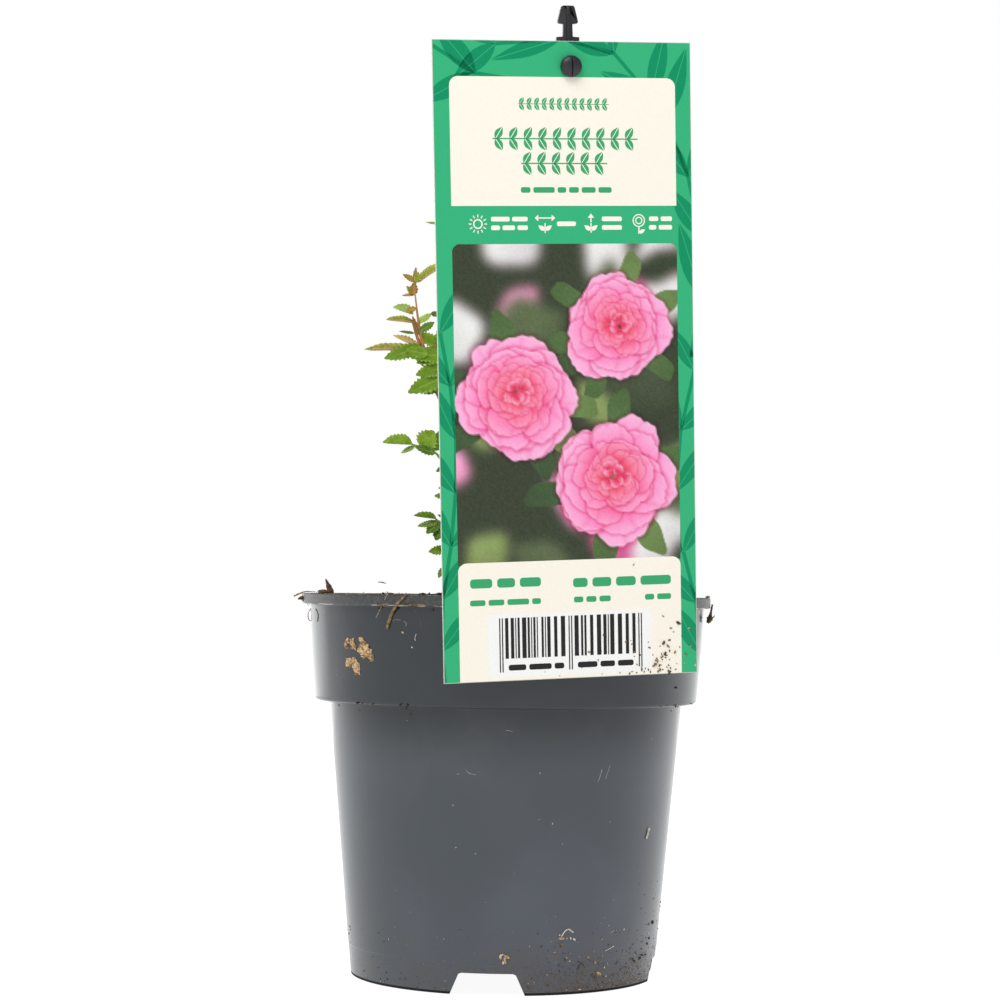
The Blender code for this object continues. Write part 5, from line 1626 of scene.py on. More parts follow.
def add_leaf_stalk(heap, leaf):
    """A grown leaf's stalk with the two wings at its root."""
    stalk, leaflets, youth = leaf
    beyond = stalk[-1] + (stalk[-1] - stalk[-2]).normalized() * 0.6 * MM
    fine = smooth_line([*stalk[:-1], beyond], 4)
    size = min(1.0, leaflets[0][3] / LEAFLET_LENGTH)
    root = STALK_RADIUS * 0.95 * (0.55 + 0.45 * size)
    widths = [root * (0.85 - 0.35 * i / (len(fine) - 1)) for i in range(len(fine))]
    widths[0] = root * 1.25
    pick = RED if youth > 0.35 else GREEN
    heap.add(tube(fine, widths, 7), pick)
    ahead = (fine[3] - fine[0]).normalized()
    side = ahead.cross(Vector((0, 0, 1))).normalized()
    up = side.cross(ahead).normalized()
    wing = min(4.2 * MM * (0.6 + 0.4 * size), (stalk[-1] - stalk[0]).length * 0.55)
    for turn in (1, -1):
        out = (ahead + side * (0.28 * turn)).normalized()
        heap.add(lens(fine[0] + side * (turn * root * 0.6), out, up, wing, wing * 0.24), pick)


def make_stems(name, mass):
    heap = Heap()
    stem = mass["stem"]
    own = GREEN if not mass["shoot"] else COPPER
    if name in SET_STEMS:
        radii = [radius * MM for radius in SET_STEM_RADII[name]]
        add_stem(heap, [from_axis(place) for place in SET_STEMS[name]], radii, own)
        for places, first, last, pick in SET_STALKS.get(name, ()):
            fine = smooth_line([from_axis(place) for place in places], 5)
            heap.add(tube(fine, taper(first * MM, last / first, len(fine)), 7), pick)
        stem = [point for point in stem if point.x > CARD_SIDE]
    if name != "shoot_left":
        sunk = 1.2 * MM if mass["shoot"] else 2.2 * MM
        first = mass["radii"][0]
        radii = (first, first * (0.4 if mass["shoot"] else 0.6))
        add_stem(heap, [stem[0] - (stem[1] - stem[0]).normalized() * sunk, *stem], radii, own)
        tip_bud(heap, stem[-1], (stem[-1] - stem[-2]).normalized())
    else:
        top = smooth_line([from_axis(place) for place in CANE_TOP], 3)
        heap.add(tube(top, taper(1.7 * MM, 0.2, len(top)), 12), MAROON)
    for leaf in mass["fine"]:
        add_leaf_stalk(heap, leaf)
    heap.make(f"{name}_stems", [copper_stem, green_stem, red_stalk, maroon_wood], "leaf_green", [name], sharp=60)


for name, mass in masses.items():
    make_stems(name, mass)

# %% [markdown]
# ## Leaflets
# A rose leaflet is a pointed oval with a sawn edge, folded a little along its midrib and puckered between the
# side veins. A flat cut-out with a leaf pattern would look dead from the side, so each is a thin closed
# blade: chevron rows follow the side veins from the midrib to the teeth, and every second row is raised.
# Colour is dealt out by leaf, so full-grown, fresh and just opened leaves each have plain finishes.


# %% Leaf finishes
def leaf_finish(name, colour, rough, spread=0.14):
    """A plain leaf colour with a slight mottling, and a skin of fine cells."""
    made, paint, shader = new_finish(name, colour, rough, Specular_IOR_Level=0.32)
    place = place_of(paint)
    paler = tuple(min(1.0, c * (1 + spread)) for c in colour)
    darker = tuple(c * (1 - spread) for c in colour)
    feed(shader, "Base Color", mottle(place, 420.0, 3.0).between(0.3, 0.7).tint((*darker, 1.0), (*paler, 1.0)))
    cells = mottle(place, 2400.0, 3.0)
    feed(shader, "Roughness", cells * 0.2 + (rough - 0.1))
    feed(shader, "Normal", relief(cells, 0.00005))
    return made


LEAF_KINDS = {
    "deep": (linear(88, 124, 34), linear(120, 150, 84)),
    "mid": (linear(112, 150, 34), linear(142, 168, 92)),
    "bright": (linear(138, 176, 44), linear(158, 182, 92)),
    "olive": (linear(146, 160, 40), linear(214, 182, 122)),
    "bronze": (linear(152, 136, 56), linear(176, 136, 82)),
    "bract": (linear(112, 76, 34), linear(128, 92, 50)),
}
leaf_finishes = {
    kind: (leaf_finish(f"{kind}_leaf_top", top, 0.48), leaf_finish(f"{kind}_leaf_underside", under, 0.62))
    for kind, (top, under) in LEAF_KINDS.items()
}
green_rib = leaf_finish("green_leaf_rib", linear(142, 166, 74), 0.5)
red_edge = leaf_finish("reddened_leaf_edge", linear(160, 108, 56), 0.5)


def kind_of(youth, chance):
    """Which kind of leaf finish a leaf of this age gets."""
    if youth > 0.75:
        return chance.choice(("bronze", "olive", "olive"))
    if youth > 0.35:
        return chance.choice(("olive", "bright"))
    return chance.choice(("deep", "mid", "mid", "bright"))


# %% One leaflet's blade
COLUMNS = (-1.0, -0.58, -0.07, 0.0, 0.07, 0.58, 1.0)
TOOTH_ROWS = ((0.0, 0.84), (0.64, 1.11))


def half_width(share):
    """Half of a leaflet's width at this share of its length, for a leaflet one wide."""
    return 1.245 * share**0.55 * (1 - share) ** 0.8


def blade(leaflet, chance, teeth, fold, bend):
    """A leaflet's closed mesh, and for each face 0 on top, 1 below, 2 on the rib, 3 on the edge."""
    root, ahead, up, length, width = leaflet
    side = up.cross(ahead)
    slope = math.tan(math.radians(fold))
    rest = 1 if fold < 30 else 0  # a strongly folded leaflet keeps a straight midrib
    phase, wave = chance.uniform(0, 6.28), chance.uniform(0.006, 0.016)
    rows = [(0.06 + 0.94 * (tooth + place) / teeth, size) for tooth in range(teeth) for place, size in TOOTH_ROWS]
    points = [root]
    last = len(COLUMNS)
    for i, (s, size) in enumerate(rows):
        arch = math.sin(math.pi * s)
        for under in (0, 1):
            for v in COLUMNS if under == 0 else COLUMNS[1:-1]:
                spine = s - 0.17 * (1 - abs(v)) * arch
                across = v * half_width(s) * size * width
                rise = slope * (abs(v) - rest) * half_width(s) * width
                rise -= bend * length * max(0.0, spine) ** 2.2
                rise += wave * length * math.sin(phase + 14 * s) * v * v
                if 0.2 < abs(v) < 0.9:
                    rise += (0.012 if i % 2 else -0.010) * length * arch
                if under:
                    rise -= length * (0.030 if v == 0 else 0.012) * min(1.0, arch * 3)
                points.append(root + ahead * (spine * length) + side * across + up * rise)
    points.append(root + ahead * length - up * (bend * length))
    stride = 2 * last - 2
    top = [list(range(1 + i * stride, 1 + i * stride + last)) for i in range(len(rows))]
    below = []
    for i in range(len(rows)):
        first = 1 + i * stride
        below.append([first, *range(first + last, first + stride), first + last - 1])
    faces, picks = [], []
    tip = len(points) - 1
    for skin, plain in ((top, 0), (below, 1)):
        for j in range(last - 1):
            pick = plain
            if plain == 0 and j in (2, 3):
                pick = 2
            elif plain == 0 and j in (0, 5):
                pick = 3
            quads = [(0, skin[0][j + 1], skin[0][j])]
            quads += [(a[j], a[j + 1], b[j + 1], b[j]) for a, b in zip(skin, skin[1:])]
            quads.append((skin[-1][j], skin[-1][j + 1], tip))
            faces += quads if plain else [tuple(reversed(quad)) for quad in quads]
            picks += [pick] * len(quads)
    return points, faces, picks


# %% Build the leaves
GROWN_FOLD = math.degrees(math.atan(2 * LEAFLET_FOLD / LEAFLET_SHARE))


def teeth_of(length):
    return 9 if length > 11 * MM else 8 if length > 8 * MM else 6 if length > 5 * MM else 4


def make_leaves(name, mass):
    chance = random.Random("blades " + name)
    heap, finishes = Heap(), []

    def pick_of(finish):
        if finish not in finishes:
            finishes.append(finish)
        return finishes.index(finish)

    def add_blade(leaflet, kind, fold, bend, edged=False):
        top, under = (pick_of(finish) for finish in leaf_finishes[kind])
        rib = pick_of(green_rib)
        edge = pick_of(red_edge) if edged else top
        points, faces, picks = blade(leaflet, chance, teeth_of(leaflet[3]), fold, bend)
        choices = (top, under, rib, edge)
        heap.add((points, faces), [choices[pick] for pick in picks])

    for _, leaflets, youth in mass["fine"]:
        kind = kind_of(youth, chance)
        edged = youth > 0.6 and chance.random() < 0.4
        for leaflet in leaflets:
            fold = GROWN_FOLD * (1 + 0.7 * youth) * chance.uniform(0.8, 1.2)
            add_blade(leaflet, kind, fold, chance.uniform(0.03, 0.10), edged)
    for kind, start, end, width, roll, fold, bend in SET_LEAFLETS.get(name, ()):
        add_blade(set_leaflet(start, end, width, roll), kind, fold, bend, kind in ("bronze", "bract"))
    heap.make(f"{name}_leaves", finishes, "leaf_green", [name], sharp=75)


for name, mass in masses.items():
    make_leaves(name, mass)

# %% [markdown]
# ## The printed card
# A plant label is white board, printed and varnished on its front. Real ink has no thickness, but two faces in
# one plane would flicker. So each ink is a closed layer a fiftieth of a millimetre thick, cut to its own
# outline, and a later ink lies a little further out. The design is generic: plain bars and sprigs of leaves
# stand where such a card carries its words.

# %% Inks
INK_STEP = 0.02 * MM


def ink(name, colour, rough=0.42):
    """Printed and varnished board: nearly one colour, with the fine tooth of the board in it."""
    made, paint, shader = new_finish(name, colour, rough, Specular_IOR_Level=0.2)
    place = place_of(paint)
    tooth = mottle(place, 2600.0, 2.0)
    darker = tuple(c * 0.98 for c in colour)
    paler = tuple(min(1.0, c * 1.02) for c in colour)
    feed(shader, "Base Color", tooth.between(0.3, 0.7).tint((*darker, 1.0), (*paler, 1.0)))
    feed(shader, "Roughness", tooth * 0.14 + (rough - 0.07))
    feed(shader, "Normal", relief(tooth, 0.000012))
    return made


white_board = ink("white_board", linear(206, 204, 198), 0.6)
leaf_green_ink = ink("leaf_green_ink", linear(52, 180, 124))
deep_green_ink = ink("deep_green_ink", linear(4, 146, 98))
cream_ink = ink("cream_ink", linear(252, 246, 232))
word_green_ink = ink("word_green_ink", linear(58, 168, 110))
white_ink = ink("white_ink", linear(248, 248, 246))
black_ink = ink("black_ink", linear(38, 36, 38))
INKS = [leaf_green_ink, deep_green_ink, cream_ink, word_green_ink, white_ink, black_ink]
LEAF_GREEN, DEEP_GREEN, CREAM, WORD_GREEN, WHITE, BLACK = range(6)

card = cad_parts["label_card"]
card.data.materials.clear()
card.data.materials.append(white_board)


# %% Outlines on the card, in X across it and the drop from its top edge
def arc(x, drop, radius, start, end, steps=8):
    turns = [math.radians(start + (end - start) * i / steps) for i in range(steps + 1)]
    return [(x + radius * math.cos(turn), drop - radius * math.sin(turn)) for turn in turns]


def panel(left, right, top, foot, upper_corner=0.0, lower_corner=0.0):
    """A box with round corners. A corner of no size is square."""
    outline = []
    for x, drop, start, corner in (
        (right, top, 0, upper_corner),
        (left, top, 90, upper_corner),
        (left, foot, 180, lower_corner),
        (right, foot, 270, lower_corner),
    ):
        inward_x = -corner if x == right else corner
        inward_drop = corner if drop == top else -corner
        if corner:
            outline += arc(x + inward_x, drop + inward_drop, corner, start, start + 90)
        else:
            outline.append((x, drop))
    return outline


def bar(left, right, middle, height):
    return panel(left, right, middle - height / 2, middle + height / 2, height * 0.35, height * 0.35)


def stroke(line, width):
    """A band of this width along a line of points, with square ends."""
    sides = ([], [])
    for i, (x, drop) in enumerate(line):
        before, after = line[max(i - 1, 0)], line[min(i + 1, len(line) - 1)]
        run = math.hypot(after[0] - before[0], after[1] - before[1])
        across = (-(after[1] - before[1]) / run * width / 2, (after[0] - before[0]) / run * width / 2)
        sides[0].append((x + across[0], drop + across[1]))
        sides[1].append((x - across[0], drop - across[1]))
    return sides[0] + sides[1][::-1]


def half_leaf(x, drop, turn, length, width, hand, rib=0.0):
    """One half of a pointed leaf, beside its midrib. The hand is 1 or -1."""
    ahead = (math.cos(math.radians(turn)), -math.sin(math.radians(turn)))
    outline = []
    for i in range(9):
        s = i / 8
        out = rib / 2 + (width / 2) * math.sin(math.pi * s**0.85) if 0 < i < 8 else rib / 2
        outline.append((s, out))
    outline += [(1 - rib / length, rib / 2)] if rib == 0 else []
    return [
        (x + ahead[0] * s * length - ahead[1] * out * hand, drop + ahead[1] * s * length + ahead[0] * out * hand)
        for s, out in outline
    ]


def clipped(outline, left, right, top, foot):
    """The part of an outline that lies in a box."""
    for axis, limit, sign in ((0, left, 1), (0, right, -1), (1, top, 1), (1, foot, -1)):
        kept = []
        for a, b in zip(outline, outline[1:] + outline[:1]):
            inside_a, inside_b = sign * (a[axis] - limit), sign * (b[axis] - limit)
            if inside_a >= 0:
                kept.append(a)
            if (inside_a < 0) != (inside_b < 0):
                t = inside_a / (inside_a - inside_b)
                kept.append((a[0] + (b[0] - a[0]) * t, a[1] + (b[1] - a[1]) * t))
        outline = kept
    return outline


# %% From an outline to a layer of ink
def on_card(x, drop, lift=0.0):
    """A point on the card's printed face, this far in front of it."""
    return CARD_MATRIX @ Vector((x, -CARD_THICKNESS / 2 - lift, CARD_HEIGHT - drop))


def inked(level, outline, *holes):
    """A closed layer of ink with this outline, less the holes in it."""
    loops = []
    for number, loop in enumerate([outline, *holes]):
        area = sum(a[0] * b[1] - b[0] * a[1] for a, b in zip(loop, loop[1:] + loop[:1]))
        loops.append(loop[::-1] if (area > 0) == (number == 0) else loop)
    flat = [point for loop in loops for point in loop]
    front = [on_card(*point, INK_STEP * (level + 1)) for point in flat]
    back = [on_card(*point, -INK_STEP / 2) for point in flat]
    count, faces = len(flat), []
    for face in tessellate_polygon([[Vector((x, -drop, 0)) for x, drop in loop] for loop in loops]):
        a, b, c = (flat[i] for i in face)
        if (b[0] - a[0]) * (c[1] - a[1]) - (c[0] - a[0]) * (b[1] - a[1]) > 0:
            face = face[::-1]
        faces += [tuple(face), tuple(i + count for i in reversed(face))]
    first = 0
    for loop in loops:
        for i in range(len(loop)):
            a, b = first + i, first + (i + 1) % len(loop)
            faces.append((a, a + count, b + count, b))
        first += len(loop)
    return front + back, faces


# %% Ground, leaf sprays and panels
CARD_EDGE = 0.18 * MM  # white board that shows round the print
PANEL_EDGE = 34.0 * MM
TOP_PANEL = (10.4 * MM, 47.5 * MM)
PICTURE = (58.5 * MM, 151.8 * MM)
LOWER_PANEL_TOP = 151.1 * MM
PANEL_CORNER = 2.6 * MM
HALF_CARD = CARD_WIDTH / 2 - CARD_EDGE


def card_spray(print_heap, chance, line, size):
    """A curved stalk with leaves on both sides, cut off at the card's edges."""
    edges = (-HALF_CARD, HALF_CARD, CARD_EDGE, CARD_HEIGHT - CARD_EDGE)
    for i in range(1, len(line)):
        (x, drop), (from_x, from_drop) = line[i], line[i - 1]
        heading = math.degrees(math.atan2(-(drop - from_drop), x - from_x))
        for hand in (1, -1):
            turn = heading + hand * chance.uniform(24, 44)
            length, width = size * chance.uniform(0.8, 1.15), size * chance.uniform(0.22, 0.30)
            for half in (1, -1):
                outline = clipped(half_leaf(x, drop, turn, length, width, half, 0.25 * MM), *edges)
                if len(outline) > 2:
                    print_heap.add(inked(1, outline), DEEP_GREEN)
    outline = clipped(stroke(line, 1.1 * MM), *edges)
    if len(outline) > 2:
        print_heap.add(inked(1, outline), DEEP_GREEN)


def bowed(start, end, bow, steps):
    """Points from start to end along a shallow bow."""
    run = (end[0] - start[0], end[1] - start[1])
    points = []
    for i in range(steps + 1):
        t = i / steps
        out = bow * math.sin(math.pi * t)
        points.append((start[0] + run[0] * t - run[1] * out, start[1] + run[1] * t + run[0] * out))
    return points


def print_ground(print_heap):
    hole = arc(HOLE_X, HOLE_DROP, HOLE_RADIUS + 0.05 * MM, 0, 345, 23)
    sheet = panel(-HALF_CARD, HALF_CARD, CARD_EDGE, CARD_HEIGHT - CARD_EDGE)
    print_heap.add(inked(0, sheet, hole), LEAF_GREEN)
    chance = random.Random("card sprays")
    for start, end, bow, steps, size in (
        ((-10, 12), (-40, 1), -0.10, 2, 22),
        ((34, 34), (-20, 1), 0.26, 4, 19),
        ((38, 92), (31, 22), 0.10, 4, 20),
        ((34, 150), (39, 96), -0.06, 3, 18),
        ((-36, 146), (-38, 84), 0.05, 4, 20),
        ((-38, 192), (-36, 146), -0.05, 3, 19),
        ((39, 196), (35, 150), 0.06, 3, 18),
    ):
        line = [(x * MM, drop * MM) for x, drop in bowed(start, end, bow, steps)]
        card_spray(print_heap, chance, line, size * MM)
    print_heap.add(inked(2, panel(-PANEL_EDGE, PANEL_EDGE, *TOP_PANEL, PANEL_CORNER)), CREAM)
    foot = CARD_HEIGHT - CARD_EDGE
    print_heap.add(inked(3, panel(-PANEL_EDGE, PANEL_EDGE, LOWER_PANEL_TOP, foot, PANEL_CORNER)), CREAM)
    for hand in (1, -1):
        x, top = hand * (PANEL_EDGE + 0.1 * MM), PICTURE[0] - 0.1 * MM
        inner = x - hand * PANEL_CORNER
        turns = (0, 90) if hand > 0 else (180, 90)
        print_heap.add(inked(3, [(x, top), *arc(inner, top + PANEL_CORNER, PANEL_CORNER, *turns)]), LEAF_GREEN)


# %% Bars and sprigs in place of words, and the care signs
def sprig(print_heap, left, right, middle, size, colour, count):
    """An upright-leaved garland: a thin stalk with a pair of leaves at each step along it."""
    print_heap.add(inked(3, stroke([(left, middle + size * 0.1), (right, middle + size * 0.1)], size * 0.08)), colour)
    for i in range(count):
        x = left + (right - left) * (i + 0.2) / count
        for turn in (58, -58):
            for half in (1, -1):
                leaf = half_leaf(x, middle + size * 0.1, turn, size * 0.85, size * 0.46, half, size * 0.05)
                print_heap.add(inked(3, leaf), colour)


def words(print_heap, left, right, middle, height, colour, seed, level=4):
    """A line of short rounded bars that stands for small print."""
    chance = random.Random(seed)
    x = left
    while x < right - height:
        end = min(right, x + height * chance.uniform(1.6, 4.2))
        if right - end < height * 1.6:
            end = right
        print_heap.add(inked(level, bar(x, end, middle, height)), colour)
        x = end + height * 0.55


def care_signs(print_heap):
    """Sun, spread, height and flower, as plain pictures in the green band."""
    x, drop = -26.2 * MM, 52.7 * MM
    print_heap.add(inked(2, arc(x, drop, 1.45 * MM, 0, 345, 23), arc(x, drop, 1.05 * MM, 0, 345, 23)), CREAM)
    for i in range(12):
        turn = math.radians(i * 30)
        near, far = 1.9 * MM, 2.75 * MM
        ends = [(x + r * math.cos(turn), drop + r * math.sin(turn)) for r in (near, far)]
        print_heap.add(inked(2, stroke(ends, 0.32 * MM)), CREAM)
    for x, level in ((-6.1 * MM, True), (7.8 * MM, False)):
        print_heap.add(inked(2, stroke([(x, drop + 2.6 * MM), (x, drop - 0.2 * MM)], 0.36 * MM)), CREAM)
        for turn in (35, 145):
            for half in (1, -1):
                print_heap.add(inked(2, half_leaf(x, drop + 1.9 * MM, turn, 2.5 * MM, 1.3 * MM, half)), CREAM)
        if level:
            ground = [(x - 2.2 * MM, drop - 1.7 * MM), (x + 2.2 * MM, drop - 1.7 * MM)]
            print_heap.add(inked(2, stroke(ground, 0.36 * MM)), CREAM)
            for hand in (1, -1):
                head = [(x + hand * 3.1 * MM, drop - 1.7 * MM)]
                head += [(x + hand * 2.0 * MM, drop - 1.7 * MM + up * 0.95 * MM) for up in (hand, -hand)]
                print_heap.add(inked(2, head), CREAM)
        else:
            head = [(x, drop - 3.0 * MM), (x + 1.0 * MM, drop - 1.7 * MM), (x - 1.0 * MM, drop - 1.7 * MM)]
            print_heap.add(inked(2, head), CREAM)
            print_heap.add(inked(2, stroke([(x, drop - 0.4 * MM), (x, drop - 1.8 * MM)], 0.36 * MM)), CREAM)
    x = 22.4 * MM
    for radius in (1.9 * MM, 1.1 * MM):
        outer = arc(x, drop - 0.9 * MM, radius, 0, 345, 23)
        print_heap.add(inked(2, outer, arc(x, drop - 0.9 * MM, radius - 0.32 * MM, 0, 345, 23)), CREAM)
    print_heap.add(inked(2, stroke([(x, drop + 1.0 * MM), (x, drop + 3.0 * MM)], 0.36 * MM)), CREAM)
    for half in (1, -1):
        print_heap.add(inked(2, half_leaf(x, drop + 2.8 * MM, 30, 2.2 * MM, 1.1 * MM, half)), CREAM)


def print_card():
    print_heap = Heap()
    print_ground(print_heap)
    care_signs(print_heap)
    sprig(print_heap, -13.6 * MM, 13.7 * MM, 17.9 * MM, 2.6 * MM, WORD_GREEN, 12)
    sprig(print_heap, -21.4 * MM, 22.3 * MM, 27.7 * MM, 4.6 * MM, WORD_GREEN, 10)
    sprig(print_heap, -13.0 * MM, 13.0 * MM, 34.8 * MM, 4.6 * MM, WORD_GREEN, 6)
    words(print_heap, -13.2 * MM, 14.2 * MM, 42.9 * MM, 1.6 * MM, WORD_GREEN, "kind")
    for left, right in ((-22.3, -11.3), (-2.5, 3.2), (11.1, 17.2), (25.5, 32.6)):
        rows = (51.3, 53.8) if left != -2.5 else (52.7,)
        for row in rows:
            words(print_heap, left * MM, right * MM, row * MM, 1.35 * MM, CREAM, f"care {left} {row}")
    words(print_heap, -30.5 * MM, -9.1 * MM, 157.2 * MM, 2.7 * MM, WORD_GREEN, "bar a")
    words(print_heap, 0.7 * MM, 30.9 * MM, 157.9 * MM, 2.7 * MM, WORD_GREEN, "bar b")
    for left, right in ((-30.6, -9.2), (0.9, 12.2), (22.8, 30.9)):
        words(print_heap, left * MM, right * MM, 162.9 * MM, 1.7 * MM, WORD_GREEN, f"row {left}")
    print_heap.add(inked(4, panel(-25.4 * MM, 24.8 * MM, 166.4 * MM, 184.9 * MM)), WHITE)
    stripe_feet = 179.6 * MM
    chance = random.Random("stripes")
    for left, right in ((-20.2, -1.5), (0.9, 19.9)):
        x = left * MM
        while x < right * MM:
            width = chance.choice((0.33, 0.66, 0.66, 0.99, 1.3)) * MM
            print_heap.add(inked(5, panel(x, min(x + width, right * MM), 167.6 * MM, stripe_feet)), BLACK)
            x += width + chance.choice((0.38, 0.38, 0.7, 1.1)) * MM
        words(print_heap, (left + 0.9) * MM, (right - 0.9) * MM, 182.3 * MM, 1.7 * MM, BLACK, f"stripes {left}", 5)
    for x in (-22.0, -21.2, -0.9, -0.1, 20.6, 21.4):  # long pairs at both ends and in the middle
        print_heap.add(inked(5, panel(x * MM, (x + 0.36) * MM, 167.6 * MM, stripe_feet + 4.0 * MM)), BLACK)
    print_heap.make("card_print", INKS, "card_print", smooth=False)


print_card()

# %% [markdown]
# ## The picture on the card
# Such a card shows the flower that the plant will bear. This one is an invented bunch of pink double roses
# over blurred leaves. It is painted in code, back to front, onto a fine grid: soft blobs for what is out of
# focus, and then for each rose its petals from the outermost to the heart, each a ruffled patch that is deep
# where it dips under the next and pale at its rim. The grid's points carry the colours.

# %% Canvas and brushes
CELL = 0.42 * MM
PICTURE_COLUMNS = round(2 * PANEL_EDGE / CELL)
PICTURE_ROWS = round((PICTURE[1] - PICTURE[0]) / CELL)
ACROSS, DOWN = np.meshgrid(
    np.linspace(-PANEL_EDGE, PANEL_EDGE, PICTURE_COLUMNS + 1) / MM,
    np.linspace(*PICTURE, PICTURE_ROWS + 1) / MM,
)


def soft_step(values, low, high):
    t = np.clip((values - low) / (high - low), 0.0, 1.0)
    return t * t * (3 - 2 * t)


def blur(canvas, cells, rounds=3):
    """A soft blur: the mean of the neighbours within this many cells, three times over."""
    for _ in range(rounds):
        for axis in (0, 1):
            pad = [(cells + 1, cells) if i == axis else (0, 0) for i in range(3)]
            total = np.cumsum(np.pad(canvas, pad, mode="edge"), axis=axis)
            size = 2 * cells + 1
            ahead, behind = [slice(None)] * 3, [slice(None)] * 3
            ahead[axis], behind[axis] = slice(size, None), slice(None, -size)
            canvas[:] = (total[tuple(ahead)] - total[tuple(behind)]) / size


def petal(canvas, heart, turn, reach, length, width, colours, chance):
    """One petal of a rose at this turn about its heart, from its hidden base out to its ruffled rim."""
    base, middle, rim = (np.asarray(colour) for colour in colours)
    x, y = ACROSS - heart[0], DOWN - heart[1]
    ahead = (math.cos(turn), math.sin(turn))
    along = (x * ahead[0] + y * ahead[1] - (reach - length)) / length
    side = (-x * ahead[1] + y * ahead[0]) / (width / 2)
    side = side + chance.uniform(-0.35, 0.35) * (along - 0.5)
    bearing = np.arctan2(along - 0.4, side)
    ruffle = 1 + 0.05 * np.sin(chance.choice((3, 4, 5)) * bearing + chance.uniform(0, 6.28))
    ruffle += 0.025 * np.sin(chance.choice((9, 11, 13)) * bearing + chance.uniform(0, 6.28))
    lobes = ((along - 0.45) / 0.55) ** 2
    edge = np.where(along > 0.45, lobes + np.abs(side) ** 2.6, (np.abs(side) / np.clip(0.55 + along, 0.3, 1)) ** 2.4)
    edge = edge / ruffle**2
    cell = 1.4 / width
    cover = (1 - soft_step(edge, 1 - cell, 1 + cell)) * soft_step(along, -0.05, 0.05)
    shadow = (1 - soft_step(edge, 0.85, 1.6)) * soft_step(along, 0.0, 0.2)
    canvas *= 1 - shadow[..., None] * (0.09, 0.36, 0.28)
    tone = middle + (rim - middle) * soft_step(along, 0.35, 1.0)[..., None]
    tone = tone + (base - tone) * (1 - soft_step(along, -0.1, 0.6))[..., None]
    lit = side * chance.choice((1, -1)) + chance.uniform(-0.2, 0.2)
    tone = tone + (rim - tone) * (0.5 * soft_step(lit, 0.0, 1.1))[..., None]
    fold = np.exp(-(((side - chance.uniform(-0.5, 0.5)) / 0.10) ** 2)) * soft_step(along, 0.2, 0.6)
    tone = tone + (base - tone) * (0.22 * fold)[..., None]
    curl = soft_step(edge, 0.80, 0.98) * soft_step(along, 0.5, 0.8)
    tone = tone + (np.asarray((255, 214, 234)) - tone) * (0.45 * curl)[..., None]
    canvas += (tone - canvas) * cover[..., None]


ROSE_RINGS = (  # petals, their reach and width as shares of the rose, and their base, middle and rim
    (9, 1.00, 0.96, (232, 92, 146), (250, 138, 190), (253, 176, 214)),
    (8, 0.84, 0.80, (230, 80, 126), (249, 120, 172), (253, 166, 206)),
    (8, 0.66, 0.62, (226, 72, 106), (246, 104, 146), (252, 152, 190)),
    (12, 0.50, 0.40, (220, 60, 84), (243, 92, 122), (250, 140, 170)),
    (16, 0.36, 0.26, (208, 46, 70), (238, 84, 104), (249, 138, 160)),
    (12, 0.22, 0.17, (200, 42, 64), (236, 84, 108), (252, 170, 190)),
)


def rosette(canvas, heart, radius, chance, lean=(-0.24, -0.2)):
    """A loose double rose: rings of petals from the rim to the heart, which leans off the middle."""
    for number, (count, reach, width, *colours) in enumerate(ROSE_RINGS):
        inward = number / (len(ROSE_RINGS) - 1)
        start = chance.uniform(0, 6.28)
        for i in range(count):
            turn = start + 2 * math.pi * (i * 3 % count if count % 3 else i) / count + chance.uniform(-0.3, 0.3)
            loose = radius * 0.07 * inward
            middle = [heart[k] + radius * lean[k] * inward + chance.uniform(-loose, loose) for k in (0, 1)]
            out = radius * reach * chance.uniform(0.86, 1.08)
            broad = radius * width * chance.uniform(0.8, 1.15)
            petal(canvas, middle, turn, out, out * chance.uniform(0.6, 0.85), broad, colours, chance)


# %% Paint the picture
# A bunch of three roses, each on a few leaves, before an out-of-focus garden.
GARDEN_COLOURS = (
    (46, 74, 42), (34, 60, 32), (64, 96, 52), (112, 150, 74), (206, 84, 130), (252, 160, 200), (222, 226, 220),
)
BUNCH = (  # heart of each rose across and down the card, and its radius, in mm
    ((15, 83), 16),
    ((-16, 103), 18),
    ((13, 128), 19),
)
LEAF_TONES = ((58, 104, 46), (84, 132, 60), (44, 84, 40))


def soft_shape(canvas, colour, place, sizes, turn, rim=(0.75, 1.15)):
    """An oval with a soft rim, shaded a little across."""
    turn = math.radians(turn)
    x, y = ACROSS - place[0], DOWN - place[1]
    a = (x * math.cos(turn) + y * math.sin(turn)) / sizes[0]
    b = (-x * math.sin(turn) + y * math.cos(turn)) / sizes[1]
    far = a * a + b * b + 0.16 * np.sin(4 * np.arctan2(b, a) + place[0])
    shade = (1 - 0.10 * np.clip(a, -1, 1))[..., None]
    canvas += (np.asarray(colour) * shade - canvas) * (1 - soft_step(far, *rim))[..., None]


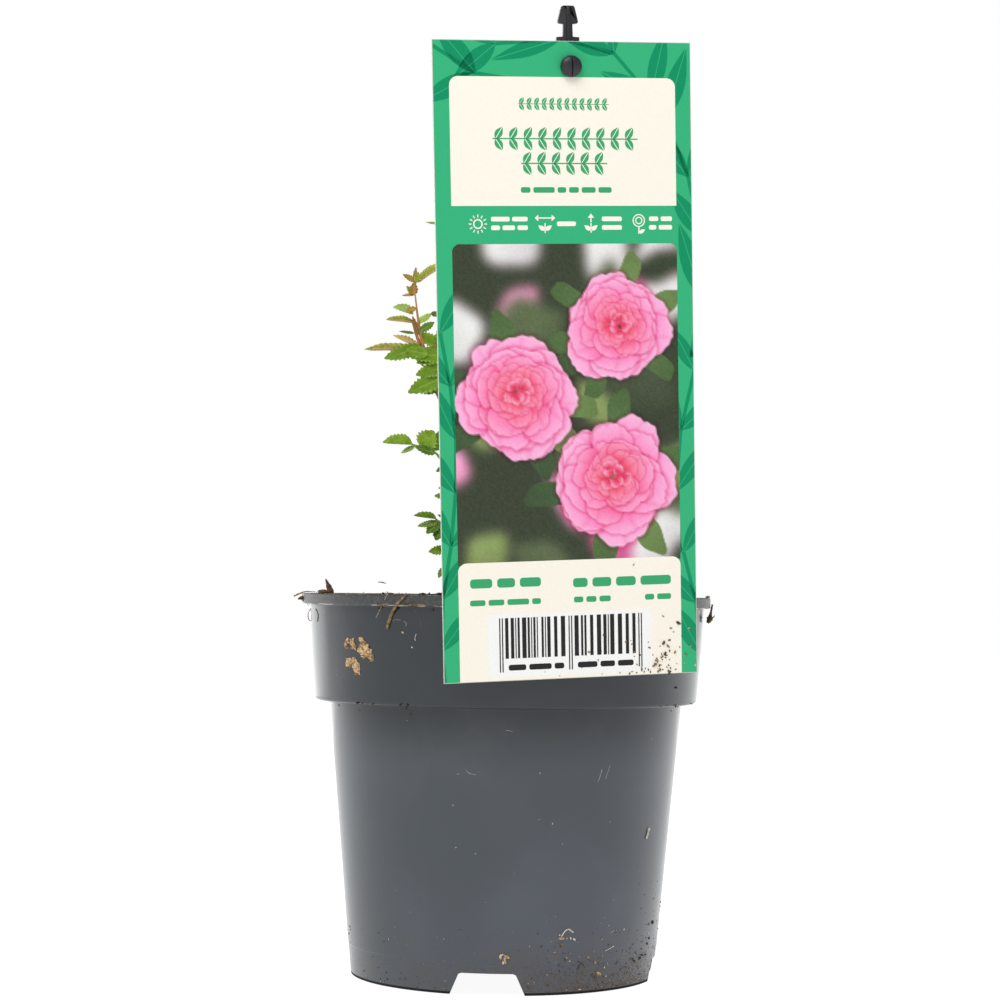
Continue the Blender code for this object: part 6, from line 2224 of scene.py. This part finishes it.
def paint_picture():
    chance = random.Random("invented roses")
    canvas = np.empty((*ACROSS.shape, 3))
    canvas[:] = (36, 60, 34)
    for _ in range(34):
        place = (chance.uniform(-36, 36), chance.uniform(56, 154))
        sizes = (chance.uniform(4, 11), chance.uniform(4, 11))
        soft_shape(canvas, chance.choice(GARDEN_COLOURS), place, sizes, chance.uniform(0, 180))
    blur(canvas, 3)
    for (across, down), radius in BUNCH:
        start = chance.uniform(0, 360)
        for i in range(6):
            turn = start + 60 * i + chance.uniform(-14, 14)
            way = math.radians(turn)
            place = (across + radius * 1.02 * math.cos(way), down + radius * 1.02 * math.sin(way))
            soft_shape(canvas, chance.choice(LEAF_TONES), place, (radius * 0.42, radius * 0.2), turn, (0.9, 1.05))
    for heart, radius in BUNCH:
        rosette(canvas, heart, radius, chance, (0.06, -0.08))
    grain = np.random.default_rng(5).normal(0, 3.0, ACROSS.shape)
    return (np.clip(canvas + grain[..., None], 0, 255) / 255) ** (0.75, 0.92, 0.80)


def make_picture():
    """The painted grid as a thin closed sheet: its front carries the colours, its back is a plain fan."""
    level = 2
    wide, high = PICTURE_COLUMNS + 1, PICTURE_ROWS + 1
    points = [on_card(x * MM, y * MM, INK_STEP * (level + 1)) for x, y in zip(ACROSS.flat, DOWN.flat)]
    faces = []
    for row in range(high - 1):
        for column in range(wide - 1):
            a = row * wide + column
            faces.append((a, a + wide, a + wide + 1, a + 1))
    rim = [row * wide for row in range(high)]
    rim += [(high - 1) * wide + column for column in range(1, wide)]
    rim += [row * wide + wide - 1 for row in range(high - 2, -1, -1)]
    rim += [column for column in range(wide - 2, 0, -1)]
    first = len(points)
    points += [on_card(ACROSS.flat[i] * MM, DOWN.flat[i] * MM, -INK_STEP / 2) for i in rim]
    points.append(on_card(0, sum(PICTURE) / 2, -INK_STEP / 2))
    for i in range(len(rim)):
        k = (i + 1) % len(rim)
        faces += [(rim[i], first + i, first + k, rim[k]), (first + k, first + i, len(points) - 1)]
    made, paint, shader = new_finish("printed_picture", (0.5, 0.3, 0.3), 0.4, Specular_IOR_Level=0.2)
    feed(shader, "Base Color", paint.node("ShaderNodeVertexColor", {"layer_name": "print"}, output="Color"))
    tooth = mottle(place_of(paint), 2600.0, 2.0)
    feed(shader, "Roughness", tooth * 0.14 + 0.35)
    feed(shader, "Normal", relief(tooth, 0.000012))
    sheet = piece("card_picture", points, faces, [made], "card_print", smooth=False)
    light = paint_picture().reshape(-1, 3)
    light = np.where(light > 0.04045, ((light + 0.055) / 1.055) ** 2.4, light / 12.92)
    colours = np.full((len(points), 4), 0.5)
    colours[: len(light), :3] = light
    layer = sheet.data.color_attributes.new("print", "FLOAT_COLOR", "POINT")
    layer.data.foreach_set("color", colours.astype(np.float32).ravel())


make_picture()

# %% [markdown]
# ## The holder
# The holder is one moulding of black plastic. Its stem has a cross section and ends in an arrow head, so
# that it clicks into a sleeve and stays there. The card hangs on a peg with a split, round head. Sharp solid
# edges would look cut from paper, so every block of it gets a small bevel, and its moulding shows.

# %% The holder's finish and its blocks
def holder_plastic():
    made, paint, shader = new_finish("black_moulded_plastic", (0.020, 0.020, 0.023), 0.42)
    place = place_of(paint)
    grain = mottle(place, 1500.0, 3.0)
    scuffs = mottle(stretched(place, (700.0, 700.0, 160.0)), 1.0, 5.0, 0.7).between(0.60, 0.75)
    feed(shader, "Base Color", (scuffs * 0.6).tint((0.018, 0.018, 0.021, 1.0), (0.055, 0.053, 0.055, 1.0)))
    feed(shader, "Roughness", grain * 0.25 + scuffs * 0.2 + 0.28)
    feed(shader, "Normal", relief(grain + scuffs, 0.00004))
    return made


HOLDER = holder_matrix()
WEB = 1.5 * MM
RIB = 3.0 * MM
HEAD_RADIUS = 3.15 * MM
HEAD_START = HOLDER_SETBACK + CARD_THICKNESS / 2 + GAP


def bevelled(made, width=0.18 * MM):
    """A small two-step bevel on the sharp edges, applied to the mesh."""
    bevel = made.modifiers.new("soft_edges", "BEVEL")
    bevel.width = width
    bevel.segments = 2
    bevel.limit_method = "ANGLE"
    bevel.angle_limit = math.radians(35)
    graph = bpy.context.evaluated_depsgraph_get()
    mesh = bpy.data.meshes.new_from_object(made.evaluated_get(graph))
    made.modifiers.clear()
    made.data = mesh


def forward_turned(profile, sides):
    """A shape turned about the peg's line: the profile is (radius, distance forward)."""
    points, faces = revolved([(radius, -ahead) for radius, ahead in profile], sides, Vector())
    turn = Matrix.Rotation(math.radians(-90), 4, "X")
    return [turn @ point for point in points], faces


def make_holder():
    mirrored = [
        (2.2 * MM, -HOLDER_FOOT + 12 * MM),
        (3.2 * MM, -HOLDER_FOOT + 40 * MM),
        (3.2 * MM, 7.0 * MM),
        (3.4 * MM, 7.05 * MM),
        (3.4 * MM, 8.6 * MM),
        (1.45 * MM, 8.75 * MM),
        (1.32 * MM, 12.3 * MM),
        (2.75 * MM, 12.5 * MM),
        (3.0 * MM, 12.9 * MM),
        (2.85 * MM, 13.8 * MM),
        (1.95 * MM, 17.3 * MM),
        (1.5 * MM, 17.6 * MM),
    ]
    outline = [(0.0, -HOLDER_FOOT), *mirrored, *[(-x, z) for x, z in reversed(mirrored)]]
    here = Matrix.Identity(4)
    body = bare_object("holder_body", prism(outline, WEB, here))
    rib_side = [
        (0.0, -HOLDER_FOOT + 8 * MM),
        (RIB / 2, -HOLDER_FOOT + 34 * MM),
        (RIB / 2, 12.4 * MM),
        (1.35 * MM, 16.8 * MM),
        (1.0 * MM, 17.5 * MM),
    ]
    rib_outline = rib_side + [(-x, z) for x, z in reversed(rib_side[1:])]
    ribs = [bare_object("holder_rib", prism(rib_outline, 0.9 * MM, Matrix.Rotation(math.radians(90), 4, "Z")))]
    peg_profile = [(0.0, HEAD_START + 1 * MM), (1.7 * MM, HEAD_START + 1 * MM), (1.7 * MM, 0.0), (0.0, 0.0)]
    ribs.append(bare_object("peg", forward_turned(peg_profile, 24)))
    collar_end = HOLDER_SETBACK - CARD_THICKNESS / 2 - GAP
    collar = [(0.0, collar_end), (3.0 * MM, collar_end), (3.1 * MM, collar_end - 0.2 * MM), (3.1 * MM, 0.0), (0.0, 0.0)]
    ribs.append(bare_object("peg_collar", forward_turned(collar, 32)))
    outward_faces(body)
    carve(body, ribs, "UNION")
    bevelled(body, 0.14 * MM)
    dome = [(0.0, HEAD_START + 2.5 * MM)]
    for i in range(1, 9):
        turn = math.radians(i * 10)
        dome.append((HEAD_RADIUS * math.sin(turn), HEAD_START + 1.2 * MM + 1.3 * MM * math.cos(turn)))
    dome += [(HEAD_RADIUS, HEAD_START + 1.0 * MM), (HEAD_RADIUS - 0.1 * MM, HEAD_START), (0.0, HEAD_START)]
    head = bare_object("holder_head", forward_turned(dome, 40))
    slit = prism([(-0.22 * MM, -4 * MM), (0.22 * MM, -4 * MM), (0.22 * MM, 4 * MM), (-0.22 * MM, 4 * MM)], 2 * MM, here)
    slit_cutter = bare_object("head_slit", slit)
    slit_cutter.data.transform(Matrix.Translation((0, -(HEAD_START + 2.5 * MM), 0)))
    outward_faces(head)
    carve(head, [slit_cutter])
    bevelled(head, 0.1 * MM)
    gathered = Heap()
    for part in (body, head):
        points = [HOLDER @ vertex.co for vertex in part.data.vertices]
        gathered.add((points, [tuple(face.vertices) for face in part.data.polygons]))
        bpy.data.objects.remove(part)
    return gathered.make("ribbed_card_holder", [holder_plastic()], "holder_plastic", ["label_holder"], sharp=35)


make_holder()

# %% [markdown]
# ## Dirt and debris
# A pot that was stood out and watered carries dried compost: flakes of clay on its collar, straw and root hairs
# caught at the lip, crumbs on the shoulder and round the foot. Paint would look flat at the outline, where
# these stand out from the wall, so each is a small solid. Those in front are listed one by one, by turn about
# the axis and height in mm, and the rest are strewn by rule.

# %% Debris listed one by one
CLAY_FLAKES = (  # turn, height, length, width in mm, and slant in degrees
    (-141.2, 105.7, 3.9, 1.2, 62),
    (-138.4, 105.2, 3.8, 1.6, -60),
    (-134.5, 106.6, 2.4, 1.7, -50),
    (-133.6, 103.6, 5.4, 4.2, -25),
    (-131.2, 101.4, 2.7, 1.5, -65),
    (-140.8, 99.8, 3.4, 2.3, 50),
    (-137.5, 98.6, 6.0, 2.7, -75),
)
STRAW, ROOT, PEAT, BARK, CLAY, PALE = range(6)
WALL_STRANDS = (  # finish, radius in mm, places
    (STRAW, 0.42, ((-117.2, 121.0), (-118.0, 119.9), (-119.7, 118.1), (-122.8, 115.0), (-124.7, 110.2))),
    (ROOT, 0.10, ((-123.1, 120.9), (-124.0, 119.3), (-126.7, 116.6), (-128.5, 113.6))),
    (STRAW, 0.14, ((-127.1, 117.8), (-126.2, 117.3), (-124.3, 117.7), (-122.3, 117.6))),
    (BARK, 0.17, ((-126.6, 117.6), (-127.8, 116.3), (-125.1, 117.3))),
    (STRAW, 0.15, ((-119.0, 117.7), (-117.0, 117.5), (-114.7, 117.8), (-112.0, 117.7))),
    (BARK, 0.12, ((-118.7, 117.5), (-116.0, 117.9), (-113.1, 117.5))),
    (ROOT, 0.09, ((-119.2, 112.6), (-118.4, 112.1), (-118.6, 111.2))),
    (ROOT, 0.05, ((-122.9, 112.7), (-121.8, 113.1), (-120.2, 113.0))),
    (STRAW, 0.025, ((-116.6, 116.5), (-114.7, 115.0), (-114.0, 112.5), (-114.3, 110.5))),
    (PALE, 0.11, ((-115.4, 108.9), (-115.8, 107.7), (-115.7, 106.9))),
    (BARK, 0.09, ((-160.6, 115.7), (-158.7, 113.9), (-159.8, 111.8))),
    (PALE, 0.2, ((-69.3, 17.9), (-68.1, 19.4), (-66.7, 20.1), (-64.8, 19.1))),
    (PALE, 0.13, ((-50.7, 12.7), (-48.9, 13.1), (-46.8, 13.8))),
    (BARK, 0.14, ((-62.3, 7.4), (-60.9, 9.4), (-59.7, 8.6))),
    (ROOT, 0.08, ((-48.7, 17.9), (-46.9, 18.9))),
    (PALE, 0.05, ((-90.2, 80.2), (-89.0, 80.5), (-87.6, 80.1))),
    (PALE, 0.04, ((-102.5, 68.6), (-101.2, 67.4), (-99.0, 67.0))),
    (PALE, 0.05, ((-58.6, 64.6), (-57.6, 67.0), (-57.3, 68.6))),
    (PALE, 0.05, ((-55.6, 65.6), (-54.2, 69.6))),
    (PALE, 0.30, ((-33.4, 46.2), (-32.6, 47.6), (-32.0, 49.4))),
)
FREE_STRANDS = (  # finish, radii in mm, points from the pot's axis in mm
    (
        BARK,
        (1.3, 0.95, 0.5, 0.12),
        ((-54.3, -30, 120.2), (-54.8, -30, 122.2), (-55.5, -30.2, 124), (-56, -30.3, 125.1)),
    ),
    (BARK, (0.5, 0.7, 0.4), ((-58.2, -29, 121.1), (-56.6, -29.6, 121.2), (-55.2, -30, 121.0))),
    (STRAW, (0.3, 0.24, 0.2, 0.1), ((-67.5, -8, 119.5), (-65.6, -8, 120.4), (-63.7, -8.6, 121), (-60.6, -10, 121))),
    (BARK, (0.2, 0.75, 0.5), ((-66.2, -8, 118.6), (-65.0, -8, 119.0), (-64.2, -8, 118.1))),
    (BARK, (0.1, 0.12, 0.1), ((-61.8, -12, 117.8), (-61.8, -12, 116.0), (-62.4, -11, 114.9))),
    (
        BARK,
        (0.1, 0.13, 0.13, 0.13, 0.08),
        ((-62.3, -11, 115), (-62.8, -10, 113.6), (-62.5, -10, 112.2), (-61.7, -11, 112), (-61.4, -12, 114)),
    ),
    (
        STRAW,
        (0.002, 0.002, 0.15, 0.17, 0.1, 0.002, 0.002),
        (
            *((-41, -34, 120), (-39.8, -34, 123.9), (-39.2, -35, 124.3), (-38.2, -35, 124.2)),
            *((-37.2, -35, 123.9), (-37.0, -35, 123.6), (-36.6, -34, 120)),
        ),
    ),
    (
        BARK,
        (0.3, 0.3, 0.7, 1.1, 0.4),
        ((65.2, -8, 118.6), (64.8, -8, 116.3), (64.6, -8, 115.0), (64.4, -8, 113.9), (63.7, -8, 112.7)),
    ),
    (STRAW, (0.1, 0.2, 0.1), ((64.7, -8, 114.2), (65.6, -8.2, 114.6), (66.0, -8.2, 115.2))),
    (STRAW, (0.3, 0.4, 0.2), ((63, -8, 120.7), (63.7, -8, 121.0), (64.4, -8, 120.9))),
)
WALL_CRUMBS = (  # finish, size in mm, turn, height
    *((PALE, 0.6, *place) for place in ((-116.8, 104.9), (-41.8, 18.6), (-49.3, 4.7), (-23.6, 15.7), (-50.5, 7.5))),
    *((PALE, 0.45, *place) for place in ((-106.7, 57.6), (-105.9, 44.8), (-78.8, 67.7), (-74, 52.4), (-134.5, 15))),
    *((PALE, 0.9, *place) for place in ((-65.6, 17.3), (-64.1, 16.9))),
    *((CLAY, 0.8, *place) for place in ((-58, 11.1), (-55, 9.4), (-52.7, 16.4), (-119.7, 109.3), (-60.9, 1.5))),
    *((CLAY, 1.5, *place) for place in ((-69.2, 17.4), (-53.1, 5.8), (-90.6, 12.0), (-89.0, 10.8), (-88.2, 11.9))),
    *((PALE, 1.0, *place) for place in ((-90.0, 12.6), (-88.9, 12.2), (-89.6, 10.2))),
    *((BARK, 0.9, *place) for place in ((-110.3, 116.2), (-67.4, 10.7), (-34.8, 8.8), (-33.5, 8), (-54.5, 4.6))),
    *((PEAT, 1.1, *place) for place in ((-20.5, 18.9), (-31.4, 93.0), (-121.1, 87.6), (-118.8, 87.5), (-137.7, 87.4))),
    *((PEAT, 0.8, *place) for place in ((-22.7, 14), (-24, 12.5), (-27.7, 9.3), (-24.6, 9.1))),
    *((PEAT, 0.8, *place) for place in ((-29.4, 8.6), (-30.5, 87.1))),
)
CARD_CRUMBS = (  # finish, size in mm, place on the card: right of its middle and down from its top, in mm
    *((BARK, 1.3, *place) for place in ((28.4, 176.9), (30.0, 185.7), (28.8, 180.1), (33.1, 171.1))),
    *((STRAW, 1.1, *place) for place in ((31.9, 179.8), (29.8, 177.9), (26.4, 182.3), (25.3, 183.6))),
    *((CLAY, 0.7, *place) for place in ((36.4, 172.8), (36.8, 178.3), (34.7, 183.1), (38.2, 184.0), (19.4, 153.1))),
    *((BARK, 0.4, *place) for place in ((9.1, 178.5), (-8.3, 184), (-3.8, 185.4), (3, 183.3), (9.2, 185.4))),
)


# %% Lay it on
FLAKE_SIDES = 18
FLAKE_RINGS = ((1.0, -0.1), (1.0, 0.14), (0.66, 0.46), (0.3, 0.4))  # share of the outline, lift in mm
FLAKE_DEGREE = 0.78  # mm across for a degree of turn, seen from the front


def clay_flake(turn, height, length, width, slant, chance):
    """A ragged, domed plate of dried clay on the wall, closed behind."""
    slant = math.radians(slant)
    sides = FLAKE_SIDES
    rim = [chance.uniform(0.66, 1.1) for _ in range(sides)]
    points = []
    for share, lift in FLAKE_RINGS:
        for j in range(sides):
            bearing = 2 * math.pi * j / sides
            reach = share * (rim[j] if share > 0.9 else chance.uniform(0.8, 1.1))
            a, b = math.cos(bearing) * length / 2 * reach, math.sin(bearing) * width / 2 * reach
            over = a * math.cos(slant) - b * math.sin(slant)
            up = a * math.sin(slant) + b * math.cos(slant)
            out = lift * chance.uniform(0.5, 1.3) if lift > 0.2 else lift
            points.append(on_pot(turn + over / FLAKE_DEGREE, (height + up) * MM, out * MM)[0])
    return points, closed_rings(len(FLAKE_RINGS), sides)


def uneven_strand(points, radii, chance):
    """A limp fibre or splinter through points, of uneven thickness."""
    line = smooth_line(points, 4)
    fine = []
    for i in range(len(line)):
        place = i / (len(line) - 1) * (len(radii) - 1)
        k = min(int(place), len(radii) - 2)
        fine.append((radii[k] + (radii[k + 1] - radii[k]) * (place - k)) * chance.uniform(0.85, 1.15) * MM)
    return tube(line, fine, 7, lambda i, j: 1 + 0.16 * noise.noise(Vector((i * 0.9, j * 1.3, radii[0] * 9))))


def crumb(middle, outward, size, chance):
    """A crumb of this size on a surface that faces outward."""
    along = Matrix.Rotation(chance.uniform(0, 6.28), 3, outward) @ outward.orthogonal().normalized()
    return shard(middle + outward * size * 0.12, along, size * chance.uniform(0.9, 1.3), size * 0.7, size * 0.6, chance)


def over_notch(turn, height):
    """True where the wall's foot is cut away."""
    off = (turn - NOTCH_TURN + 180 / NOTCH_COUNT) % (360 / NOTCH_COUNT) - 180 / NOTCH_COUNT
    half_turn = math.degrees(math.asin(NOTCH_FOOT_WIDTH / 2 / BASE_RADIUS)) + 0.8
    return height * MM < FLOOR_HEIGHT + 0.5 * MM and abs(off) < half_turn


def make_debris():
    chance = random.Random("debris")
    heap = Heap()
    for turn, height, length, width, slant in CLAY_FLAKES:
        heap.add(clay_flake(turn, height, length, width, slant, chance), CLAY)
        for _ in range(4):  # chips that broke away along its rim
            bearing = chance.uniform(0, 2 * math.pi)
            place = (turn + math.cos(bearing) * width * 0.45, height + math.sin(bearing) * length * 0.42)
            size = chance.uniform(0.5, 1.4)
            heap.add(clay_flake(*place, size, size * 0.6, chance.uniform(0, 180), chance), CLAY)
    for pick, radius, places in WALL_STRANDS:
        points = [on_pot(turn, height * MM, radius * MM)[0] for turn, height in places]
        heap.add(uneven_strand(points, (radius * 0.8, radius, radius * 1.1), chance), pick)
    for pick, radii, places in FREE_STRANDS:
        heap.add(uneven_strand([from_axis(place) for place in places], radii, chance), pick)
    crumbs = list(WALL_CRUMBS)
    for _ in range(520):  # round the foot, thickest on the front right
        turn = chance.gauss(-38, 20) if chance.random() < 0.5 else chance.uniform(-180, 180)
        height = 1.2 + 24 * chance.random() ** 1.9 * (1.3 if turn > -35 else 0.8)
        pick = chance.choice((PEAT, BARK, BARK, BARK, STRAW, CLAY))
        crumbs.append((pick, chance.uniform(0.12, 0.5), turn, height))
    for _ in range(40):  # a rusty patch at the front
        place = (chance.gauss(-70, 4), chance.gauss(13, 4))
        crumbs.append((chance.choice((BARK, BARK, STRAW, CLAY)), chance.uniform(0.2, 0.7), *place))
    for _ in range(130):  # pale grit, fine as dust
        crumbs.append((PALE, chance.uniform(0.08, 0.22), chance.uniform(-180, 180), 3 + abs(chance.gauss(0, 14))))
    for _ in range(60):  # on the shoulder and under it
        turn = chance.choice((-128, -33, 40, 110, 170)) + chance.gauss(0, 12)
        crumbs.append((chance.choice((PEAT, BARK)), chance.uniform(0.3, 0.8), turn, 87.6 - abs(chance.gauss(0, 1.6))))
    for _ in range(36):  # and a few pale ones anywhere
        crumbs.append((PALE, chance.uniform(0.2, 0.36), chance.uniform(0, 360), chance.uniform(3, 112)))
    for pick, size, turn, height in crumbs:
        if not over_notch(turn, height):
            heap.add(crumb(*on_pot(turn, height * MM), size * MM, chance), pick)
    for i in range(8):  # threads that hang at the lip, all round
        turn, hang = 20 + 175 * (i + 0.5) / 8 + chance.uniform(-9, 9), chance.uniform(1.5, 4)
        places = ((turn, 121), (turn + 1, 119), (turn + chance.uniform(-2, 3), 119 - hang))
        points = [on_pot(at, height * MM, 0.12 * MM)[0] for at, height in places]
        heap.add(uneven_strand(points, (0.08, 0.12, 0.08), chance), chance.choice((STRAW, BARK)))
    finishes = [dry_straw, pale_root, peat, bark_chip, dried_clay, pale_grit]
    heap.make("pot_debris", finishes, "compost", smooth=False)
    heap = Heap()
    crumbs = list(CARD_CRUMBS)
    for _ in range(90):  # fine ones, thickest near the lower right corner
        place = (28 - abs(chance.gauss(0, 9)) + abs(chance.gauss(0, 4)), 187.2 - abs(chance.gauss(0, 7)))
        if place[0] < 38.3 and place[1] < 185.7:
            crumbs.append((chance.choice((BARK, STRAW, STRAW)), chance.uniform(0.25, 0.85), *place))
    for pick, size, x, drop in crumbs:
        middle = on_card(x * MM, drop * MM, 3 * INK_STEP)
        outward = (on_card(x * MM, drop * MM, MM) - middle).normalized()
        heap.add(crumb(middle, outward, size * MM, chance), pick)
    heap.make("card_debris", finishes, "compost", smooth=False)


dried_clay = wood_finish("dried_clay", linear(136, 100, 60), linear(224, 196, 152), 1000.0)
pale_grit = wood_finish("pale_grit", linear(170, 164, 150), linear(226, 222, 212), 1300.0)
make_debris()
